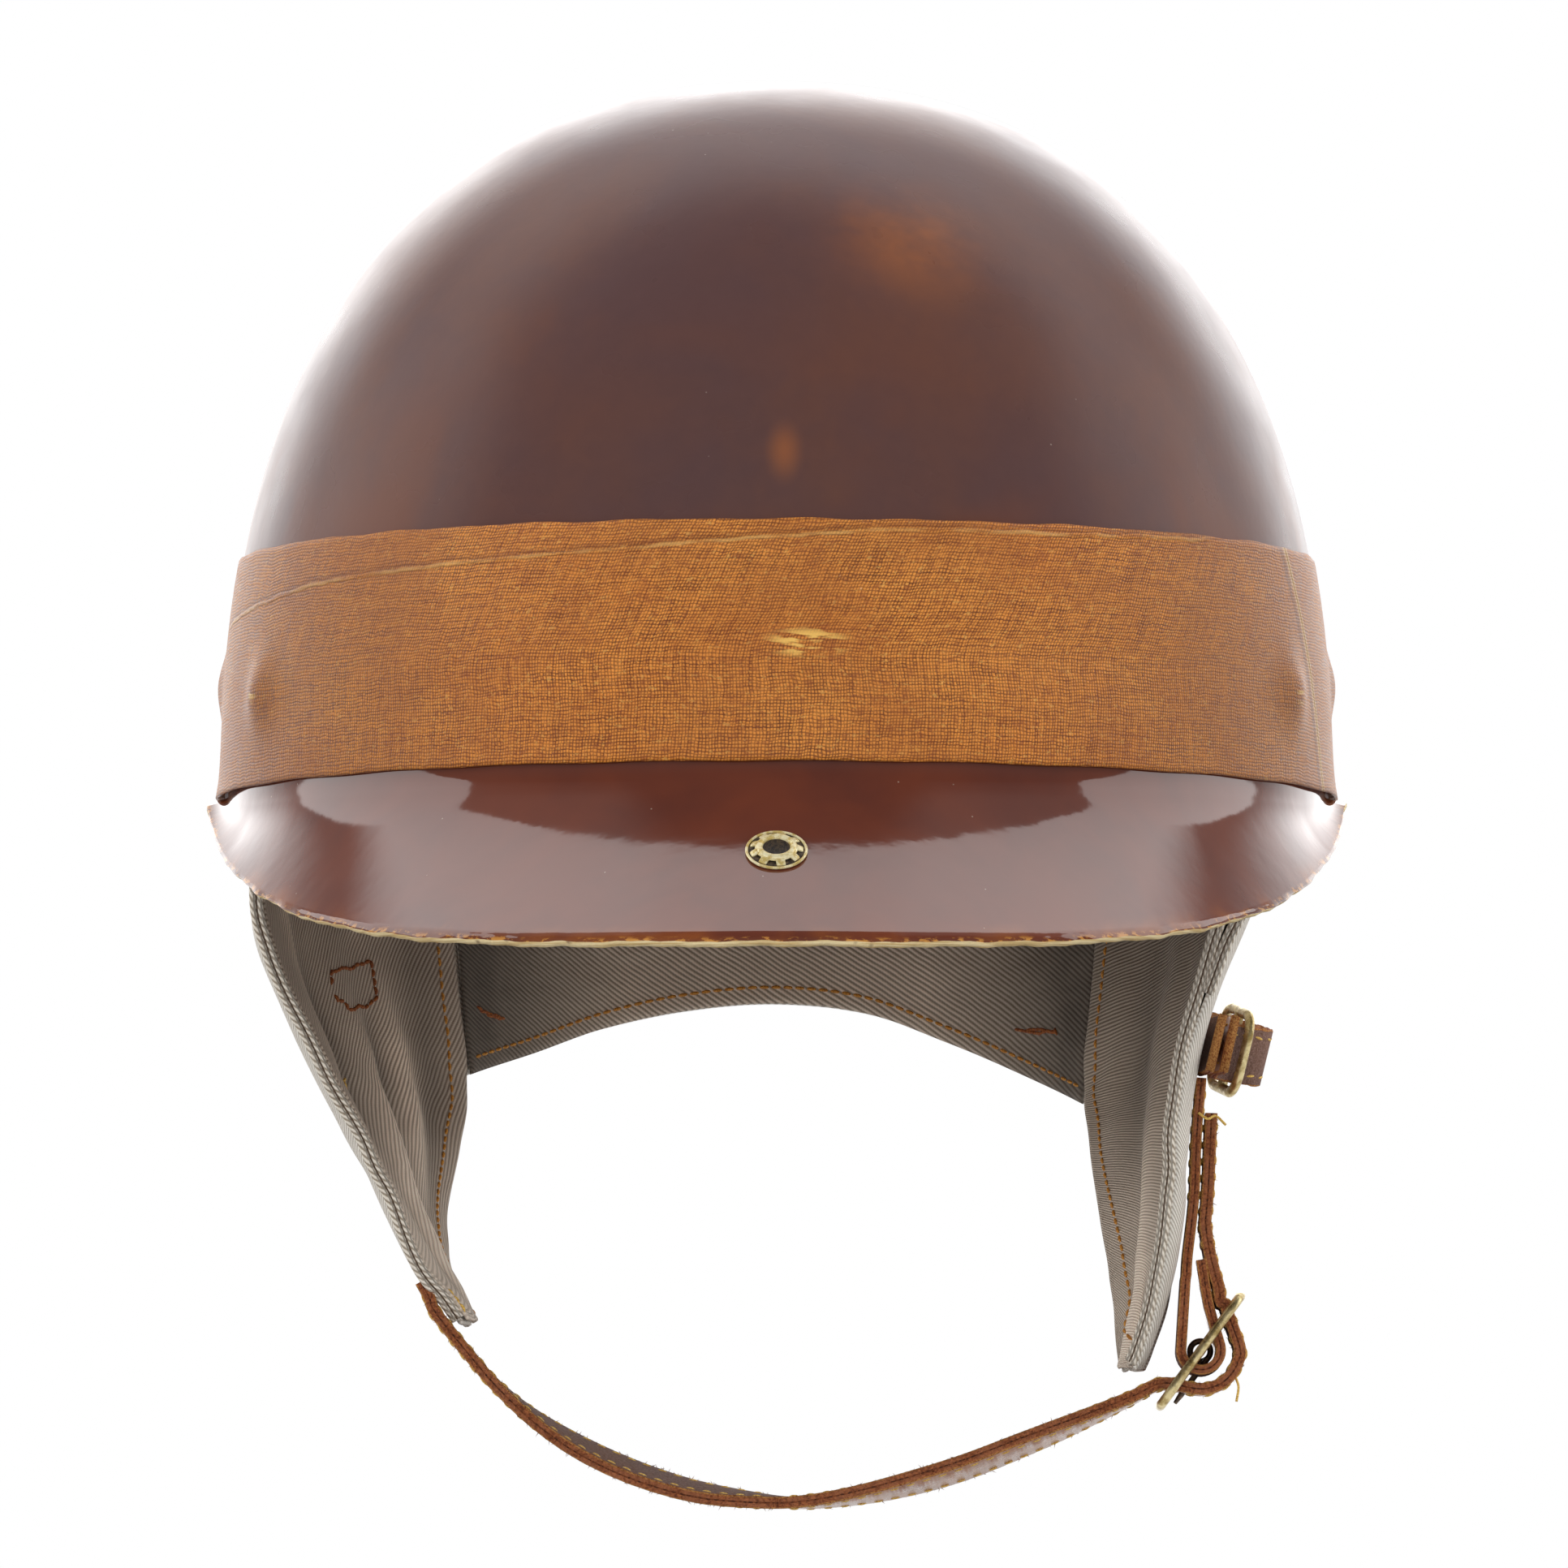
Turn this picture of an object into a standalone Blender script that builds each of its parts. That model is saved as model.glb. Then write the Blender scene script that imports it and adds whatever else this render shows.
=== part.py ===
"""Pudding-basin racing helmet with a short peak, ear flaps, a neck curtain and a buckled chin strap.

The frame: the origin is the centre of the head opening, in the plane of the shell's lower edge.
-Y is the front, +X is the wearer's left, +Z is up. Lengths are metres, angles degrees.
"""

import math

import bmesh
import bpy
import numpy as np
from mathutils import Matrix, Vector

# Shell: a dome whose meridians are superellipses, over an elliptic plan
SHELL_HALF_WIDTH = 0.1085
SHELL_HALF_LENGTH = 0.1275
SHELL_HEIGHT = 0.1405
SHELL_WALL = 0.0045
SHELL_POWER_SHARE = 2.35
RIM_DROP = 0.0015
FIT_GAP = 0.0003
CUT_OVERRUN = 0.004
SHELL_ROWS = 8
LAYER_GAP = 0.0008

# Peak: a flange in a rebate of the shell, then a hollow flare out to a raw edge
PEAK_WALL = 0.0022
PEAK_FLANGE = 0.0105
PEAK_HALF_ANGLE = 85.0
PEAK_EDGE_SPREAD = 0.0035
PEAK_EDGE_HALF_WIDTH = SHELL_HALF_WIDTH + PEAK_EDGE_SPREAD
PEAK_EDGE_REACH = 0.036
PEAK_EDGE_DROP = 0.0362
PEAK_END_DROP = 0.0014
PEAK_DROP_POWER_SHARE = 3.2
PEAK_NECK = 0.0056
PEAK_NECK_DROP_SHARE = 0.4
PEAK_BEND_SHARE = 0.22
PEAK_SEAT = 0.0004
PEAK_COLUMNS = 32
PEAK_ROWS = 6
REBATE_LEDGE = 0.0007
REBATE_MARGIN = 0.6
REBATE_END = 1.6

# Linen band round the lower shell
BAND_WALL = 0.0006
BAND_HEIGHT = 0.0465
BAND_BUMP_HEIGHT = 0.0019
BAND_BUMP_RADIUS = 0.0068
BAND_ROW_SHARES = (0.0, 0.26, 0.38, 0.46, 0.56, 0.7, 1.0)

# Rivets: angle from the front towards the wearer's left, and height above the lower edge
RIVET_ANGLES = (2.0, 67.0, 95.0, 140.0, 180.0, 220.0, 265.0, 293.0)
RIVET_HEIGHT_SHARES = (0.455, 0.38, 0.50, 0.455, 0.455, 0.455, 0.49, 0.38)
RIVET_HEAD_RADIUS = 0.0044
RIVET_HEAD_HEIGHT = 0.0011
RIVET_SHANK_RADIUS = 0.0016
RIVET_HOLE_CLEARANCE = 0.0004
RIVET_TAIL_RADIUS = 0.0026
RIVET_TAIL_HEIGHT = 0.0009
WASHER_RADIUS = 0.0048
WASHER_WALL = 0.0009
RIVET_STEPS = 8
STATION_STEP = 2.3
STATION_FILL = 9.0

# Eyelet in the peak
EYELET_ROW_SHARE = 0.675
EYELET_BORE_RADIUS = 0.0026
EYELET_BARREL_WALL = 0.0005
EYELET_FLANGE_RADIUS = 0.0054
EYELET_RIM_RADIUS = 0.0039
EYELET_ROLL = 0.0007
GROMMET_RADIUS = 0.0059
GROMMET_WALL = 0.0005
EYELET_SEAT = 0.0006
GROMMET_RISE = 0.0008
GROMMET_TEETH = 9

# Harness inside the shell
HANGER_WALL = 0.0012
HANGER_BASE = 0.0004
HANGER_HEIGHT = 0.030
TAPE_WALL = 0.0009
TAPE_WIDTH = 0.011
TAPE_TOP_WIDTH = 0.007
TAPE_FOOT_DROP = 0.008
TAPE_STATIONS = 12
TAPE_HEIGHT_SHARES = (0.243, 0.31, 0.427, 0.569, 0.676, 0.727)
TAPE_RADIUS_SHARES = (0.835, 0.800, 0.755, 0.650, 0.48, 0.31)
CROWN_CORD_RADIUS = 0.0016
CROWN_RING_HALF_WIDTH = 0.020
CROWN_RING_HALF_LENGTH = 0.0235
CROWN_RING_HEIGHT_SHARE = 0.734
CROWN_LOOP_SLACK = 0.0012
CROWN_LOOP_TURN = 250.0
SWEATBAND_WALL = 0.0014
SWEATBAND_BASE = 0.0012
SWEATBAND_HEIGHT = 0.036
SWEATBAND_FOOT_INSET = 0.0083
SWEATBAND_LEAN = 0.0165
CORK_WALL = 0.008
CORK_STAND_OFF = 0.0007
CORK_BASE = 0.036
CORK_COLUMNS = 38
CORK_ROWS = 6

# Ear flaps: two cloth layers whose tables run from the rim to the tip
CLOTH_OUTER = 0.0011
CLOTH_LINING = 0.0009
CLOTH_INSET = 0.0059
CLOTH_HALF_WIDTH = SHELL_HALF_WIDTH - CLOTH_INSET
CLOTH_HALF_LENGTH = SHELL_HALF_LENGTH - CLOTH_INSET
CLOTH_TOP = -0.0002
FLAP_TIP_DROP = 0.103
REACH_BAND_SHARE = 0.01
RIGHT_FLAP_TIP_DROP_SHARE = 1.0
LEFT_FLAP_TIP_DROP_SHARE = 1.087
FLAP_COLUMNS = 9
FLAP_ROWS = 12
RIGHT_FRONT_SHARES = (
    (-0.989, -0.148, 0.0), (-0.996, -0.148, -0.155), (-0.972, -0.132, -0.301),
    (-0.870, -0.091, -0.515), (-0.812, -0.058, -0.621), (-0.749, -0.016, -0.748),
    (-0.689, 0.033, -0.890), (-0.640, 0.058, -0.953), (-0.604, 0.076, -1.0),
)
RIGHT_REAR_SHARES = (
    (-0.672, 0.7405, 0.0), (-0.653, 0.707, -0.165), (-0.633, 0.673, -0.330),
    (-0.616, 0.640, -0.524), (-0.628, 0.543, -0.650), (-0.652, 0.411, -0.786),
    (-0.645, 0.296, -0.890), (-0.624, 0.226, -0.960), (-0.597, 0.200, -1.0),
)
RIGHT_SWELL_SHARES = (1.0, 0.95, 0.88, 0.78, 0.62, 0.34, 0.02, -0.10, -0.10)
LEFT_FRONT_SHARES = (
    (0.989, -0.148, 0.0), (0.948, -0.148, -0.107), (0.887, -0.140, -0.205),
    (0.822, -0.115, -0.350), (0.785, -0.082, -0.455), (0.765, -0.049, -0.580),
    (0.757, -0.016, -0.715), (0.733, 0.016, -0.860), (0.700, 0.041, -0.965),
    (0.684, 0.058, -1.0),
)
LEFT_REAR_SHARES = (
    (0.672, 0.7405, 0.0), (0.656, 0.714, -0.116), (0.640, 0.688, -0.232),
    (0.624, 0.662, -0.360), (0.614, 0.640, -0.482), (0.620, 0.510, -0.600),
    (0.638, 0.370, -0.735), (0.656, 0.263, -0.870), (0.664, 0.205, -0.965),
    (0.666, 0.180, -1.0),
)
LEFT_SWELL_SHARES = (1.0, 0.90, 0.76, 0.66, 0.62, 0.58, 0.54, 0.44, 0.30, 0.25)
FOLD_DEPTH = 0.0012
FOLD_WAVES = 3.0
LINING_SPREAD = 0.008
LINING_SPREAD_END_SHARE = 0.45
PIPING_RADIUS = 0.0013
PIPING_POINTS = 22
PIPING_BESIDE_SHARE = 0.06

# Neck curtain, sewn under the rim between the two flaps
SEAM_GAP = 0.0016
CURTAIN_COLUMNS = 21
CURTAIN_ROWS = 6
CURTAIN_DROP = 0.0347
CURTAIN_TUCK = 0.003
CURTAIN_END_FORWARD = 0.0088
CURTAIN_END_NARROW_SHARE = 0.075
CURTAIN_HEM_SHARES = (1.47, 1.33, 1.16, 1.045, 1.0, 1.06, 1.25, 1.45, 1.64)
CURTAIN_WAVE = 0.0008

# Leather straps
STRAP_WALL = 0.0024
STRAP_WIDTH = 0.015
CHAPE_WALL = 0.0020
STRAP_PLANE_Y = 0.0125
STRAP_CLEARANCE = 0.0005
STRAP_COARSE_STEP = 4
CHIN_SPREAD_SHARE = 1.17
CHIN_SAG = 0.138
CHIN_LAP_SHARES = (0.885, 0.915, 0.945, 0.975)
CHIN_PATH_SHARES = (
    (-0.500, -0.795), (-0.455, -0.838), (-0.395, -0.882), (-0.320, -0.923), (-0.235, -0.957),
    (-0.140, -0.983), (-0.045, -0.996), (0.035, -1.0), (0.125, -0.991), (0.215, -0.974),
    (0.305, -0.951), (0.400, -0.919), (0.495, -0.885), (0.580, -0.852),
)
CHIN_STATIONS = 130
STRAP_TILT = 10.0
TILT_END_SHARE = 0.70
LOOP_SLACK_SHARE = 2.4

# Buckles: a bowed brass frame with a middle bar and a wire tongue coiled round that bar
BUCKLE_LENGTH = 0.0262
BUCKLE_INNER_WIDTH = 0.0170
BUCKLE_BAR = 0.0022
BAR_SECTION_SHARES = ((1, -0.42), (1, 0.42), (0.5, 0.85), (-0.5, 0.85),
                      (-1, 0.42), (-1, -0.42), (-0.5, -0.85), (0.5, -0.85))
BUCKLE_CORNER = 0.0045
BUCKLE_PIN_RADIUS = 0.0010
TONGUE_WIRE_RADIUS = 0.0006
TONGUE_COIL_CLEARANCE = 0.0004
TONGUE_COIL_PITCH = 0.0017
TONGUE_COIL_TURNS = 2.0
TONGUE_OVERHANG = 0.0018
TONGUE_SWEEP = 65.0
SLOT_ANGLES = (-25.0, TONGUE_SWEEP + 62.0)
HOLE_ANGLES = (-4.0, 36.0)
SLOT_WIDTH = 0.0046
CHIN_BAR_SHARE = 0.81384
CHIN_BAR_DROP_SHARE = 0.784058
CHIN_BUCKLE_LEAN = 53.8
CHIN_CHAPE_TOP_SHARE = 0.53
CHIN_CHAPE_LEAVE_SHARE = 0.80
NAPE_BAR_Y = 0.026
NAPE_BAR_STAND_OFF = 0.0073
NAPE_BAR_Z = -0.0465
NAPE_BUCKLE_LENGTH = 0.0205
NAPE_BUCKLE_LEAN = 15.0
NAPE_STRAP_WIDTH = 0.0115
NAPE_STRAP_WALL = 0.0018
NAPE_BUCKLE_INNER_WIDTH = 0.0135
NAPE_BILLET_LENGTH = 0.020
NAPE_CHAPE_REACH = 0.030
NAPE_LAP_SHARES = (1.0, 0.85, 0.69, 0.54, 0.38)
NAPE_HEIGHT_SHARES = (0.365, 0.355, 0.335, 0.305, 0.285, 0.275, 0.29, 0.335, 0.39, 0.435, 0.451)
NAPE_SEAM_SHARES = (0.25, 0.75)
NAPE_RIGHT_SHARES = (0.42, 0.96)
NAPE_CURTAIN_SHARES = (-0.93, 0.93)
NAPE_LEFT_SHARES = (0.96, 0.62)
NAPE_BILLET_SHARES = (0.3, 0.6)
NAPE_LOOP_SHARES = (0.36, 0.64)
NAPE_STATIONS = 150
WEAVE_SHARE = 1.452
FAR_WEAVE_SHARE = 1.12
NAPE_WEAVE_SHARE = 1.72
NAPE_ARRIVE_SHARE = 0.90
LOOP_WALL = 0.0010
LOOP_SHOULDER_SHARE = 0.4
LOOP_TOP_SHARE = 0.9
LOOP_WIDTH = 0.007

COLOURS = {
    "lacquer": ((0.085, 0.038, 0.030, 1.0), 0.16, 0.0),
    "linen": ((0.42, 0.17, 0.045, 1.0), 0.55, 0.0),
    "brass": ((0.42, 0.32, 0.13, 1.0), 0.38, 1.0),
    "twill": ((0.16, 0.125, 0.10, 1.0), 0.9, 0.0),
    "lining_cotton": ((0.13, 0.105, 0.085, 1.0), 0.92, 0.0),
    "leather": ((0.30, 0.095, 0.035, 1.0), 0.5, 0.0),
    "tape": ((0.55, 0.47, 0.34, 1.0), 0.9, 0.0),
    "cork": ((0.36, 0.20, 0.10, 1.0), 0.95, 0.0),
    "wire": ((0.10, 0.08, 0.06, 1.0), 0.4, 1.0),
}


for leftover in list(bpy.data.objects):
    bpy.data.objects.remove(leftover, do_unlink=True)

HELMET = bpy.data.collections.new("racing_helmet")
CUTTERS = bpy.data.collections.new("cutters")
bpy.context.scene.collection.children.link(HELMET)
bpy.context.scene.collection.children.link(CUTTERS)
MATERIALS = {}


def finish_material(name):
    """A Principled material with the colour, roughness and metallic value of this finish."""
    if name not in MATERIALS:
        colour, roughness, metallic = COLOURS[name]
        made = bpy.data.materials.new(name)
        made.use_nodes = True
        shader = made.node_tree.nodes["Principled BSDF"]
        shader.inputs["Base Color"].default_value = colour
        shader.inputs["Roughness"].default_value = roughness
        shader.inputs["Metallic"].default_value = metallic
        MATERIALS[name] = made
    return MATERIALS[name]


def add_object(name, data, finish, collection=HELMET):
    obj = bpy.data.objects.new(name, data)
    collection.objects.link(obj)
    if finish:
        data.materials.append(finish_material(finish))
    else:
        obj.hide_render = True
        obj.display_type = "WIRE"
    return obj


def unit(vectors):
    vectors = np.asarray(vectors, dtype=float)
    return vectors / np.linalg.norm(vectors, axis=-1, keepdims=True)


def smooth_curve(points, count):
    """Points evenly spaced along a Catmull-Rom curve through the given ones."""
    points = np.asarray(points, dtype=float)
    padded = np.vstack([2 * points[0] - points[1], points, 2 * points[-1] - points[-2]])
    fine = np.linspace(0, len(points) - 1, 40 * len(points))
    span = np.minimum(fine.astype(int), len(points) - 2)
    t = (fine - span)[:, None]
    a, b, c, d = (padded[span + k] for k in range(4))
    curve = 0.5 * (2 * b + (c - a) * t + (2 * a - 5 * b + 4 * c - d) * t**2
                   + (3 * b - a - 3 * c + d) * t**3)
    travelled = np.concatenate([[0], np.cumsum(np.linalg.norm(np.diff(curve, axis=0), axis=1))])
    wanted = np.linspace(0, travelled[-1], count)
    return np.column_stack([np.interp(wanted, travelled, curve[:, k]) for k in range(points.shape[1])])


def strap_stations(points, weave_start, count):
    """A smooth curve through the points, with wide steps at first and fine ones from the buckle on."""
    fine = smooth_curve(points, count)
    weave_start = np.asarray(weave_start, dtype=float)
    switch = int(np.argmin(np.linalg.norm(fine[:, :3] - weave_start, axis=1))) - 2
    return np.vstack([fine[:switch:STRAP_COARSE_STEP], fine[switch:]])


def smooth_values(table, shares):
    """Reads a table, spread evenly from 0 to 1, at these shares, along a smooth curve."""
    table = np.asarray(table, dtype=float)
    if table.ndim == 1:
        table = table[:, None]
    padded = np.vstack([2 * table[0] - table[1], table, 2 * table[-1] - table[-2]])
    place = np.clip(np.asarray(shares, dtype=float), 0, 1) * (len(table) - 1)
    span = np.minimum(place.astype(int), len(table) - 2)
    t = (place - span)[..., None]
    a, b, c, d = (padded[span + k] for k in range(4))
    out = 0.5 * (2 * b + (c - a) * t + (2 * a - 5 * b + 4 * c - d) * t**2
                 + (3 * b - a - 3 * c + d) * t**3)
    return out[..., 0] if out.shape[-1] == 1 else out


def mesh_from(name, points, faces):
    """A mesh of these faces, with every face turned outwards and the round parts shaded smooth."""
    mesh = bpy.data.meshes.new(name)
    mesh.from_pydata([tuple(map(float, p)) for p in points], [], faces)
    shape = bmesh.new()
    shape.from_mesh(mesh)
    bmesh.ops.recalc_face_normals(shape, faces=shape.faces)
    if shape.calc_volume(signed=True) < 0:
        bmesh.ops.reverse_faces(shape, faces=shape.faces)
    shape.to_mesh(mesh)
    shape.free()
    mesh.shade_smooth()
    mesh.set_sharp_from_angle(angle=math.radians(35.0))
    return mesh


def loft(name, sections, ends, finish, collection=HELMET):
    """A solid through a row of closed sections. ends is caps, wrap (a ring) or poles (end points)."""
    sections = np.asarray(sections, dtype=float)
    rows, around = sections.shape[:2]
    points = sections.reshape(-1, 3)
    faces = []
    for row in range(rows if ends == "wrap" else rows - 1):
        after = (row + 1) % rows
        for k in range(around):
            n = (k + 1) % around
            faces.append((row * around + k, row * around + n, after * around + n, after * around + k))
    if ends == "caps":
        faces.append(tuple(range(around))[::-1])
        faces.append(tuple(range((rows - 1) * around, rows * around)))
    return add_object(name, mesh_from(name, points, faces), finish, collection)


def dome(name, rings, first_pole, last_pole, finish):
    """A shell of revolution-like rings, closed by a point at each end."""
    rings = np.asarray(rings, dtype=float)
    rows, around = rings.shape[:2]
    points = np.vstack([rings.reshape(-1, 3), first_pole, last_pole])
    faces = []
    for row in range(rows - 1):
        for k in range(around):
            n = (k + 1) % around
            faces.append((row * around + k, row * around + n, (row + 1) * around + n, (row + 1) * around + k))
    for k in range(around):
        n = (k + 1) % around
        faces.append((n, k, rows * around))
        faces.append(((rows - 1) * around + k, (rows - 1) * around + n, rows * around + 1))
    return add_object(name, mesh_from(name, points, faces), finish)


def sheet(name, grid, wall, side, finish):
    """An open grid of points given a wall: side 1 is along the grid's normal, -1 against it, 0 both."""
    grid = np.asarray(grid, dtype=float)
    rows, columns = grid.shape[:2]
    faces = [
        (r * columns + c, r * columns + c + 1, (r + 1) * columns + c + 1, (r + 1) * columns + c)
        for r in range(rows - 1) for c in range(columns - 1)
    ]
    mesh = bpy.data.meshes.new(name)
    mesh.from_pydata([tuple(map(float, p)) for p in grid.reshape(-1, 3)], [], faces)
    mesh.shade_smooth()
    obj = add_object(name, mesh, finish)
    thick = obj.modifiers.new("wall", "SOLIDIFY")
    thick.thickness = wall
    thick.offset = side
    return obj


def ribbon(name, path, across, width, wall, finish, collection=HELMET):
    """A flat strap: a box section carried along the path, with its width along across."""
    path = np.asarray(path, dtype=float)
    along = unit(np.gradient(path, axis=0))
    across = np.broadcast_to(np.asarray(across, dtype=float), path.shape)
    across = unit(across - along * np.sum(across * along, axis=1, keepdims=True))
    normal = np.cross(along, across)
    half = np.broadcast_to(np.asarray(width, dtype=float), (len(path),))[:, None] / 2
    sections = np.stack(
        [path + sx * across * half + sn * normal * wall / 2
         for sx, sn in ((-1, -1), (1, -1), (1, 1), (-1, 1))], axis=1)
    return loft(name, sections, "caps", finish, collection)


def tube(name, points, radius, finish, cyclic=False, resolution=2):
    """A round cord or wire along these points."""
    curve = bpy.data.curves.new(name, "CURVE")
    curve.dimensions = "3D"
    curve.bevel_depth = radius
    curve.bevel_resolution = resolution
    curve.use_fill_caps = not cyclic
    line = curve.splines.new("POLY")
    line.points.add(len(points) - 1)
    for slot, point in zip(line.points, points):
        slot.co = (float(point[0]), float(point[1]), float(point[2]), 1.0)
    line.use_cyclic_u = cyclic
    return add_object(name, curve, finish)


def turned(name, profile, closed, steps, place, finish):
    """A turned piece: a profile of (radius, height) pairs swept round the local Z axis."""
    count = len(profile)
    edges = [(k, (k + 1) % count) for k in range(count if closed else count - 1)]
    mesh = bpy.data.meshes.new(name)
    mesh.from_pydata([(float(r), 0.0, float(h)) for r, h in profile], edges, [])
    obj = add_object(name, mesh, finish)
    sweep = obj.modifiers.new("turn", "SCREW")
    sweep.axis = "Z"
    sweep.steps = steps
    sweep.render_steps = steps
    sweep.use_merge_vertices = True
    sweep.merge_threshold = 0.00001
    sweep.use_smooth_shade = True
    obj.matrix_world = place
    return obj


def cylinder(name, radius, length, place, finish=None, sides=12, collection=CUTTERS):
    shape = bmesh.new()
    bmesh.ops.create_cone(shape, cap_ends=True, segments=sides, radius1=radius, radius2=radius, depth=length)
    mesh = bpy.data.meshes.new(name)
    shape.to_mesh(mesh)
    shape.free()
    obj = add_object(name, mesh, finish, collection)
    obj.matrix_world = place
    return obj


def boolean(obj, other, operation="DIFFERENCE"):
    cut = obj.modifiers.new(other.name, "BOOLEAN")
    cut.operation = operation
    cut.solver = "EXACT"
    cut.object = other
    return cut


def axes_at(origin, x, y, z):
    """A placing matrix from an origin and three unit axes."""
    placed = Matrix.Identity(4)
    for column, axis in enumerate((x, y, z, origin)):
        for row in range(3):
            placed[row][column] = float(axis[row])
    return placed


# Shell form, shared by everything that lies against it


def plan_point(angle, half_width, half_length):
    """A point of the plan ellipse, at an angle in degrees from the front towards the wearer's left."""
    turn = np.radians(angle)
    return np.stack([half_width * np.sin(turn), -half_length * np.cos(turn)], axis=-1)


def shell_ring(angles, height, inset):
    """Points of the dome moved inwards by inset, at this height, or straight down below the opening."""
    inset = np.broadcast_to(np.asarray(inset, dtype=float), np.shape(angles))[..., None]
    rise = (max(height, 0.0) / (SHELL_HEIGHT - inset)) ** SHELL_POWER_SHARE
    share = (1 - rise) ** (1 / SHELL_POWER_SHARE)
    half = np.concatenate([SHELL_HALF_WIDTH - inset, SHELL_HALF_LENGTH - inset], axis=-1) * share
    flat = plan_point(angles, 1.0, 1.0) * half
    return np.concatenate([flat, np.full(flat.shape[:-1] + (1,), height)], axis=-1)


def dome_heights(inset, base, rows):
    """Heights from base towards the crown, evenly spread along the meridian, without the crown."""
    full = SHELL_HEIGHT - inset
    first = math.asin((base / full) ** (SHELL_POWER_SHARE / 2))
    turns = np.linspace(first, math.pi / 2, rows + 1)[:-1]
    return full * np.sin(turns) ** (2 / SHELL_POWER_SHARE)


def ring_stations():
    """Angles round the shell: close together at each rivet and even between the rivets."""
    stations = []
    for here, after in zip(RIVET_ANGLES, RIVET_ANGLES[1:] + (RIVET_ANGLES[0] + 360.0,)):
        stations += [here + k * STATION_STEP for k in (-2, -1, 0, 1, 2)]
        start, stop = here + 2 * STATION_STEP, after - 2 * STATION_STEP
        fill = max(1, round((stop - start) / STATION_FILL))
        stations += [start + (stop - start) * k / fill for k in range(1, fill)]
    ends = [sign * (PEAK_HALF_ANGLE + REBATE_MARGIN + more) for sign in (1, -1) for more in (0, REBATE_END)]
    return np.array(sorted(angle % 360.0 for angle in stations + ends))


STATIONS = ring_stations()
RIVET_HEIGHTS = [BAND_HEIGHT * share for share in RIVET_HEIGHT_SHARES]
HANGER_INSET = SHELL_WALL + FIT_GAP
TAPE_INSET = HANGER_INSET + HANGER_WALL + LAYER_GAP
WASHER_INSET = TAPE_INSET + TAPE_WALL + FIT_GAP
TAIL_INSET = WASHER_INSET + WASHER_WALL + FIT_GAP


def rivet_place(angle, height):
    """The frame of a rivet: its origin on the shell's outer face, its Z axis pointing out."""
    point = shell_ring(np.array([angle]), height, 0.0)[0]
    up = unit(shell_ring(np.array([angle]), height + WASHER_RADIUS, 0.0)[0] - point)
    side = unit([-point[1] / SHELL_HALF_LENGTH**2, point[0] / SHELL_HALF_WIDTH**2, 0.0])
    return axes_at(point, side, up, np.cross(side, up))


def wrapped(angle):
    """The angle between -180 and 180 degrees."""
    return (np.asarray(angle) + 180.0) % 360.0 - 180.0


def rebate_depth(angles):
    """How deep the shell's lower edge is cut back for the peak's flange: full depth over the peak."""
    beyond = np.clip((np.abs(wrapped(angles)) - PEAK_HALF_ANGLE - REBATE_MARGIN) / REBATE_END, 0, 1)
    return (PEAK_SEAT + PEAK_WALL + FIT_GAP) * (1 - beyond)


def rivet_cutters():
    """One cutter per rivet, through every layer that the rivet holds."""
    radius = RIVET_SHANK_RADIUS + RIVET_HOLE_CLEARANCE
    length = TAIL_INSET + 2 * CUT_OVERRUN
    made = []
    for number, (angle, height) in enumerate(zip(RIVET_ANGLES, RIVET_HEIGHTS), 1):
        place = rivet_place(angle, height) @ Matrix.Translation((0, 0, CUT_OVERRUN - length / 2))
        made.append(cylinder(f"rivet_hole_{number}", radius, length, place, sides=8))
    return made


def joined_cutter(name, parts):
    """Cutters that don't touch, joined into one object."""
    shape = bmesh.new()
    for part in parts:
        start = len(shape.verts)
        shape.from_mesh(part.data)
        shape.verts.ensure_lookup_table()
        bmesh.ops.transform(shape, matrix=part.matrix_world, verts=shape.verts[start:])
    mesh = bpy.data.meshes.new(name)
    shape.to_mesh(mesh)
    shape.free()
    return add_object(name, mesh, None, CUTTERS)


def build_shell(holes):
    ledge = PEAK_FLANGE + FIT_GAP
    depth = rebate_depth(STATIONS)
    rings = [shell_ring(STATIONS, -RIM_DROP, depth), shell_ring(STATIONS, ledge, 0.0)]
    rings[1][:, :2] = shell_ring(STATIONS, -RIM_DROP, depth)[:, :2]
    outer = [ledge + REBATE_LEDGE, HANGER_HEIGHT, *dome_heights(0.0, BAND_HEIGHT, SHELL_ROWS)]
    rings += [shell_ring(STATIONS, height, 0.0) for height in outer]
    inner = [-RIM_DROP, ledge, HANGER_HEIGHT, *dome_heights(SHELL_WALL, CORK_BASE, CORK_ROWS)]
    inside = [shell_ring(STATIONS, height, SHELL_WALL) for height in inner]
    rings = inside[::-1] + rings
    shell = dome("shell", rings, (0, 0, SHELL_HEIGHT - SHELL_WALL), (0, 0, SHELL_HEIGHT), "lacquer")
    boolean(shell, holes)


def build_band():
    """The linen strip: it lies on the shell and lifts over each rivet head."""
    def lifted(height, inset):
        ring = shell_ring(STATIONS, height, inset)
        out = unit(ring * [1 / SHELL_HALF_WIDTH**2, 1 / SHELL_HALF_LENGTH**2, 0])
        lift = np.zeros(len(STATIONS))
        for angle, centre in zip(RIVET_ANGLES, RIVET_HEIGHTS):
            middle = shell_ring(np.array([angle]), centre, inset)[0]
            apart = np.linalg.norm(ring - middle, axis=1)
            lift += BAND_BUMP_HEIGHT * np.exp(-((apart / BAND_BUMP_RADIUS) ** 2))
        return ring + out * lift[:, None]

    heights = [BAND_HEIGHT * share for share in BAND_ROW_SHARES]
    inner = [lifted(height, -FIT_GAP) for height in heights]
    outer = [lifted(height, -FIT_GAP - BAND_WALL) for height in heights]
    loft("linen_band", inner + outer[::-1], "wrap", "linen")


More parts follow.
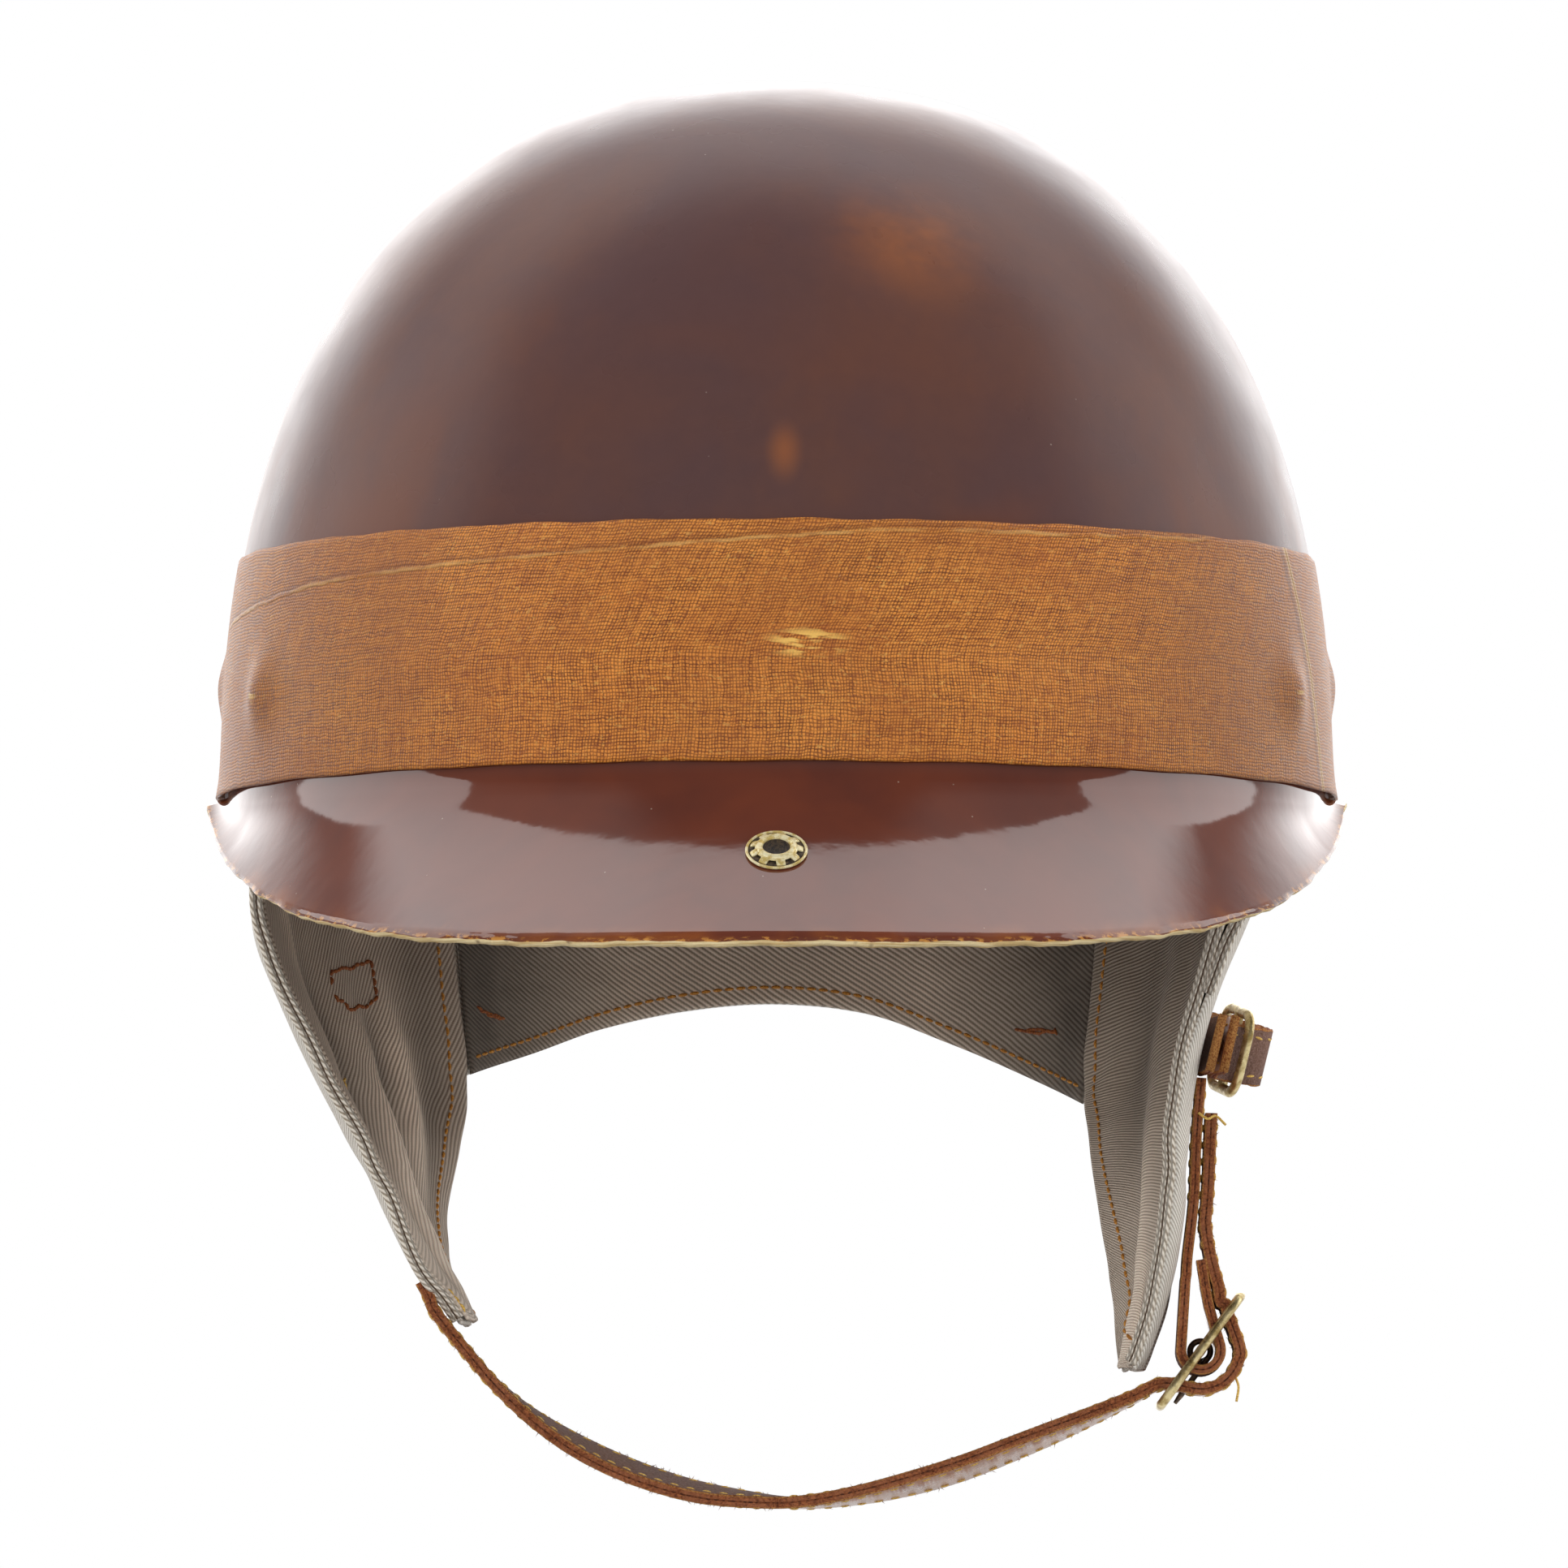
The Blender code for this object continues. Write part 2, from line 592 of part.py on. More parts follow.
def build_hanger(holes):
    """The cloth hanger tape inside the rim, which the flaps and the curtain are sewn to."""
    heights = (HANGER_BASE, PEAK_FLANGE, HANGER_HEIGHT)
    outer = [shell_ring(STATIONS, height, HANGER_INSET) for height in heights]
    inner = [shell_ring(STATIONS, height, HANGER_INSET + HANGER_WALL) for height in heights]
    hanger = loft("hanger_tape", outer + inner[::-1], "wrap", "tape")
    boolean(hanger, holes)


def build_sweatband():
    """The leather sweatband: its foot is sewn to the hanger tape, its top leans in to the head."""
    shares = np.array([0.0, 0.35, 0.7, 1.0])
    lean = np.sin(shares * math.pi / 2) ** 1.3
    angles = STATIONS[::2]
    outer, inner = [], []
    for share, step in zip(shares, lean):
        height = SWEATBAND_BASE + SWEATBAND_HEIGHT * share
        inset = SWEATBAND_FOOT_INSET + SWEATBAND_LEAN * step
        if share == 0:
            inset = HANGER_INSET + HANGER_WALL + 2 * FIT_GAP
        for rings, deeper in ((outer, 0.0), (inner, SWEATBAND_WALL)):
            half_width = SHELL_HALF_WIDTH - inset - deeper
            half_length = SHELL_HALF_LENGTH - inset - deeper
            flat = plan_point(angles, half_width, half_length)
            rings.append(np.column_stack([flat, np.full(len(flat), height)]))
    loft("sweatband", outer + inner[::-1], "wrap", "leather")


def build_cork():
    """The cork lining that fills the dome above the harness rivets."""
    angles = np.linspace(0, 360, CORK_COLUMNS, endpoint=False)
    near, far = SHELL_WALL + CORK_STAND_OFF, SHELL_WALL + CORK_STAND_OFF + CORK_WALL
    outer = [shell_ring(angles, height, near) for height in dome_heights(near, CORK_BASE, CORK_ROWS)]
    inner = [shell_ring(angles, height, far) for height in dome_heights(far, CORK_BASE, CORK_ROWS)]
    top, under = (0, 0, SHELL_HEIGHT - near), (0, 0, SHELL_HEIGHT - far)
    dome("cork_lining", inner[::-1] + outer, under, top, "cork")


def build_rivets():
    head, shank, tail = RIVET_HEAD_RADIUS, RIVET_SHANK_RADIUS, RIVET_TAIL_RADIUS
    profile = [
        (0, FIT_GAP + RIVET_HEAD_HEIGHT),
        (0.6 * head, FIT_GAP + 0.8 * RIVET_HEAD_HEIGHT),
        (head, FIT_GAP),
        (shank, FIT_GAP),
        (shank, -TAIL_INSET),
        (tail, -TAIL_INSET),
        (0.65 * tail, -TAIL_INSET - 0.8 * RIVET_TAIL_HEIGHT),
        (0, -TAIL_INSET - RIVET_TAIL_HEIGHT),
    ]
    hole = shank + RIVET_HOLE_CLEARANCE
    washer = [
        (WASHER_RADIUS, -WASHER_INSET),
        (WASHER_RADIUS, -WASHER_INSET - WASHER_WALL),
        (hole, -WASHER_INSET - WASHER_WALL),
        (hole, -WASHER_INSET),
    ]
    for number, (angle, height) in enumerate(zip(RIVET_ANGLES, RIVET_HEIGHTS), 1):
        place = rivet_place(angle, height)
        turned(f"rivet_{number}", profile, False, RIVET_STEPS, place, "brass")
        turned(f"rivet_washer_{number}", washer, True, RIVET_STEPS, place, "brass")


def build_tapes(cutters):
    """Eight cotton tapes from the rivets up to loops round the crown cord."""
    ring_height = SHELL_HEIGHT * CROWN_RING_HEIGHT_SHARE
    loop = CROWN_CORD_RADIUS + CROWN_LOOP_SLACK + TAPE_WALL / 2
    for number, (angle, height) in enumerate(zip(RIVET_ANGLES, RIVET_HEIGHTS), 1):
        frame = rivet_place(angle, height)
        out = np.array(frame.col[2][:3])
        mid = np.array(frame.col[3][:3]) - out * (TAPE_INSET + TAPE_WALL / 2)
        up = np.array(frame.col[1][:3])
        foot, above = mid - up * TAPE_FOOT_DROP, mid + up * WASHER_RADIUS
        upper_angle = 45.0 * (number - 1)
        turns = wrapped(angle) + wrapped(upper_angle - angle) * np.linspace(0, 1, len(TAPE_HEIGHT_SHARES))
        dome_path = []
        for turn, up_share, out_share in zip(turns, TAPE_HEIGHT_SHARES, TAPE_RADIUS_SHARES):
            flat = plan_point(turn, SHELL_HALF_WIDTH * out_share, SHELL_HALF_LENGTH * out_share)
            dome_path.append([flat[0], flat[1], SHELL_HEIGHT * up_share])
        plan = plan_point(upper_angle, CROWN_RING_HALF_WIDTH, CROWN_RING_HALF_LENGTH)
        centre = np.append(plan, ring_height)
        radial = unit([centre[0], centre[1], 0.0])
        path = smooth_curve([above] + dome_path + [centre + [0, 0, loop]], TAPE_STATIONS - 2)
        path = np.vstack([foot, mid, path])
        bends = np.radians(np.linspace(0, CROWN_LOOP_TURN, 7)[1:])
        curl = [centre - radial * loop * math.sin(b) + np.array([0, 0, loop * math.cos(b)]) for b in bends]
        path = np.vstack([path, curl])
        across = unit(np.cross([0, 0, 1], np.vstack([unit(path[:TAPE_STATIONS] * [1, 1, 0]),
                                                      np.tile(radial, (len(bends), 1))])))
        blend = np.clip(np.arange(len(path)) - 2, 0, TAPE_STATIONS - 4)[:, None] / (TAPE_STATIONS - 4)
        across = unit(np.array(frame.col[0][:3]) * (1 - blend) + across * blend)
        width = TAPE_WIDTH + (TAPE_TOP_WIDTH - TAPE_WIDTH) * blend[:, 0]
        made = ribbon(f"cradle_tape_{number}", path, across, width, TAPE_WALL, "tape")
        boolean(made, cutters[number - 1])
    turns = np.linspace(0, 360, 24, endpoint=False)
    flat = plan_point(turns, CROWN_RING_HALF_WIDTH, CROWN_RING_HALF_LENGTH)
    ring = np.column_stack([flat, np.full(len(flat), ring_height)])
    tube("crown_cord", ring, CROWN_CORD_RADIUS, "tape", cyclic=True, resolution=1)


# Peak


def nearest_turn(x, y):
    """The ellipse parameter of the shell's outline nearest to each plan point, by Newton steps."""
    a, b = SHELL_HALF_WIDTH, SHELL_HALF_LENGTH
    turn = np.arctan2(x / a, -y / b)
    for _ in range(8):
        s, c = np.sin(turn), np.cos(turn)
        slope = (a * s - x) * a * c + (-b * c - y) * b * s
        change = a * a * (c * c - s * s) + x * a * s + b * b * (s * s - c * c) - y * b * c
        turn = turn - slope / change
    return turn


def peak_sections():
    """Rows of the peak's upper face: the flange under the band, then the flare to the edge."""
    edge_turn = np.radians(np.linspace(-PEAK_HALF_ANGLE, PEAK_HALF_ANGLE, PEAK_COLUMNS + 1))
    x = PEAK_EDGE_HALF_WIDTH * np.sin(edge_turn)
    y = -(SHELL_HALF_LENGTH + PEAK_EDGE_REACH) * np.cos(edge_turn)
    full = PEAK_EDGE_DROP - PEAK_END_DROP
    limit = math.radians(PEAK_HALF_ANGLE)
    drop = PEAK_END_DROP + full * (1 - (np.abs(edge_turn) / limit) ** PEAK_DROP_POWER_SHARE)
    foot = nearest_turn(x, y)
    foot = foot * limit / np.abs(foot).max()
    flat = plan_point(np.degrees(foot), SHELL_HALF_WIDTH - PEAK_SEAT, SHELL_HALF_LENGTH - PEAK_SEAT)
    base = np.column_stack([flat, 0 * foot])
    edge = np.stack([x, y, -drop], axis=-1)
    neck = base - np.array([0, 0, 1.0]) * np.minimum(PEAK_NECK, PEAK_NECK_DROP_SHARE * drop)[:, None]
    bend = neck + (edge - neck) * PEAK_BEND_SHARE
    rows = [base + np.array([0, 0, PEAK_FLANGE])]
    for t in np.linspace(0, 1, PEAK_ROWS + 1):
        upper = (1 - t) ** 3 * base + 3 * (1 - t) ** 2 * t * neck
        rows.append(upper + 3 * (1 - t) * t**2 * bend + t**3 * edge)
    return np.array(rows)


PEAK_GRID = peak_sections()


def eyelet_place():
    """The eyelet's frame on the peak's centre line: Z stands square to the upper face."""
    line = PEAK_GRID[1:, PEAK_COLUMNS // 2]
    spot = np.array([np.interp(EYELET_ROW_SHARE, np.linspace(0, 1, len(line)), line[:, k]) for k in range(3)])
    row = int(EYELET_ROW_SHARE * (len(line) - 1))
    along = unit(line[row + 1] - line[row])
    out = np.cross(along, [1.0, 0, 0])
    out = out if out[2] > 0 else -out
    return axes_at(spot, np.array([1.0, 0, 0]), np.cross(out, [1.0, 0, 0]), out)


def build_peak():
    peak = sheet("peak", PEAK_GRID, PEAK_WALL, 1, "lacquer")
    place = eyelet_place()
    radius = EYELET_BORE_RADIUS + EYELET_BARREL_WALL + FIT_GAP
    hole = cylinder("eyelet_hole", radius, PEAK_WALL + 2 * CUT_OVERRUN, place)
    boolean(peak, hole)
    bore, barrel = EYELET_BORE_RADIUS, EYELET_BORE_RADIUS + EYELET_BARREL_WALL
    top = EYELET_SEAT + GROMMET_WALL + GROMMET_RISE
    under = -PEAK_WALL - FIT_GAP
    profile = [
        (barrel, top),
        (EYELET_RIM_RADIUS, top),
        (0.96 * EYELET_RIM_RADIUS, top + 0.6 * EYELET_ROLL),
        (0.5 * (EYELET_RIM_RADIUS + bore), top + EYELET_ROLL),
        (bore, top + 0.4 * EYELET_ROLL),
        (bore, under - EYELET_BARREL_WALL),
        (EYELET_FLANGE_RADIUS, under - EYELET_BARREL_WALL),
        (EYELET_FLANGE_RADIUS, under),
        (barrel, under),
    ]
    turned("eyelet", profile[::-1], True, 20, place, "brass")
    build_grommet(place, barrel + FIT_GAP)


def build_grommet(place, hole):
    """The toothed washer under the eyelet's rolled rim: a domed ring with teeth round its hole."""
    count = GROMMET_TEETH * 4
    turns = np.radians(np.arange(count) * 360.0 / count)
    tooth = np.tile([0.0, 0.0, 1.0, 1.0], GROMMET_TEETH)
    middle = hole + 0.42 * (GROMMET_RADIUS - hole)
    inner = hole + 0.10 * (GROMMET_RADIUS - hole) * tooth + (middle - hole) * tooth * 0.75
    crown = np.full(count, 0.5 * (middle + GROMMET_RADIUS))
    rim = np.full(count, GROMMET_RADIUS)
    sections = []
    for radius, height in (
        (inner, GROMMET_RISE * 0.80), (crown, GROMMET_RISE * 0.55), (rim, 0.0), (rim, GROMMET_WALL),
        (crown, GROMMET_RISE * 0.55 + GROMMET_WALL * 0.8), (inner, GROMMET_RISE * 0.80 + GROMMET_WALL * 0.8),
    ):
        height = height + EYELET_SEAT
        level = np.full(count, height)
        sections.append(np.stack([radius * np.cos(turns), radius * np.sin(turns), level], axis=-1))
    washer = loft("eyelet_washer", sections, "wrap", "brass")
    washer.matrix_world = place


# Ear flaps and curtain


def flap_surface(side, across, down, stand=0.0):
    """Points of a flap's middle surface. across runs front to rear and down rim to tip, both 0 to 1.

    The rows join the front edge to the rear edge and swell outwards as the rim's ellipse does.
    Stand moves the points outwards, square to the vertical plane through the two top corners.
    """
    tables = {
        "right": (RIGHT_FRONT_SHARES, RIGHT_REAR_SHARES, RIGHT_SWELL_SHARES, RIGHT_FLAP_TIP_DROP_SHARE),
        "left": (LEFT_FRONT_SHARES, LEFT_REAR_SHARES, LEFT_SWELL_SHARES, LEFT_FLAP_TIP_DROP_SHARE),
    }
    front_shares, rear_shares, swell_shares, drop_share = tables[side]
    size = np.array([CLOTH_HALF_WIDTH, CLOTH_HALF_LENGTH, FLAP_TIP_DROP * drop_share])
    across, down = np.broadcast_arrays(np.asarray(across, dtype=float), np.asarray(down, dtype=float))
    front = smooth_values(np.array(front_shares) * size, down)
    rear = smooth_values(np.array(rear_shares) * size, down)
    swell = smooth_values(swell_shares, down)
    corners = np.array([front_shares[0], rear_shares[0]]) * size
    sign = np.sign(corners[0, 0])
    plan = corners[:, :2] / np.array([CLOTH_HALF_WIDTH, CLOTH_HALF_LENGTH])
    start = math.degrees(math.atan2(abs(plan[0, 0]), -plan[0, 1]))
    stop = math.degrees(math.atan2(abs(plan[1, 0]), -plan[1, 1]))
    rim = plan_point(start + (stop - start) * across, CLOTH_HALF_WIDTH, CLOTH_HALF_LENGTH) * [sign, 1]
    share = across[..., None]
    chord = corners[0, :2] * (1 - share) + corners[1, :2] * share
    points = front * (1 - share) + rear * share
    points[..., :2] += (rim - chord) * swell[..., None]
    fold = FOLD_DEPTH * np.sin(across * FOLD_WAVES * 2 * math.pi) * np.sin(np.clip(down, 0, 1) * math.pi)
    out = unit([sign * (corners[1, 1] - corners[0, 1]), -sign * (corners[1, 0] - corners[0, 0]), 0.0])
    points += out * (fold * np.clip(1.4 - 1.4 * across, 0, 1) + stand)[..., None]
    points[..., 2] += CLOTH_TOP * (1 - down)
    return points


def flap_reach(side, low_y, high_y, height):
    """How far out the flap's middle surface comes at this height, between two planes square to Y."""
    across, down = np.meshgrid(np.linspace(0, 1, 70), np.linspace(0, 1, 160))
    points = flap_surface(side, across, down).reshape(-1, 3)
    size = FLAP_TIP_DROP * REACH_BAND_SHARE
    near = (np.abs(points[:, 2] - height) < size) & (points[:, 1] > low_y) & (points[:, 1] < high_y)
    return np.abs(points[near, 0]).max()


def build_flap(side):
    """One ear flap: the outer twill, the lining inside it and the piping along the front edge."""
    across, down = np.meshgrid(np.linspace(0, 1, FLAP_COLUMNS), np.linspace(0, 1, FLAP_ROWS))
    middle = flap_surface(side, across, down)
    out_side = 1 if side == "right" else -1
    sheet(f"{side}_flap", middle, CLOTH_OUTER, 0, "twill")
    spread = LINING_SPREAD * (side == "left")
    open_share = np.clip(1 - down / LINING_SPREAD_END_SHARE, 0, 1) ** 1.5 * np.clip(1.2 - across, 0, 1)
    inset = CLOTH_OUTER / 2 + CLOTH_LINING / 2 + 2 * FIT_GAP + spread * open_share
    inner = offset_grid(middle, -out_side * inset)
    sheet(f"{side}_flap_lining", inner[1 if side == "left" else 0:], CLOTH_LINING, 0, "lining_cotton")
    edge = flap_surface(side, 0.0, np.linspace(0.02, 0.985, PIPING_POINTS))
    nearby = flap_surface(side, PIPING_BESIDE_SHARE, np.linspace(0.02, 0.985, PIPING_POINTS))
    edge = edge + unit(edge - nearby) * (PIPING_RADIUS + FIT_GAP + CLOTH_OUTER / 4)
    tube(f"{side}_flap_piping", edge, PIPING_RADIUS, "twill", resolution=1)


def offset_grid(grid, distance):
    """The grid's points moved along its own normals."""
    du = np.gradient(grid, axis=1)
    dv = np.gradient(grid, axis=0)
    normal = unit(np.cross(du, dv))
    return grid + normal * np.asarray(distance)[..., None]


def curtain_surface(turns, downs):
    """Points of the curtain's middle surface. turns runs -1 to 1 from right to left seam, downs 0 to 1."""
    corner = math.degrees(math.asin(LEFT_REAR_SHARES[0][0]))
    corner -= math.degrees(SEAM_GAP / CLOTH_HALF_WIDTH)
    turns, downs = np.broadcast_arrays(np.asarray(turns, dtype=float), np.asarray(downs, dtype=float))
    rim = plan_point(180.0 - corner * turns, CLOTH_HALF_WIDTH, CLOTH_HALF_LENGTH)
    pull = turns**2
    hem_x = rim[..., 0] * (1 - CURTAIN_END_NARROW_SHARE * pull)
    hem_y = rim[..., 1] - CURTAIN_TUCK - CURTAIN_END_FORWARD * pull
    hem_z = -CURTAIN_DROP * smooth_values(CURTAIN_HEM_SHARES, (turns + 1) / 2)
    x = rim[..., 0] + (hem_x - rim[..., 0]) * downs
    y = rim[..., 1] + (hem_y - rim[..., 1]) * downs
    y = y + CURTAIN_WAVE * np.sin(turns * 9.0) * np.sin(downs * math.pi / 2) * (1 - pull)
    z = CLOTH_TOP + (hem_z - CLOTH_TOP) * downs
    return np.stack([x, y, z], axis=-1)


def build_curtain():
    turns, downs = np.meshgrid(np.linspace(-1, 1, CURTAIN_COLUMNS), np.linspace(0, 1, CURTAIN_ROWS))
    middle = curtain_surface(turns, downs)
    sheet("neck_curtain", middle, CLOTH_OUTER, 0, "twill")
    inner = offset_grid(middle, np.full(turns.shape, CLOTH_OUTER / 2 + CLOTH_LINING / 2 + 2 * FIT_GAP))
    if np.mean(np.linalg.norm(inner[..., :2], axis=-1)) > np.mean(np.linalg.norm(middle[..., :2], axis=-1)):
        inner = offset_grid(middle, np.full(turns.shape, -CLOTH_OUTER / 2 - CLOTH_LINING / 2 - 2 * FIT_GAP))
    sheet("neck_curtain_lining", inner, CLOTH_LINING, 0, "lining_cotton")


# Buckles and straps


def buckle_frame(name, centre, pull, out, bar, length, inner_width):
    """A bowed rectangular frame with round corners, and its middle bar along bar."""
    half_length, half_width = length / 2, inner_width / 2 + BUCKLE_BAR / 2
    corner = min(BUCKLE_CORNER, half_length, half_width)
    outline = []
    for quadrant, (sx, sy) in enumerate(((1, 1), (-1, 1), (-1, -1), (1, -1))):
        for k in range(5):
            bend = math.radians(90.0 * quadrant + 22.5 * k)
            outline.append((sx * (half_length - corner) + corner * math.cos(bend),
                            sy * (half_width - corner) + corner * math.sin(bend)))
    outline = np.array(outline)
    centre, pull, out, bar = (np.asarray(v, dtype=float) for v in (centre, pull, out, bar))
    path = centre + outline[:, :1] * pull + outline[:, 1:] * bar
    radial = unit(np.column_stack([outline[:, 0] / half_length, outline[:, 1] / half_width]))
    radial = radial[:, :1] * pull + radial[:, 1:] * bar
    half = BUCKLE_BAR / 2
    sections = [path + radial * half * a + out * half * b for a, b in BAR_SECTION_SHARES]
    frame = loft(name, sections, "wrap", "brass")
    place = axes_at(centre, pull, np.cross(bar, pull), bar)
    pin = cylinder(f"{name}_bar", BUCKLE_PIN_RADIUS, 2 * half_width, place, sides=10)
    boolean(frame, pin, "UNION")


def buckle_tongue(name, centre, pull, out, bar, length):
    """A wire tongue: two coils round the bar, then a straight pin that rests on the frame's end."""
    centre, pull, out, bar = (np.asarray(v, dtype=float) for v in (centre, pull, out, bar))
    coil = BUCKLE_PIN_RADIUS + TONGUE_COIL_CLEARANCE + TONGUE_WIRE_RADIUS
    rest = BUCKLE_BAR / 2 + TONGUE_WIRE_RADIUS + FIT_GAP
    reach = length / 2 + TONGUE_OVERHANG
    tip = pull * reach + out * rest
    tip_angle = math.atan2(float(tip @ out), float(tip @ pull))
    start = tip_angle + math.acos(coil / reach)
    turns = np.linspace(start, start + TONGUE_COIL_TURNS * 2 * math.pi, int(TONGUE_COIL_TURNS * 9) + 1)
    shift = np.linspace(0, TONGUE_COIL_TURNS * TONGUE_COIL_PITCH, len(turns))
    points = [
        centre + (pull * math.cos(t) + out * math.sin(t)) * coil + bar * s for t, s in zip(turns, shift)
    ]
    first = centre + (pull * math.cos(start) + out * math.sin(start)) * coil
    lead = [first + (centre + tip - first) * s for s in (1.0, 0.6, 0.25)]
    tube(name, np.array(lead + points), TONGUE_WIRE_RADIUS, "wire", resolution=1)


def slot_cutter(name, centre, pull, out, bar, angles, depth, width):
    """A wedge of the annulus round the bar that the tongue sweeps through."""
    centre, pull, out, bar = (np.asarray(v, dtype=float) for v in (centre, pull, out, bar))
    near = BUCKLE_PIN_RADIUS
    sections = []
    for angle in np.radians(np.linspace(angles[0], angles[1], 7)):
        ray = pull * math.cos(angle) + out * math.sin(angle)
        sections.append([centre + ray * r + bar * s * width / 2
                         for r, s in ((near, -1), (depth, -1), (depth, 1), (near, 1))])
    return loft(name, sections, "caps", None, CUTTERS)


def build_chin_straps():
    """The chape sewn to the left flap round the buckle's bar, and the strap from the right flap."""
    lean = math.radians(CHIN_BUCKLE_LEAN)
    centre = np.array([CHIN_BAR_SHARE * CLOTH_HALF_WIDTH, STRAP_PLANE_Y, -CHIN_BAR_DROP_SHARE * CHIN_SAG])
    pull = np.array([-math.cos(lean), 0.0, -math.sin(lean)])
    out = np.array([math.sin(lean), 0.0, -math.cos(lean)])
    bar = np.array([0.0, 1.0, 0.0])
    buckle_frame("chin_buckle_frame", centre, pull, out, bar, BUCKLE_LENGTH, BUCKLE_INNER_WIDTH)
    buckle_tongue("chin_buckle_tongue", centre, pull, out, bar, BUCKLE_LENGTH)

    loop = BUCKLE_PIN_RADIUS + TONGUE_COIL_CLEARANCE + 2 * TONGUE_WIRE_RADIUS + FIT_GAP + CHAPE_WALL / 2
    stand = CLOTH_OUTER / 2 + CHAPE_WALL / 2 + 2 * STRAP_CLEARANCE
    lap = []
    for share in np.linspace(CHIN_CHAPE_TOP_SHARE, CHIN_CHAPE_LEAVE_SHARE, 5):
        height = -FLAP_TIP_DROP * share
        reach = flap_reach("left", STRAP_PLANE_Y - STRAP_WIDTH / 2, STRAP_PLANE_Y + STRAP_WIDTH / 2, height)
        lap.append(np.array([reach + stand, STRAP_PLANE_Y, height]))
    bends = np.radians(np.linspace(175, 375, 9))
    around = [centre + [loop * math.cos(b), 0, loop * math.sin(b)] for b in bends]
    inner_leg = lap[-1] - np.array([CHAPE_WALL / 2, 0, 2 * CHAPE_WALL])
    back = inner_leg + np.array([CHAPE_WALL + STRAP_CLEARANCE, 0, -2 * CHAPE_WALL])
    middle = (around[-1] + back) / 2 - [CHAPE_WALL / 4, 0, 0]
    path = np.vstack([smooth_curve(lap + [inner_leg, around[0]], 14)[:-1], around,
                      smooth_curve([around[-1], middle, back], 4)[1:]])
    chape = ribbon("chin_chape", path, bar, STRAP_WIDTH, CHAPE_WALL, "leather")
    outer = loop + CHAPE_WALL / 2 + FIT_GAP
    slot = slot_cutter("chin_chape_slot", centre, pull, out, bar, SLOT_ANGLES, outer, SLOT_WIDTH)
    boolean(chape, slot)
    build_chin_strap(centre, pull, out, outer, lap)


def build_chin_strap(centre, pull, out, chape_outer, chape_lap):
    """The strap: sewn outside the right flap, under the chin, through the buckle and up the chape."""
    stand = CLOTH_OUTER / 2 + STRAP_WALL / 2 + 2 * STRAP_CLEARANCE
    lap = []
    for share in CHIN_LAP_SHARES:
        height = -FLAP_TIP_DROP * share
        reach = flap_reach("right", STRAP_PLANE_Y - STRAP_WIDTH / 2, STRAP_PLANE_Y + STRAP_WIDTH / 2, height)
        lap.append([-reach - stand, STRAP_PLANE_Y, height])
    size = np.array([CHIN_SPREAD_SHARE * CLOTH_HALF_WIDTH, CHIN_SAG])
    free = [[x, STRAP_PLANE_Y, z] for x, z in np.array(CHIN_PATH_SHARES) * size]
    over = chape_outer + STRAP_WALL / 2 + LOOP_SLACK_SHARE * STRAP_CLEARANCE
    half = BUCKLE_LENGTH / 2
    clear = BUCKLE_BAR / 2 + STRAP_WALL / 2 + STRAP_CLEARANCE
    bends = np.radians(np.linspace(-100, 5, 6))
    weave = [centre + pull * half + [0, 0, clear * WEAVE_SHARE]]
    weave += [centre + [over * math.cos(b), 0, over * math.sin(b)] for b in bends]
    weave.append(centre - pull * half - [clear * FAR_WEAVE_SHARE, 0, 0])
    beside = CHAPE_WALL / 2 + STRAP_WALL / 2 + 2 * STRAP_CLEARANCE
    billet = [chape_lap[k] + [beside + (CHAPE_WALL + STRAP_CLEARANCE) * (k == 4), 0, 0] for k in (4, 3, 2, 1)]
    path = strap_stations(lap + free + weave + billet, weave[0], CHIN_STATIONS)
    path[:, 1] = STRAP_PLANE_Y
    share = np.linspace(0, 1, len(path))
    tilt = np.radians(STRAP_TILT) * np.sin(np.clip(share / TILT_END_SHARE, 0, 1) * 2 * math.pi)
    across = np.column_stack([0 * tilt, np.cos(tilt), np.sin(tilt)])
    strap = ribbon("chin_strap", path, across, STRAP_WIDTH, STRAP_WALL, "leather")
    bar = np.array([0.0, 1.0, 0.0])
    hole = slot_cutter("chin_strap_hole", centre, pull, out, bar, HOLE_ANGLES, half, SLOT_WIDTH / 2)
    boolean(strap, hole)


def nape_line(shares):
    """The nape strap's route outside the cloth, from the right flap round the curtain to the buckle.

    Gives the points and, for each, the direction of the strap's width, which lies along the cloth.
    """
    stand = CLOTH_OUTER / 2 + NAPE_STRAP_WALL / 2 + 2 * STRAP_CLEARANCE
    points, widths = [], []
    for share in np.asarray(shares, dtype=float):
        height = -FLAP_TIP_DROP * float(smooth_values(NAPE_HEIGHT_SHARES, share))
        if share < NAPE_SEAM_SHARES[0]:
            across = float(np.interp(share, (0, NAPE_SEAM_SHARES[0]), NAPE_RIGHT_SHARES))
            spot, width = cloth_spot(lambda down: flap_surface("right", across, down), height)
        elif share <= NAPE_SEAM_SHARES[1]:
            turn = float(np.interp(share, NAPE_SEAM_SHARES, NAPE_CURTAIN_SHARES))
            spot, width = cloth_spot(lambda down: curtain_surface(turn, down), height)
        else:
            across = float(np.interp(share, (NAPE_SEAM_SHARES[1], 1), NAPE_LEFT_SHARES))
            spot, width = cloth_spot(lambda down: flap_surface("left", across, down), height)
        flat = unit([spot[0] / CLOTH_HALF_WIDTH**2, spot[1] / CLOTH_HALF_LENGTH**2, 0.0])
        out = unit(flat - width * float(flat @ width))
        points.append(spot + out * (stand + CURTAIN_WAVE))
        widths.append(width)
    return np.array(points), np.array(widths)


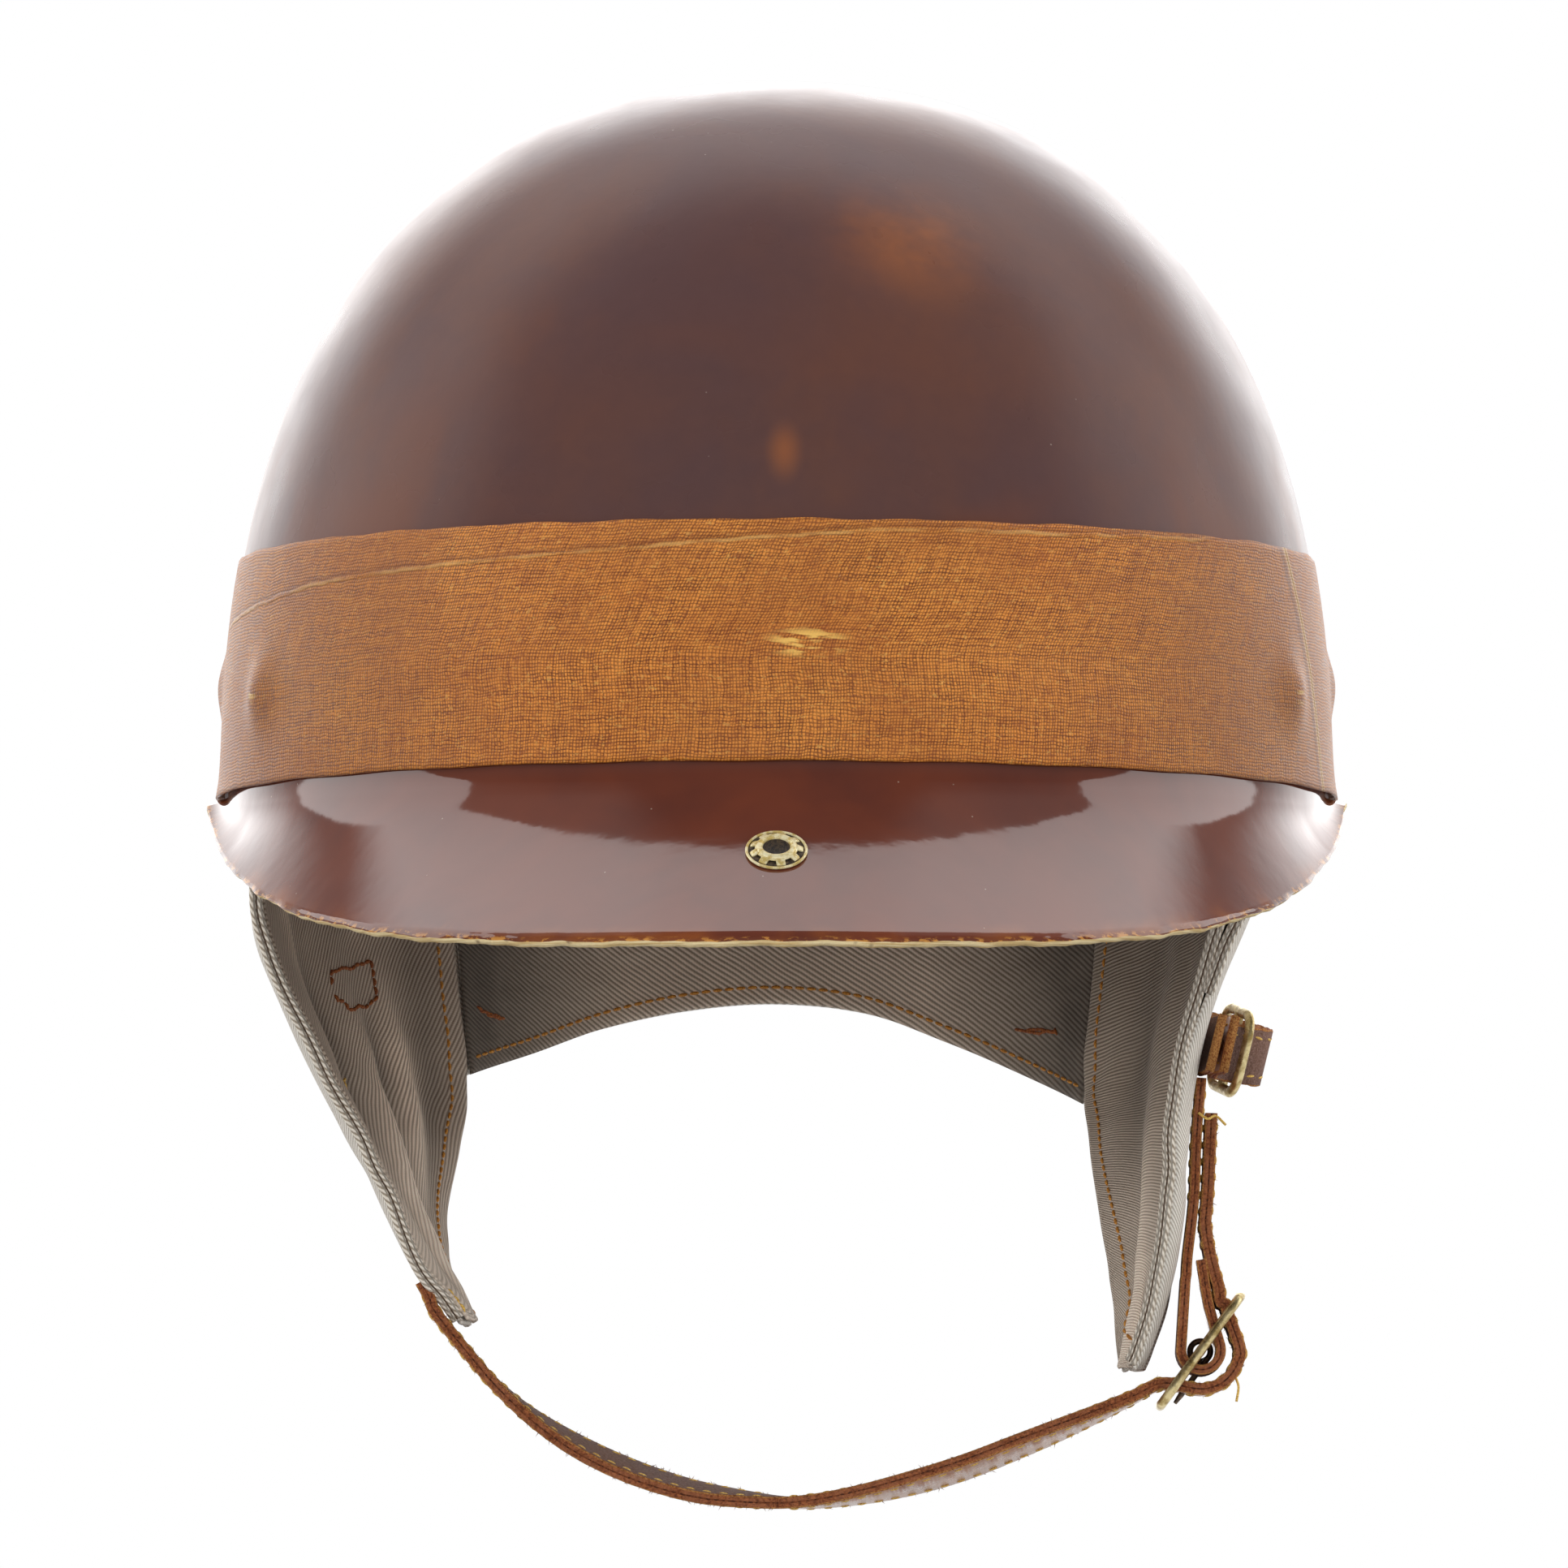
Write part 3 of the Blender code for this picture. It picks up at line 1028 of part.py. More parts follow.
def cloth_spot(column, height):
    """The point of a column of cloth at this height, and the upward direction along the cloth there."""
    downs = np.linspace(0.01, 0.99, 60)
    line = column(downs)
    down = float(np.interp(-height, -line[:, 2], downs))
    half = NAPE_STRAP_WIDTH / 2 / max(np.linalg.norm(line[-1] - line[0]), NAPE_STRAP_WIDTH)
    ends = column(np.clip([down - half, down + half], 0, 1))
    return ends.mean(axis=0), unit(ends[0] - ends[1])


def nape_frame():
    """The nape buckle's centre and axes: the strap comes from the rear, the bar stands upright."""
    downs = np.linspace(0.01, 0.99, 60)
    line = flap_surface("left", 0.5, downs)
    down = float(np.interp(-NAPE_BAR_Z, -line[:, 2], downs))
    row = flap_surface("left", np.linspace(0, 1, 60), down)
    across = float(np.interp(NAPE_BAR_Y, row[:, 1], np.linspace(0, 1, 60)))
    spot, bar = cloth_spot(lambda downs: flap_surface("left", across, downs), NAPE_BAR_Z)
    rear = unit(np.array([0.0, 1.0, 0.0]) - bar * bar[1])
    away = np.cross(rear, bar)
    lean = math.radians(NAPE_BUCKLE_LEAN)
    pull = rear * math.cos(lean) - away * math.sin(lean)
    out = away * math.cos(lean) + rear * math.sin(lean)
    return spot + away * NAPE_BAR_STAND_OFF, pull, out, bar, rear, away


def nape_stand(y, height, bar, width):
    """How far out a strap's middle lies beside the left flap, with its width along bar."""
    near = NAPE_STRAP_WIDTH / 4
    return max(flap_reach("left", y - near, y + near, height + part * width * bar[2]) - part * width * bar[0]
               for part in (-0.5, -0.25, 0.0, 0.25, 0.5))


def build_nape_straps():
    centre, pull, out, bar, rear, away = nape_frame()
    buckle_frame("nape_buckle_frame", centre, pull, out, bar, NAPE_BUCKLE_LENGTH, NAPE_BUCKLE_INNER_WIDTH)
    buckle_tongue("nape_buckle_tongue", centre, pull, out, bar, NAPE_BUCKLE_LENGTH)
    loop = BUCKLE_PIN_RADIUS + TONGUE_COIL_CLEARANCE + 2 * TONGUE_WIRE_RADIUS + FIT_GAP + NAPE_STRAP_WALL / 2
    stand = CLOTH_OUTER / 2 + NAPE_STRAP_WALL / 2 + 2 * STRAP_CLEARANCE
    lap = []
    for step in NAPE_LAP_SHARES:
        y = centre[1] - NAPE_CHAPE_REACH * step
        lap.append(np.array([nape_stand(y, centre[2], bar, NAPE_STRAP_WIDTH) + stand, y, centre[2]]))
    bends = np.radians(np.linspace(185, -35, 10))
    around = [centre + loop * (away * math.cos(b) + rear * math.sin(b)) for b in bends]
    leave = away * math.sin(bends[-1]) - rear * math.cos(bends[-1])
    path = np.vstack([smooth_curve(lap + [around[0]], 12)[:-1], around, around[-1] + leave * NAPE_STRAP_WALL])
    chape = ribbon("nape_chape", path, bar, NAPE_STRAP_WIDTH, NAPE_STRAP_WALL, "leather")
    outer = loop + NAPE_STRAP_WALL / 2 + FIT_GAP
    slot = slot_cutter("nape_chape_slot", centre, pull, out, bar, SLOT_ANGLES, outer, SLOT_WIDTH)
    boolean(chape, slot)

    over = outer + NAPE_STRAP_WALL / 2 + STRAP_CLEARANCE
    half = NAPE_BUCKLE_LENGTH / 2
    clear = BUCKLE_BAR / 2 + NAPE_STRAP_WALL / 2 + STRAP_CLEARANCE
    bends = np.radians(np.linspace(56, -40, 7))
    weave = [centre + pull * half * NAPE_ARRIVE_SHARE - away * clear * NAPE_WEAVE_SHARE]
    weave += [centre + over * (away * math.cos(b) + rear * math.sin(b)) for b in bends]
    weave.append(centre - pull * half - away * clear * NAPE_WEAVE_SHARE)
    billet = [weave[-1] - rear * NAPE_BILLET_LENGTH * share for share in NAPE_BILLET_SHARES]
    route, widths = nape_line(np.linspace(0, 1, 28))
    ends = np.tile(bar, (len(weave) + len(billet), 1))
    table = np.hstack([np.vstack([route, weave, billet]), np.vstack([widths, ends]) * NAPE_STRAP_WIDTH])
    table = strap_stations(table, weave[0], NAPE_STATIONS)
    strap = ribbon("nape_strap", table[:, :3], table[:, 3:], NAPE_STRAP_WIDTH, NAPE_STRAP_WALL, "leather")
    hole = slot_cutter("nape_strap_hole", centre, pull, out, bar, HOLE_ANGLES, half, SLOT_WIDTH / 2)
    boolean(strap, hole)
    build_loops(stand)


def build_loops(stand):
    """Two flat cloth loops on the curtain that keep the nape strap in place."""
    for name, share in zip(("nape_loop_right", "nape_loop_left"), NAPE_LOOP_SHARES):
        (middle, ahead), (up, _) = nape_line([share, share + 0.01])
        along = unit(ahead - middle)
        out = np.cross(along, up)
        out = out if out[1] > 0 else -out
        half_wall = NAPE_STRAP_WALL / 2 + STRAP_CLEARANCE + LOOP_WALL / 2
        half_width = NAPE_STRAP_WIDTH / 2 + 2 * STRAP_CLEARANCE + LOOP_WALL / 2
        inner = -(stand + CURTAIN_WAVE - CLOTH_OUTER / 2 - LOOP_WALL / 2 - FIT_GAP)
        ends = (
            (half_width + 2 * LOOP_WALL, inner),
            (half_width, half_wall * LOOP_SHOULDER_SHARE),
            (half_width * LOOP_TOP_SHARE, half_wall),
        )
        outline = list(ends) + [(-u, v) for u, v in reversed(ends)]
        path = np.array([middle + up * u + out * v for u, v in outline])
        ribbon(name, path, along, LOOP_WIDTH, LOOP_WALL, "leather")


def build_helmet():
    cutters = rivet_cutters()
    holes = joined_cutter("rivet_holes", cutters)
    build_shell(holes)
    build_band()
    build_hanger(holes)
    build_sweatband()
    build_cork()
    build_rivets()
    build_tapes(cutters)
    build_peak()
    for side in ("right", "left"):
        build_flap(side)
    build_curtain()
    build_chin_straps()
    build_nape_straps()


build_helmet()
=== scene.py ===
"""Looks of a half-shell racing helmet: lacquered dome and peak, varnished linen band, twill flaps,
a neck curtain and stitched leather straps with brass buckles.

The frame is the part's own: metres, -Y is the front, +X is the wearer's left, +Z is up, and the
origin is the centre of the head opening. Angles go from the front towards the wearer's left.
"""

import math

import bmesh
import bpy
import numpy as np
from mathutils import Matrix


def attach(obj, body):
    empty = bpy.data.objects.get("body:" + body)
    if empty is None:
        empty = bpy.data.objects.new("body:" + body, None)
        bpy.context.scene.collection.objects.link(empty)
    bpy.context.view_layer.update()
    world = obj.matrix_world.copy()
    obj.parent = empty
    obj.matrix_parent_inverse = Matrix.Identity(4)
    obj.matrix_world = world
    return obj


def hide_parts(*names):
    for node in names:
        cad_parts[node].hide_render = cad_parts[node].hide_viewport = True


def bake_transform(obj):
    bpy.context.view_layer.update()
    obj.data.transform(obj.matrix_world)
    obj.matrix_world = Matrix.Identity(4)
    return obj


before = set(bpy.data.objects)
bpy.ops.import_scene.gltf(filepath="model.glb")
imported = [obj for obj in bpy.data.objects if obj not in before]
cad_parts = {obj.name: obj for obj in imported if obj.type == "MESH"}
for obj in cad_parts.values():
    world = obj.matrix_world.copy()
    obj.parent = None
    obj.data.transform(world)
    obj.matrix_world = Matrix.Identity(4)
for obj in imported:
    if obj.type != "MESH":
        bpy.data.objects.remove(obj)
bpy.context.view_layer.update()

# Sizes repeated from the part

SHELL_A, SHELL_B, SHELL_H = 0.1085, 0.1275, 0.1405
SHELL_WALL, SHELL_POWER, RIM_DROP = 0.0045, 2.35, 0.0015
GAP = 0.0003
PEAK_WALL, PEAK_FLANGE, PEAK_HALF_ANGLE = 0.0022, 0.0105, 85.0
PEAK_EDGE_A, PEAK_REACH, PEAK_DROP, PEAK_END_DROP = 0.112, 0.036, 0.0362, 0.0014
PEAK_POWER, PEAK_NECK, PEAK_SEAT, PEAK_CROWN = 3.2, 0.0056, 0.0004, -0.0004
EYELET_SHARE = 0.675
BAND_WALL, BAND_HEIGHT, BUMP_HEIGHT, BUMP_RADIUS = 0.0006, 0.0465, 0.0019, 0.0068
BAND_FLARE, BAND_FLARE_DEPTH, BAND_FLARE_ANGLE, BAND_FLARE_SPAN = 0.0011, 0.0042, 92.0, 13.0
RIVET_ANGLES = (2.0, 67.0, 95.0, 140.0, 180.0, 220.0, 265.0, 293.0)
RIVET_HEIGHTS = tuple(BAND_HEIGHT * s for s in (0.455, 0.38, 0.50, 0.455, 0.455, 0.455, 0.49, 0.38))
CLOTH_OUTER, CLOTH_LINING, CLOTH_TOP = 0.0011, 0.0009, -0.0002
CLOTH_A, CLOTH_B, FLAP_DROP = 0.1026, 0.1216, 0.103
CURTAIN_DROP, CURTAIN_TUCK, CURTAIN_FORWARD, CURTAIN_NARROW = 0.0347, 0.003, 0.0088, 0.075
CURTAIN_HEM = (1.47, 1.33, 1.16, 1.045, 1.0, 1.06, 1.25, 1.45, 1.64)
CURTAIN_WAVE, SEAM_GAP = 0.0008, 0.0016
FOLD_DEPTH, FOLD_WAVES = 0.0012, 3.0
SPREAD, SPREAD_END = 0.008, 0.45
STRAP_WALL, STRAP_WIDTH, CHAPE_WALL, STRAP_Y, CLEAR = 0.0024, 0.015, 0.0020, 0.0125, 0.0005
NAPE_WIDTH, NAPE_WALL = 0.0115, 0.0018
HANGER_INSET, HANGER_WALL, TAPE_WALL = 0.0048, 0.0012, 0.0009
TAPE_INSET = HANGER_INSET + HANGER_WALL + 0.0008
PIN, COIL_CLEAR, WIRE = 0.0010, 0.0004, 0.0006
BUCKLE_BAR, BUCKLE_CORNER = 0.0022, 0.0045
CHIN_BUCKLE = (0.0262, 0.0170)
NAPE_BUCKLE = (0.0205, 0.0135)
CORD_RADIUS, CORD_RING_A, CORD_RING_B, CORD_HEIGHT = 0.0016, 0.020, 0.0235, SHELL_H * 0.734
CORD_SLACK, CORK_NEAR, CORK_FAR = 0.0012, 0.0007, 0.0087

# Sizes of the looks alone

CAMERA_PLACE, CAMERA_TILT, CAMERA_VIEW = (0.00144, -3.993, -0.2314), 93.36, 4.418
FLOOR_SIDE, FLOOR_HEIGHT = 6.0, -0.31
TURNED_SIDES = 96
TOP_PITCH, TOP_LENGTH, TOP_RADIUS, HEM_LENGTH = 0.0024, 0.0021, 0.00034, 0.0022
SADDLE_PITCH, SADDLE_INSET, SADDLE_LENGTH, SADDLE_RADIUS = 0.0033, 0.0019, 0.0021, 0.00026
PIPING_RADIUS, THIN_PIPING_RADIUS, LOOSE_THREAD_RADIUS = 0.00066, 0.00062, 0.00028
STRAP_GROOVE, STRAP_ROUNDING = 0.00016, 0.00028
TONGUE_SLOT, TONGUE_SWEEP = 0.0046, (-25.0, 127.0)
PIN_SLOT, PIN_SWEEP, TONGUE_SHORT = 0.0023, (-4.0, 36.0), 0.0018
LINING_ROWS_OFF, EYELET_HOLE = 10, 0.0034

# Each flap: its front edge, then its rear edge, as shares of CLOTH_A, CLOTH_B and the drop; its swell
# from the rim to the tip; and its drop as a share of FLAP_DROP
FLAPS = {
    "right": (
        ((-0.989, -0.148, 0.0), (-0.996, -0.148, -0.155), (-0.972, -0.132, -0.301),
         (-0.870, -0.091, -0.515), (-0.812, -0.058, -0.621), (-0.749, -0.016, -0.748),
         (-0.689, 0.033, -0.890), (-0.640, 0.058, -0.953), (-0.604, 0.076, -1.0)),
        ((-0.672, 0.7405, 0.0), (-0.653, 0.707, -0.165), (-0.633, 0.673, -0.330),
         (-0.616, 0.640, -0.524), (-0.628, 0.543, -0.650), (-0.652, 0.411, -0.786),
         (-0.645, 0.296, -0.890), (-0.624, 0.226, -0.960), (-0.597, 0.200, -1.0)),
        (1.0, 0.95, 0.88, 0.78, 0.62, 0.34, 0.02, -0.10, -0.10), 1.0),
    "left": (
        ((0.989, -0.148, 0.0), (0.948, -0.148, -0.107), (0.887, -0.140, -0.205),
         (0.822, -0.115, -0.350), (0.785, -0.082, -0.455), (0.765, -0.049, -0.580),
         (0.757, -0.016, -0.715), (0.733, 0.016, -0.860), (0.700, 0.041, -0.965),
         (0.684, 0.058, -1.0)),
        ((0.672, 0.7405, 0.0), (0.656, 0.714, -0.116), (0.640, 0.688, -0.232),
         (0.624, 0.662, -0.360), (0.614, 0.640, -0.482), (0.620, 0.510, -0.600),
         (0.638, 0.370, -0.735), (0.656, 0.263, -0.870), (0.664, 0.205, -0.965),
         (0.666, 0.180, -1.0)),
        (1.0, 0.90, 0.76, 0.66, 0.62, 0.58, 0.54, 0.44, 0.30, 0.25), 1.087),
}

# Each fold: its share across at the top and bottom, its start and stop down the flap, width share, height
FOLDS = {
    "right": ((0.28, 0.34, -0.10, 0.42, 0.050, 0.0011), (0.42, 0.46, 0.20, 0.56, 0.055, -0.0018),
              (0.60, 0.60, 0.26, 0.96, 0.045, 0.0018), (0.67, 0.66, 0.26, 0.56, 0.040, -0.0016),
              (0.74, 0.80, 0.20, 0.64, 0.036, 0.0015), (0.89, 0.86, 0.06, 0.72, 0.070, -0.0012),
              (0.70, 0.70, -0.10, 0.24, 0.040, 0.0009)),
    "left": ((0.52, 0.94, 0.48, 1.10, 0.055, 0.0015), (0.70, 0.72, 0.20, 0.66, 0.100, -0.0011),
             (0.30, 0.34, 0.60, 1.10, 0.090, 0.0010)),
}


# Camera, light and floor: the camera looks a little upwards from 4 m in front

def build_studio():
    camera = bpy.data.cameras.new("camera")
    camera.angle = math.radians(CAMERA_VIEW)
    camera.clip_start, camera.clip_end = 0.1, 60.0
    view = bpy.data.objects.new("camera", camera)
    view.location = CAMERA_PLACE
    view.rotation_euler = (math.radians(CAMERA_TILT), 0.0, 0.0)
    bpy.context.scene.collection.objects.link(view)
    bpy.context.scene.camera = view
    bpy.context.scene.view_settings.view_transform = "Standard"

    def lamp(name, place, aim, width, height, power):
        data = bpy.data.lights.new(name, "AREA")
        data.shape, data.size, data.size_y, data.energy = "RECTANGLE", width, height, power
        light = bpy.data.objects.new(name, data)
        place, aim = np.array(place, float), np.array(aim, float)
        light.location = place
        away = place - aim
        light.rotation_euler = (math.atan2(math.hypot(away[0], away[1]), away[2]), 0.0,
                                math.atan2(away[0], -away[1]))
        light.visible_glossy = False
        bpy.context.scene.collection.objects.link(light)

    lamp("top_box", (0.0, 1.09, 1.7), (0.0, 1.09, 0.0), 10.0, 1.8, 104.0)
    lamp("front_fill", (-0.3, -2.5, 0.95), (0.0, 0.0, 0.0), 3.0, 1.8, 10.0)
    for name, x in (("left_wing", 1.7), ("right_wing", -1.7)):
        lamp(name, (x, -1.9, -0.02), (0.0, 0.0, -0.08), 1.2, 1.0, 13.5)

    world = bpy.data.worlds.new("studio")
    bpy.context.scene.world = world
    world.use_nodes = True
    tree = Nodes(world.node_tree, clear=True)
    path = tree.add("ShaderNodeLightPath")
    direction = tree.split(tree.add("ShaderNodeTexCoord").outputs["Generated"])
    sideways = tree.math("ABSOLUTE", direction[0])
    lifted = tree.times(tree.times(direction[2], 0.7), tree.smooth(sideways, 0.15, 0.5))
    behind = tree.smooth(tree.plus(direction[1], lifted), 0.10, 0.50)
    overhead = tree.smooth(direction[2], 0.2, 0.8)
    backdrop = tree.smooth(direction[1], 0.56, 0.99)
    bright = tree.mixf(tree.smooth(direction[2], 0.05, 0.35), 2.4, 4.2)
    mirror = tree.mixf(behind, tree.mixf(overhead, 0.18, 0.07), tree.mixf(backdrop, 0.32, bright))
    leaning = tree.math("DIVIDE", direction[1], tree.math("MAXIMUM", direction[2], 0.02))
    turned_out = tree.smooth(sideways, 0.70, 0.90)
    edge = tree.mixf(turned_out, 0.190, -0.3)
    panel = tree.times(tree.smooth(tree.math("SUBTRACT", leaning, edge), -0.008, 0.008),
                       tree.smooth(leaning, tree.mixf(turned_out, 0.98, 14.0),
                                   tree.mixf(turned_out, 0.62, 9.0)))
    mirror = tree.plus(mirror, tree.times(panel, 1.72))
    level = tree.smooth(tree.math("ABSOLUTE", direction[2]), 0.6, 0.1)
    around = tree.smooth(tree.math("MAXIMUM", sideways, direction[1]), 0.2, 0.7)
    ahead = tree.smooth(direction[1], -0.4, -0.9)
    light = tree.mixf(tree.times(level, around), 0.58, 1.15)
    light = tree.mixf(tree.times(level, ahead), light, 0.55)
    soft = tree.mixf(path.outputs["Is Glossy Ray"], light, mirror)
    plain = tree.math("MAXIMUM", path.outputs["Is Camera Ray"], path.outputs["Is Transmission Ray"])
    strength = tree.mixf(plain, soft, 1.0)
    sky = tree.add("ShaderNodeBackground")
    sky.inputs["Color"].default_value = rgb(1, 1, 1)
    tree.feed(sky.inputs["Strength"], strength)
    out = tree.add("ShaderNodeOutputWorld")
    tree.link(sky.outputs[0], out.inputs[0])

    x, y = np.meshgrid([-FLOOR_SIDE, FLOOR_SIDE], [-FLOOR_SIDE, FLOOR_SIDE])
    floor = grid_piece("floor", np.stack([x, y, 0 * x + FLOOR_HEIGHT], axis=-1), [floor_finish()])


# Node helpers

class Nodes:
    """Short ways to add and join nodes in one tree."""

    def __init__(self, tree, clear=False):
        self.tree = tree
        if clear:
            tree.nodes.clear()

    def add(self, kind, **settings):
        node = self.tree.nodes.new(kind)
        for key, value in settings.items():
            setattr(node, key, value)
        return node

    def link(self, source, target):
        self.tree.links.new(source, target)

    def feed(self, socket, value):
        if isinstance(value, bpy.types.NodeSocket):
            self.link(value, socket)
        elif value is not None:
            socket.default_value = value

    def math(self, operation, *values):
        node = self.add("ShaderNodeMath", operation=operation)
        for socket, value in zip(node.inputs, values):
            self.feed(socket, value)
        return node.outputs[0]

    def times(self, a, b):
        return self.math("MULTIPLY", a, b)

    def plus(self, a, b):
        return self.math("ADD", a, b)

    def smooth(self, value, low, high):
        """0 below low, 1 above high and a smooth step between them."""
        node = self.add("ShaderNodeMapRange", interpolation_type="SMOOTHSTEP")
        for socket, given in zip(node.inputs, (value, low, high, 0.0, 1.0)):
            self.feed(socket, given)
        return node.outputs[0]

    def ramp(self, value, low, high, start=0.0, stop=1.0):
        node = self.add("ShaderNodeMapRange")
        for socket, given in zip(node.inputs, (value, low, high, start, stop)):
            self.feed(socket, given)
        return node.outputs[0]

    def mixf(self, factor, a, b):
        node = self.add("ShaderNodeMix", data_type="FLOAT")
        for index, given in ((0, factor), (2, a), (3, b)):
            self.feed(node.inputs[index], given)
        return node.outputs[0]

    def mix(self, factor, a, b, blend="MIX"):
        node = self.add("ShaderNodeMix", data_type="RGBA", blend_type=blend)
        for index, given in ((0, factor), (6, a), (7, b)):
            self.feed(node.inputs[index], given)
        return node.outputs[2]

    def tint(self, colour, mask, share, other):
        """The colour, turned towards another by a share of the mask."""
        return self.mix(self.times(mask, share), colour, other)

    def noise(self, vector, scale, detail=2.0, rough=0.5, warp=0.0):
        node = self.add("ShaderNodeTexNoise")
        for key, given in (("Vector", vector), ("Scale", scale), ("Detail", detail),
                           ("Roughness", rough), ("Distortion", warp)):
            self.feed(node.inputs[key], given)
        return node.outputs["Fac"]

    def cells(self, vector, scale):
        node = self.add("ShaderNodeTexVoronoi", feature="F1")
        self.feed(node.inputs["Vector"], vector)
        self.feed(node.inputs["Scale"], scale)
        return node.outputs["Distance"]

    def split(self, vector):
        node = self.add("ShaderNodeSeparateXYZ")
        self.feed(node.inputs[0], vector)
        return node.outputs

    def scaled(self, vector, factors):
        node = self.add("ShaderNodeVectorMath", operation="MULTIPLY")
        self.feed(node.inputs[0], vector)
        self.feed(node.inputs[1], factors)
        return node.outputs[0]

    def group(self, name, **values):
        node = self.add("ShaderNodeGroup")
        node.node_tree = bpy.data.node_groups[name]
        for key, value in values.items():
            self.feed(node.inputs[key.replace("_", " ")], value)
        return node.outputs

    def near(self, place, spot, radius):
        """1 at a spot and 0 beyond the radius."""
        node = self.add("ShaderNodeVectorMath", operation="DISTANCE")
        self.feed(node.inputs[0], place)
        self.feed(node.inputs[1], spot)
        return self.smooth(node.outputs["Value"], radius, 0.0)

    def bump(self, height):
        """A bump whose height is in metres."""
        node = self.add("ShaderNodeBump")
        self.feed(node.inputs["Height"], height)
        node.inputs["Distance"].default_value = 1.0
        node.inputs["Strength"].default_value = 1.0
        return node.outputs[0]


def group_tree(name, inputs, outputs):
    """A new node group with these sockets; each input is (name, kind, default)."""
    tree = bpy.data.node_groups.new(name, "ShaderNodeTree")
    for label, kind, default in inputs:
        socket = tree.interface.new_socket(label, in_out="INPUT", socket_type="NodeSocket" + kind)
        if default is not None:
            socket.default_value = default
    for label, kind in outputs:
        tree.interface.new_socket(label, in_out="OUTPUT", socket_type="NodeSocket" + kind)
    nodes = Nodes(tree)
    return nodes, nodes.add("NodeGroupInput").outputs, nodes.add("NodeGroupOutput").inputs


def build_groups():
    """Effects that several finishes use."""
    t, given, out = group_tree(
        "mottle", [("Vector", "Vector", None), ("Scale", "Float", 30.0), ("Contrast", "Float", 0.3)],
        [("Mask", "Float")])
    large = t.noise(given["Vector"], given["Scale"], 3.0, 0.55, 0.4)
    low = t.math("SUBTRACT", 0.5, given["Contrast"])
    high = t.plus(0.5, given["Contrast"])
    t.link(t.smooth(large, low, high), out["Mask"])

    t, given, out = group_tree(
        "specks", [("Vector", "Vector", None), ("Scale", "Float", 200.0), ("Size", "Float", 0.12),
                   ("Share", "Float", 0.3)], [("Mask", "Float")])
    near = t.cells(given["Vector"], given["Scale"])
    spot = t.smooth(near, given["Size"], 0.0)
    chance = t.noise(given["Vector"], t.times(given["Scale"], 0.31), 0.0)
    some = t.smooth(chance, t.math("SUBTRACT", 0.72, given["Share"]), t.math("SUBTRACT", 0.78, given["Share"]))
    t.link(t.times(spot, some), out["Mask"])

    t, given, out = group_tree(
        "twill", [("Vector", "Vector", None), ("Pitch", "Float", 0.0008), ("Angle", "Float", 0.6)],
        [("Height", "Float"), ("Shade", "Float")])
    u, v, _ = t.split(given["Vector"])
    sine, cosine = t.math("SINE", given["Angle"]), t.math("COSINE", given["Angle"])
    sway = t.times(t.noise(given["Vector"], 120.0, 1.0), t.times(given["Pitch"], 0.6))
    a = t.plus(t.plus(t.times(u, cosine), t.times(v, sine)), sway)
    b = t.math("SUBTRACT", t.times(v, cosine), t.times(u, sine))
    turn = t.times(t.math("DIVIDE", a, given["Pitch"]), math.pi)
    rib = t.math("POWER", t.math("ABSOLUTE", t.math("SINE", turn)), 1.5)
    along = t.times(t.math("DIVIDE", b, given["Pitch"]), 2 * math.pi)
    thread = t.math("SINE", t.plus(t.times(along, 1.3), t.times(turn, 2.0)))
    height = t.plus(t.times(rib, 0.8), t.times(thread, 0.05))
    t.link(height, out["Height"])
    t.link(t.smooth(t.plus(height, t.times(t.noise(given["Vector"], 2500.0), 0.2)),
                    0.12, 0.88), out["Shade"])

    t, given, out = group_tree(
        "plain_weave", [("Vector", "Vector", None), ("Thread", "Float", 0.00065), ("Sway", "Float", 0.25)],
        [("Height", "Float"), ("Shade", "Float"), ("Slub", "Float")])
    sway = t.times(t.math("SUBTRACT", t.noise(given["Vector"], 260.0, 1.0), 0.5),
                   t.times(given["Thread"], t.times(given["Sway"], 8.0)))
    u, v, _ = t.split(given["Vector"])
    u, v = t.plus(u, sway), t.math("SUBTRACT", v, sway)
    across = t.times(t.math("DIVIDE", u, given["Thread"]), math.pi)
    upward = t.times(t.math("DIVIDE", v, given["Thread"]), math.pi)
    check = t.times(t.math("SINE", across), t.math("SINE", upward))
    crown = t.times(t.math("ABSOLUTE", t.math("SINE", across)),
                    t.math("ABSOLUTE", t.math("SINE", upward)))
    warp = t.smooth(check, -0.15, 0.15)
    t.link(t.plus(crown, t.times(warp, 0.25)), out["Height"])
    slub = t.noise(t.scaled(given["Vector"], (90.0, 1500.0, 1.0)), 1.0, 2.0)
    pulled = t.noise(t.scaled(given["Vector"], (1500.0, 90.0, 1.0)), 1.0, 2.0)
    slubs = t.mixf(warp, slub, pulled)
    t.link(slubs, out["Slub"])
    t.link(t.smooth(t.math("MULTIPLY_ADD", slubs, 0.75, t.times(crown, 0.42)), 0.25, 0.80), out["Shade"])

    t, given, out = group_tree(
        "hide_grain", [("Vector", "Vector", None), ("Scale", "Float", 900.0)],
        [("Height", "Float"), ("Shade", "Float")])
    pores = t.cells(given["Vector"], given["Scale"])
    fibres = t.noise(given["Vector"], t.times(given["Scale"], 0.6), 4.0, 0.65, 0.6)
    t.link(t.plus(t.times(pores, 0.6), t.times(fibres, 0.6)), out["Height"])
    t.link(t.smooth(t.noise(given["Vector"], t.times(given["Scale"], 0.12), 3.0, 0.6), 0.3, 0.7),
           out["Shade"])


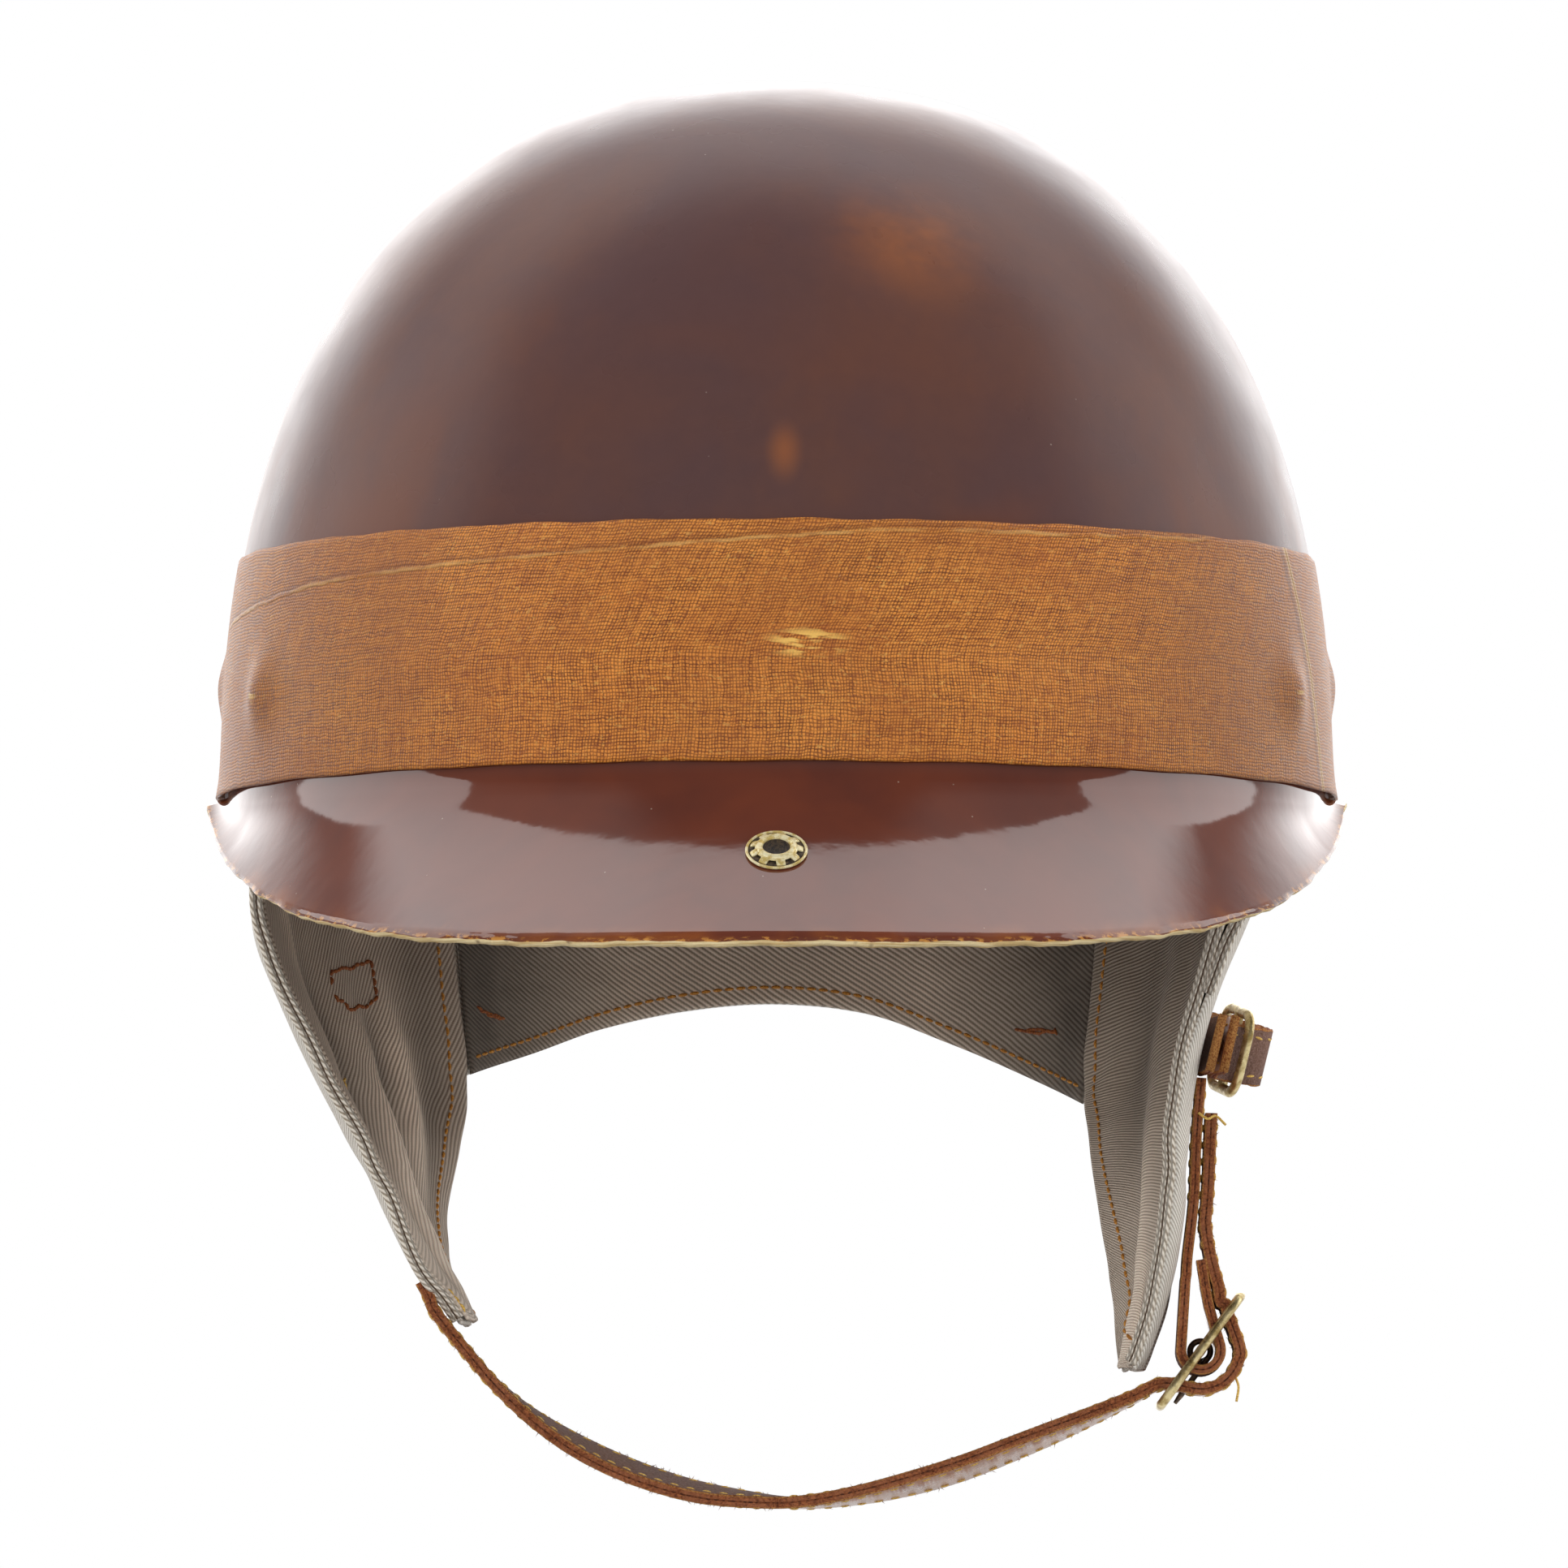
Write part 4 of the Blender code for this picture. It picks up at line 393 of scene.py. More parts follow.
def finish(name, build, roughness=0.5, metallic=0.0, ior=1.5, **fixed):
    """A material: build joins the varying inputs and the rest are set numbers.

    It is called with the nodes, the Principled shader and the place on the object.
    """
    material = bpy.data.materials.new(name)
    material.use_nodes = True
    nodes = Nodes(material.node_tree, clear=True)
    shader = nodes.add("ShaderNodeBsdfPrincipled")
    out = nodes.add("ShaderNodeOutputMaterial")
    nodes.link(shader.outputs[0], out.inputs[0])
    shader.inputs["Roughness"].default_value = roughness
    shader.inputs["Metallic"].default_value = metallic
    shader.inputs["IOR"].default_value = ior
    for key, value in fixed.items():
        shader.inputs[key.replace("_", " ")].default_value = value
    build(nodes, shader, object_place(nodes))
    return material


def rgb(*values):
    return (*values, 1.0)


def object_place(t):
    return t.add("ShaderNodeTexCoord").outputs["Object"]


def cloth_place(t):
    return t.add("ShaderNodeTexCoord").outputs["UV"]


def own_value(t, name):
    return t.add("ShaderNodeAttribute", attribute_name=name).outputs["Fac"]


def floor_finish():
    material = bpy.data.materials.new("pale_floor")
    material.use_nodes = True
    t = Nodes(material.node_tree, clear=True)
    plain = t.add("ShaderNodeBsdfDiffuse")
    glow = t.add("ShaderNodeEmission")
    glow.inputs[0].default_value = rgb(1, 1, 1)
    path = t.add("ShaderNodeLightPath")
    t.link(t.mix(path.outputs["Is Diffuse Ray"], rgb(0.80, 0.80, 0.80), rgb(0.36, 0.36, 0.36)), plain.inputs[0])
    seen = t.math("MAXIMUM", path.outputs["Is Camera Ray"], path.outputs["Is Transmission Ray"])
    seen = t.math("MAXIMUM", seen, path.outputs["Is Glossy Ray"])
    mix = t.add("ShaderNodeMixShader")
    t.feed(mix.inputs[0], t.times(seen, 0.6))
    t.link(plain.outputs[0], mix.inputs[1])
    t.link(glow.outputs[0], mix.inputs[2])
    t.link(mix.outputs[0], t.add("ShaderNodeOutputMaterial").inputs[0])
    return material


def build_finishes():
    """Every finish of the object, by its name."""
    made = {}

    def dome(t, s, place):
        warm = t.group("mottle", Vector=place, Scale=24.0, Contrast=0.22)["Mask"]
        fine = t.group("mottle", Vector=place, Scale=260.0, Contrast=0.30)["Mask"]
        dust = t.group("specks", Vector=place, Scale=170.0, Size=0.045, Share=0.16)["Mask"]
        colour = t.mix(warm, rgb(0.102, 0.053, 0.052), rgb(0.132, 0.057, 0.042))
        colour = t.tint(colour, fine, 0.25, rgb(0.084, 0.044, 0.043))
        red = t.smooth(t.noise(place, 17.0, 3.0, 0.6, 0.4), 0.50, 0.66)
        low = t.ramp(t.split(place)[2], 0.095, 0.050)
        colour = t.tint(colour, t.times(red, low), 0.55, rgb(0.170, 0.058, 0.030))
        glow = t.times(t.near(place, (0.026, -0.0925, 0.104), 0.023),
                       t.ramp(t.noise(place, 75.0, 3.0, 0.6), 0.35, 0.62, 0.25, 1.0))
        slanted = t.scaled(place, (1.0, 1.0, 0.5))
        drop = t.near(slanted, (0.0015, -0.120, 0.030), 0.0045)
        colour = t.tint(colour, t.math("MAXIMUM", glow, drop), 0.70, rgb(0.30, 0.100, 0.036))
        colour = t.tint(colour, dust, 0.55, rgb(0.55, 0.45, 0.40))
        t.link(colour, s.inputs["Base Color"])
        t.link(t.ramp(t.noise(place, 60.0, 3.0), 0.3, 0.7, 0.26, 0.33), s.inputs["Roughness"])
        peel = t.times(t.noise(place, 420.0, 2.0), 0.00002)
        waves = t.times(t.noise(place, 30.0, 1.0), 0.00024)
        t.link(t.bump(t.plus(peel, waves)), s.inputs["Normal"])
    made["dome"] = finish("dome_lacquer", dome, ior=1.25)

    def peak(t, s, place):
        edge = t.split(cloth_place(t))[1]
        streak = t.noise(t.scaled(place, (60.0, 60.0, 60.0)), 1.0, 3.0, 0.6, 0.5)
        warm = t.times(t.smooth(edge, 0.0060, 0.0004), t.smooth(streak, 0.40, 0.66))
        mottled = t.group("mottle", Vector=place, Scale=40.0, Contrast=0.25)["Mask"]
        dust = t.group("specks", Vector=place, Scale=230.0, Size=0.055, Share=0.20)["Mask"]
        colour = t.mix(mottled, rgb(0.112, 0.029, 0.018), rgb(0.156, 0.037, 0.018))
        colour = t.tint(colour, warm, 0.65, rgb(0.30, 0.085, 0.018))
        specked = t.times(t.smooth(edge, 0.0017, 0.0002),
                          t.smooth(t.noise(t.scaled(place, (420.0, 420.0, 700.0)), 1.0, 3.0, 0.65), 0.50, 0.60))
        colour = t.mix(specked, colour, rgb(0.62, 0.27, 0.055))
        colour = t.tint(colour, dust, 0.7, rgb(0.62, 0.52, 0.42))
        t.link(colour, s.inputs["Base Color"])
        t.link(t.ramp(t.noise(place, 90.0, 2.0), 0.3, 0.7, 0.05, 0.08), s.inputs["Roughness"])
        waves = t.plus(t.times(t.noise(place, 60.0, 2.0, 0.5), 0.00008),
                       t.times(t.noise(t.scaled(place, (80.0, 260.0, 260.0)), 1.0, 2.0), 0.000012))
        peel = t.times(t.noise(place, 500.0, 1.0), 0.000006)
        t.link(t.bump(t.plus(waves, peel)), s.inputs["Normal"])
    made["peak"] = finish("peak_lacquer", peak, ior=1.66)

    def raw_edge(t, s, place):
        layers = t.noise(t.scaled(place, (90.0, 90.0, 2600.0)), 1.0, 2.0)
        chips = t.group("specks", Vector=place, Scale=420.0, Size=0.34, Share=0.30)["Mask"]
        fibre = t.noise(place, 1800.0, 3.0, 0.7)
        colour = t.mix(t.smooth(layers, 0.35, 0.65), rgb(0.66, 0.46, 0.20), rgb(0.90, 0.73, 0.42))
        colour = t.tint(colour, chips, 0.75, rgb(0.14, 0.06, 0.03))
        t.link(colour, s.inputs["Base Color"])
        t.link(t.bump(t.times(fibre, 0.0003)), s.inputs["Normal"])
    made["raw_edge"] = finish("raw_laminate_edge", raw_edge, roughness=0.85)

    def linen(t, s, place):
        weave = cloth_place(t)
        cloth = t.group("plain_weave", Vector=weave, Thread=0.00064, Sway=0.2)
        stain = t.group("mottle", Vector=place, Scale=38.0, Contrast=0.24)["Mask"]
        pale = t.group("mottle", Vector=t.scaled(place, (1.0, 1.0, 2.2)), Scale=16.0, Contrast=0.25)["Mask"]
        crease, lap, worn = (own_value(t, name) for name in ("crease", "lap", "worn"))
        colour = t.mix(cloth["Shade"], rgb(0.100, 0.019, 0.006), rgb(0.90, 0.330, 0.052))
        fleck = t.smooth(t.noise(t.scaled(weave, (700.0, 700.0, 1.0)), 1.0, 2.0, 0.6), 0.53, 0.66)
        colour = t.tint(colour, fleck, 0.45, rgb(0.21, 0.044, 0.016))
        patch = t.noise(place, 420.0, 3.0, 0.7)
        colour = t.tint(colour, t.smooth(patch, 0.50, 0.66), 0.24, rgb(0.30, 0.070, 0.016))
        colour = t.tint(colour, t.smooth(patch, 0.46, 0.32), 0.20, rgb(0.88, 0.38, 0.070))
        pale_fleck = t.smooth(t.noise(t.scaled(weave, (620.0, 900.0, 1.0)), 1.0, 2.0, 0.6), 0.60, 0.70)
        colour = t.tint(colour, pale_fleck, 0.45, rgb(0.92, 0.50, 0.12))
        colour = t.tint(colour, stain, 0.42, rgb(0.32, 0.080, 0.016))
        colour = t.tint(colour, pale, 0.07, rgb(0.66, 0.36, 0.12))
        wobble = t.times(t.math("SUBTRACT", t.noise(place, 160.0, 3.0), 0.5), 0.0012)
        line = t.plus(crease, wobble)
        light_line = t.smooth(t.math("ABSOLUTE", line), 0.00060, 0.0001)
        dark_line = t.smooth(t.math("ABSOLUTE", t.math("SUBTRACT", line, 0.00085)), 0.0008, 0.0)
        patchy = t.smooth(t.noise(place, 90.0, 2.0), 0.38, 0.62)
        colour = t.tint(colour, dark_line, 0.40, rgb(0.16, 0.040, 0.012))
        colour = t.tint(colour, t.times(light_line, patchy), 0.50,
                       rgb(0.80, 0.47, 0.15))
        ridge = t.smooth(t.math("ABSOLUTE", t.plus(lap, wobble)), 0.0016, 0.0003)
        colour = t.tint(colour, ridge, 0.75, rgb(0.86, 0.58, 0.28))
        shaded = t.smooth(t.math("ABSOLUTE", t.plus(t.plus(lap, wobble), 0.0028)), 0.0016, 0.0002)
        colour = t.tint(colour, shaded, 0.55, rgb(0.17, 0.045, 0.014))
        halo = t.times(t.smooth(worn, 0.02, 0.5), t.smooth(t.noise(place, 150.0, 3.0), 0.40, 0.60))
        colour = t.tint(colour, halo, 0.35, rgb(0.24, 0.050, 0.016))
        scuffs = t.times(t.smooth(worn, 0.25, 0.8),
                         t.smooth(t.noise(t.scaled(place, (130.0, 130.0, 760.0)), 1.0, 3.0), 0.46, 0.56))
        colour = t.tint(colour, scuffs, 0.9, rgb(0.95, 0.58, 0.14))
        dust = t.group("specks", Vector=place, Scale=190.0, Size=0.05, Share=0.16)["Mask"]
        colour = t.tint(colour, dust, 0.6, rgb(0.75, 0.60, 0.42))
        # Painted shade: the band's colour is darkened towards its sides.
        painted_side_shade = t.ramp(t.math("ABSOLUTE", t.split(place)[0]), 0.050, 0.100, 1.0, 0.62)
        colour = t.mix(1.0, colour, painted_side_shade, "MULTIPLY")
        t.link(colour, s.inputs["Base Color"])
        t.link(t.ramp(cloth["Slub"], 0.3, 0.7, 0.34, 0.50), s.inputs["Roughness"])
        step = t.times(t.smooth(t.plus(lap, wobble), -0.0005, 0.0005), 0.00035)
        fold = t.times(light_line, 0.00022)
        height = t.plus(t.times(cloth["Height"], 0.00009), t.plus(step, fold))
        t.link(t.bump(height), s.inputs["Normal"])
    made["linen"] = finish("varnished_linen", linen, ior=1.36)

    def twill(name, low, high, angle, pitch=0.0008, painted_light_ramp=None):
        def cloth(t, s, place):
            weave = cloth_place(t)
            ribs = t.group("twill", Vector=weave, Pitch=pitch, Angle=angle)
            soil = t.group("mottle", Vector=place, Scale=60.0, Contrast=0.25)["Mask"]
            colour = t.mix(ribs["Shade"], rgb(*low), rgb(*high))
            # Painted light and shade: the colour is scaled along one axis of the place, darker where shade
            # falls and lighter where light falls, then turned pale towards the tips as painted light.
            if painted_light_ramp:
                axis, start, stop, first, last = painted_light_ramp
                along = t.math("ABSOLUTE", t.split(place)[axis])
                colour = t.mix(1.0, colour, t.ramp(along, start, stop, first, last), "MULTIPLY")
                painted_tip_light = t.ramp(t.split(place)[2], -0.050, -0.098, 0.0, 0.50)
                colour = t.mix(painted_tip_light, colour, rgb(0.92, 0.83, 0.72))
            # Painted shade in the fold valleys and painted light on the fold ridges, read from the fold
            # attribute.
            folds = t.ramp(own_value(t, "fold"), -1.0, 1.0, 0.52, 1.48)
            colour = t.mix(1.0, colour, folds, "MULTIPLY")
            colour = t.tint(colour, soil, 0.20, rgb(*(0.7 * v for v in high)))
            lint = t.group("specks", Vector=place, Scale=330.0, Size=0.07, Share=0.18)["Mask"]
            colour = t.tint(colour, lint, 0.35, rgb(0.75, 0.70, 0.62))
            t.link(colour, s.inputs["Base Color"])
            creases = t.times(t.noise(t.scaled(place, (1.0, 1.0, 2.0)), 42.0, 3.0, 0.55), 0.0016)
            fuzz = t.times(t.noise(place, 3000.0, 2.0), 0.00005)
            height = t.plus(t.times(ribs["Height"], 0.00022), t.plus(creases, fuzz))
            t.link(t.bump(height), s.inputs["Normal"])
        return finish(name, cloth, roughness=0.95, Sheen_Weight=0.06, Sheen_Roughness=0.5)
    made["twill"] = twill("outer_twill", (0.56, 0.49, 0.41), (0.95, 0.90, 0.82), 2.2, 0.00088)
    # The last table of each lining is painted light and shade: the axis, the span and the factors at its ends.
    # The flap linings are darker near the rim and lighter lower down; the curtain lining is darker at its sides
    # and lighter in the middle.
    made["lining"] = twill("right_lining_twill", (0.28, 0.212, 0.158), (0.66, 0.54, 0.43), 0.866, 0.00086,
                           (2, 0.020, 0.092, 0.90, 1.25))
    made["left_lining"] = twill("left_lining_twill", (0.29, 0.222, 0.166), (0.66, 0.54, 0.43), 1.715, 0.00080,
                                (2, 0.020, 0.092, 0.55, 1.35))
    made["curtain_lining"] = twill("curtain_lining_twill", (0.26, 0.206, 0.156), (0.66, 0.55, 0.45), 2.1,
                                   0.00092, (0, 0.058, 0.030, 0.28, 1.42))
    made["bead"] = twill("piping_twill", (0.36, 0.285, 0.205), (1.0, 0.92, 0.80), 0.95, 0.00100)

    def leather(t, s, place):
        grain = t.group("hide_grain", Vector=place, Scale=1500.0)
        colour = t.mix(grain["Shade"], rgb(0.30, 0.105, 0.040), rgb(0.44, 0.17, 0.065))
        scuffed = t.group("mottle", Vector=place, Scale=150.0, Contrast=0.18)["Mask"]
        colour = t.tint(colour, scuffed, 0.30, rgb(0.60, 0.42, 0.32))
        t.link(colour, s.inputs["Base Color"])
        t.link(t.ramp(scuffed, 0.0, 1.0, 0.20, 0.34), s.inputs["Roughness"])
        t.link(t.bump(t.times(grain["Height"], 0.00014)), s.inputs["Normal"])
    made["leather"] = finish("strap_grain", leather, ior=1.52)

    def suede(t, s, place):
        nap = t.noise(place, 2200.0, 4.0, 0.7, 0.5)
        patch = t.group("mottle", Vector=place, Scale=110.0, Contrast=0.2)["Mask"]
        colour = t.mix(t.smooth(nap, 0.35, 0.65), rgb(0.160, 0.090, 0.070), rgb(0.34, 0.215, 0.180))
        colour = t.tint(colour, patch, 0.35, rgb(0.26, 0.11, 0.055))
        t.link(colour, s.inputs["Base Color"])
        t.link(t.bump(t.times(nap, 0.0004)), s.inputs["Normal"])
    made["suede"] = finish("strap_suede", suede, roughness=0.95)

    def cut_edge(t, s, place):
        fibre = t.noise(t.scaled(place, (1.0, 0.8, 1.0)), 1700.0, 4.0, 0.7, 0.6)
        band = t.noise(t.scaled(place, (220.0, 900.0, 220.0)), 1.0, 3.0, 0.6)
        colour = t.mix(t.smooth(fibre, 0.36, 0.62), rgb(0.17, 0.042, 0.014), rgb(0.44, 0.140, 0.046))
        colour = t.tint(colour, t.smooth(band, 0.42, 0.60), 0.40, rgb(0.47, 0.18, 0.085))
        t.link(colour, s.inputs["Base Color"])
        t.link(t.bump(t.times(fibre, 0.0005)), s.inputs["Normal"])
    made["cut_edge"] = finish("strap_cut_edge", cut_edge, roughness=0.82)

    def burr(t, s, place):
        fibre = t.noise(place, 2600.0, 3.0, 0.7)
        t.link(t.mix(t.smooth(fibre, 0.36, 0.60), rgb(0.30, 0.085, 0.022), rgb(0.62, 0.30, 0.085)),
               s.inputs["Base Color"])
        t.link(t.bump(t.times(fibre, 0.0004)), s.inputs["Normal"])
    made["burr"] = finish("strap_burr", burr, roughness=0.9)

    def ply_seam(t, s, place):
        fibre = t.noise(place, 1500.0, 3.0, 0.7)
        t.link(t.mix(t.smooth(fibre, 0.42, 0.58), rgb(0.060, 0.018, 0.008), rgb(0.26, 0.075, 0.026)),
               s.inputs["Base Color"])
    made["ply_seam"] = finish("strap_ply_seam", ply_seam, roughness=0.9)

    def brass(t, s, place):
        tarnish = t.noise(place, 420.0, 4.0, 0.65, 0.4)
        scratch = t.noise(t.scaled(place, (900.0, 200.0, 900.0)), 1.0, 2.0)
        pits = t.group("specks", Vector=place, Scale=700.0, Size=0.30, Share=0.22)["Mask"]
        colour = t.mix(t.smooth(tarnish, 0.34, 0.62), rgb(0.34, 0.24, 0.085), rgb(0.72, 0.60, 0.32))
        colour = t.tint(colour, pits, 0.7, rgb(0.06, 0.042, 0.022))
        t.link(colour, s.inputs["Base Color"])
        t.link(t.ramp(scratch, 0.3, 0.7, 0.24, 0.42), s.inputs["Roughness"])
        t.link(t.bump(t.times(tarnish, 0.00012)), s.inputs["Normal"])
    made["brass"] = finish("aged_brass", brass, metallic=0.9)

    def worn(t, s, place):
        rubbed = t.noise(place, 700.0, 3.0, 0.6)
        t.link(t.mix(t.smooth(rubbed, 0.38, 0.60), rgb(0.66, 0.49, 0.16), rgb(0.95, 0.86, 0.55)),
               s.inputs["Base Color"])
        t.link(t.bump(t.times(rubbed, 0.00010)), s.inputs["Normal"])
    made["pale_brass"] = finish("worn_brass", worn, metallic=0.35, roughness=0.42)

    def dark_wire(t, s, place):
        rust = t.noise(place, 900.0, 4.0, 0.7)
        colour = t.mix(t.smooth(rust, 0.4, 0.65), rgb(0.07, 0.055, 0.045), rgb(0.20, 0.13, 0.08))
        t.link(colour, s.inputs["Base Color"])
        t.link(t.ramp(rust, 0.3, 0.7, 0.30, 0.55), s.inputs["Roughness"])
        t.link(t.bump(t.times(rust, 0.0001)), s.inputs["Normal"])
    made["wire"] = finish("blackened_wire", dark_wire, metallic=0.85)

    # Dark brass: patina, and painted shade where it lines the eyelet's bore and the channel under the washer's
    # petals.
    def patina(t, s, place):
        t.link(t.mix(t.smooth(t.noise(place, 1500.0, 3.0, 0.7), 0.4, 0.65), rgb(0.030, 0.020, 0.016),
                     rgb(0.12, 0.080, 0.045)), s.inputs["Base Color"])
    made["patina"] = finish("brass_patina", patina, roughness=0.6)

    def thread(name, low, high):
        def yarn(t, s, place):
            strands = t.noise(place, 3600.0, 2.0)
            t.link(t.mix(t.smooth(strands, 0.35, 0.65), rgb(*low), rgb(*high)), s.inputs["Base Color"])
            t.link(t.bump(t.times(strands, 0.00015)), s.inputs["Normal"])
        return finish(name, yarn, roughness=0.7)
    made["saddle_thread"] = thread("saddle_thread", (0.60, 0.32, 0.05), (0.95, 0.66, 0.18))
    made["orange_thread"] = thread("orange_thread", (0.44, 0.16, 0.025), (0.80, 0.38, 0.07))
    made["dark_thread"] = thread("seam_thread", (0.050, 0.030, 0.018), (0.15, 0.095, 0.060))
    made["rust_thread"] = thread("rust_thread", (0.17, 0.040, 0.012), (0.42, 0.135, 0.028))

    def webbing(t, s, place):
        cloth = t.group("plain_weave", Vector=cloth_place(t), Thread=0.0009, Sway=0.1)
        colour = t.mix(cloth["Shade"], rgb(0.36, 0.29, 0.20), rgb(0.66, 0.57, 0.43))
        soil = t.group("mottle", Vector=place, Scale=70.0, Contrast=0.2)["Mask"]
        t.link(t.tint(colour, soil, 0.35, rgb(0.33, 0.24, 0.15)), s.inputs["Base Color"])
        t.link(t.bump(t.times(cloth["Height"], 0.0002)), s.inputs["Normal"])
    made["webbing"] = finish("cotton_webbing", webbing, roughness=0.93, Sheen_Weight=0.15)

    def cork(t, s, place):
        grains = t.cells(place, 420.0)
        dark = t.group("specks", Vector=place, Scale=520.0, Size=0.42, Share=0.30)["Mask"]
        colour = t.mix(t.smooth(grains, 0.1, 0.6), rgb(0.46, 0.28, 0.14), rgb(0.26, 0.135, 0.06))
        t.link(t.tint(colour, dark, 0.8, rgb(0.07, 0.032, 0.016)), s.inputs["Base Color"])
        t.link(t.bump(t.times(grains, 0.0009)), s.inputs["Normal"])
    made["cork"] = finish("pressed_cork", cork, roughness=0.95)
    return made


# Mesh helpers

def unit(vectors):
    vectors = np.asarray(vectors, dtype=float)
    return vectors / np.maximum(np.linalg.norm(vectors, axis=-1, keepdims=True), 1e-12)


def square_to(vectors, axes):
    """The part of each vector that is square to its unit axis, as a unit vector."""
    return unit(vectors - axes * np.sum(vectors * axes, axis=1, keepdims=True))


def read_at(wanted, gone, table):
    """Reads a table, whose rows stand at the distances gone, at the wanted distances."""
    return np.column_stack([np.interp(wanted, gone, column) for column in np.transpose(table)])


def path_frame(path, across, closed=False):
    """Unit vectors at each point of a path: along it, across it and square to both."""
    if closed:
        along = unit(np.roll(path, -1, axis=0) - np.roll(path, 1, axis=0))
    else:
        along = unit(np.gradient(path, axis=0))
    across = square_to(np.broadcast_to(np.asarray(across, dtype=float), path.shape), along)
    return along, across, np.cross(along, across)


def quads(rows, columns, wrap_rows=False, wrap_columns=False, start=0):
    """Corner numbers of a grid's four-sided faces, row by row."""
    r = np.arange(rows if wrap_rows else rows - 1)
    c = np.arange(columns if wrap_columns else columns - 1)
    r, c = (v.ravel() for v in np.meshgrid(r, c, indexing="ij"))
    r2, c2 = (r + 1) % rows, (c + 1) % columns
    return np.stack([r * columns + c, r * columns + c2, r2 * columns + c2, r2 * columns + c], axis=1) + start


def new_piece(name, points, faces, finishes, uv=None, slots=None, values=None, outwards=True):
    """A mesh from corner arrays. uv is per point, slots gives each face's finish, values are point numbers."""
    mesh = bpy.data.meshes.new(name)
    points = np.asarray(points, dtype=np.float32).reshape(-1, 3)
    counts = np.array([len(f) for f in faces], dtype=np.int32)
    corners = np.concatenate([np.asarray(f, dtype=np.int32) for f in faces])
    mesh.vertices.add(len(points))
    mesh.vertices.foreach_set("co", points.ravel())
    mesh.loops.add(len(corners))
    mesh.loops.foreach_set("vertex_index", corners)
    mesh.polygons.add(len(counts))
    mesh.polygons.foreach_set("loop_start", np.concatenate([[0], np.cumsum(counts)[:-1]]).astype(np.int32))
    if slots is not None:
        mesh.polygons.foreach_set("material_index", np.asarray(slots, dtype=np.int32))
    mesh.update(calc_edges=True)
    if uv is not None:
        layer = mesh.uv_layers.new(name="metres")
        layer.data.foreach_set("uv", np.asarray(uv, dtype=np.float32).reshape(-1, 2)[corners].ravel())
    for label, numbers in (values or {}).items():
        layer = mesh.attributes.new(label, "FLOAT", "POINT")
        layer.data.foreach_set("value", np.asarray(numbers, np.float32).ravel())
    for material in finishes:
        mesh.materials.append(material)
    if outwards:
        shape = bmesh.new()
        shape.from_mesh(mesh)
        bmesh.ops.recalc_face_normals(shape, faces=shape.faces)
        shape.to_mesh(mesh)
        shape.free()
    mesh.shade_smooth()
    piece = bpy.data.objects.new(name, mesh)
    bpy.context.scene.collection.objects.link(piece)
    return piece


def grid_piece(name, grid, finishes):
    grid = np.asarray(grid, dtype=float)
    return new_piece(name, grid, quads(*grid.shape[:2]), finishes, outwards=False)


def normals(grid):
    """Unit normals of a grid: the cross product of its two directions of travel."""
    return unit(np.cross(np.gradient(grid, axis=1), np.gradient(grid, axis=0)))


def travelled(grid, axis):
    """Distance along each line of a grid, from its first point."""
    steps = np.linalg.norm(np.diff(grid, axis=axis), axis=-1)
    start = np.zeros_like(np.take(steps, [0], axis=axis))
    return np.concatenate([start, np.cumsum(steps, axis=axis)], axis=axis)


def cloth_piece(name, middle, wall, finishes, ring=False, roll=0.55, values=None):
    """A closed sheet: the middle grid moved half the wall to each side along its normals.

    The wall thins to roll times itself at the free edges, as folded cloth does, and the two sides are
    joined along them. With ring the grid closes on itself across its columns.
    """
    middle = np.asarray(middle, dtype=float)
    rows, columns = middle.shape[:2]
    if ring:
        wide = np.concatenate([middle[:, -2:], middle, middle[:, :2]], axis=1)
        out = normals(wide)[:, 2:-2]
    else:
        out = normals(middle)
    down = np.minimum(np.arange(rows), np.arange(rows)[::-1])[:, None] * np.ones(columns)
    across = np.minimum(np.arange(columns), np.arange(columns)[::-1])[None] * np.ones((rows, 1))
    edge = down if ring else np.minimum(down, across)
    half = wall / 2 * np.where(edge < 1, roll, 1.0)
    points = np.concatenate([middle + out * half[..., None], middle - out * half[..., None]])
    u = travelled(middle, 1)
    v = travelled(middle, 0)
    uv = np.tile(np.stack([u, v], axis=-1), (2, 1, 1))
    count = rows * columns
    front = quads(rows, columns, wrap_columns=ring)
    back = front[:, ::-1] + count
    r, c = np.arange(rows - 1), np.arange(columns if ring else columns - 1)
    c2 = (c + 1) % columns
    rims = [np.stack([c2, c, c + count, c2 + count], axis=1)]
    last = (rows - 1) * columns
    rims.append(np.stack([last + c, last + c2, last + c2 + count, last + c + count], axis=1))
    if not ring:
        side = r * columns
        rims.append(np.stack([side, side + columns, side + columns + count, side + count], axis=1))
        side = side + columns - 1
        rims.append(np.stack([side + columns, side, side + count, side + columns + count], axis=1))
    rims = np.concatenate(rims)
    faces = np.concatenate([front, back, rims])
    slots = np.concatenate([np.zeros(len(front)), np.full(len(back), min(1, len(finishes) - 1)),
                            np.zeros(len(rims))])
    if values:
        values = {key: np.tile(np.asarray(v), (2, 1)) for key, v in values.items()}
    return new_piece(name, points, faces, finishes, uv, slots, values)


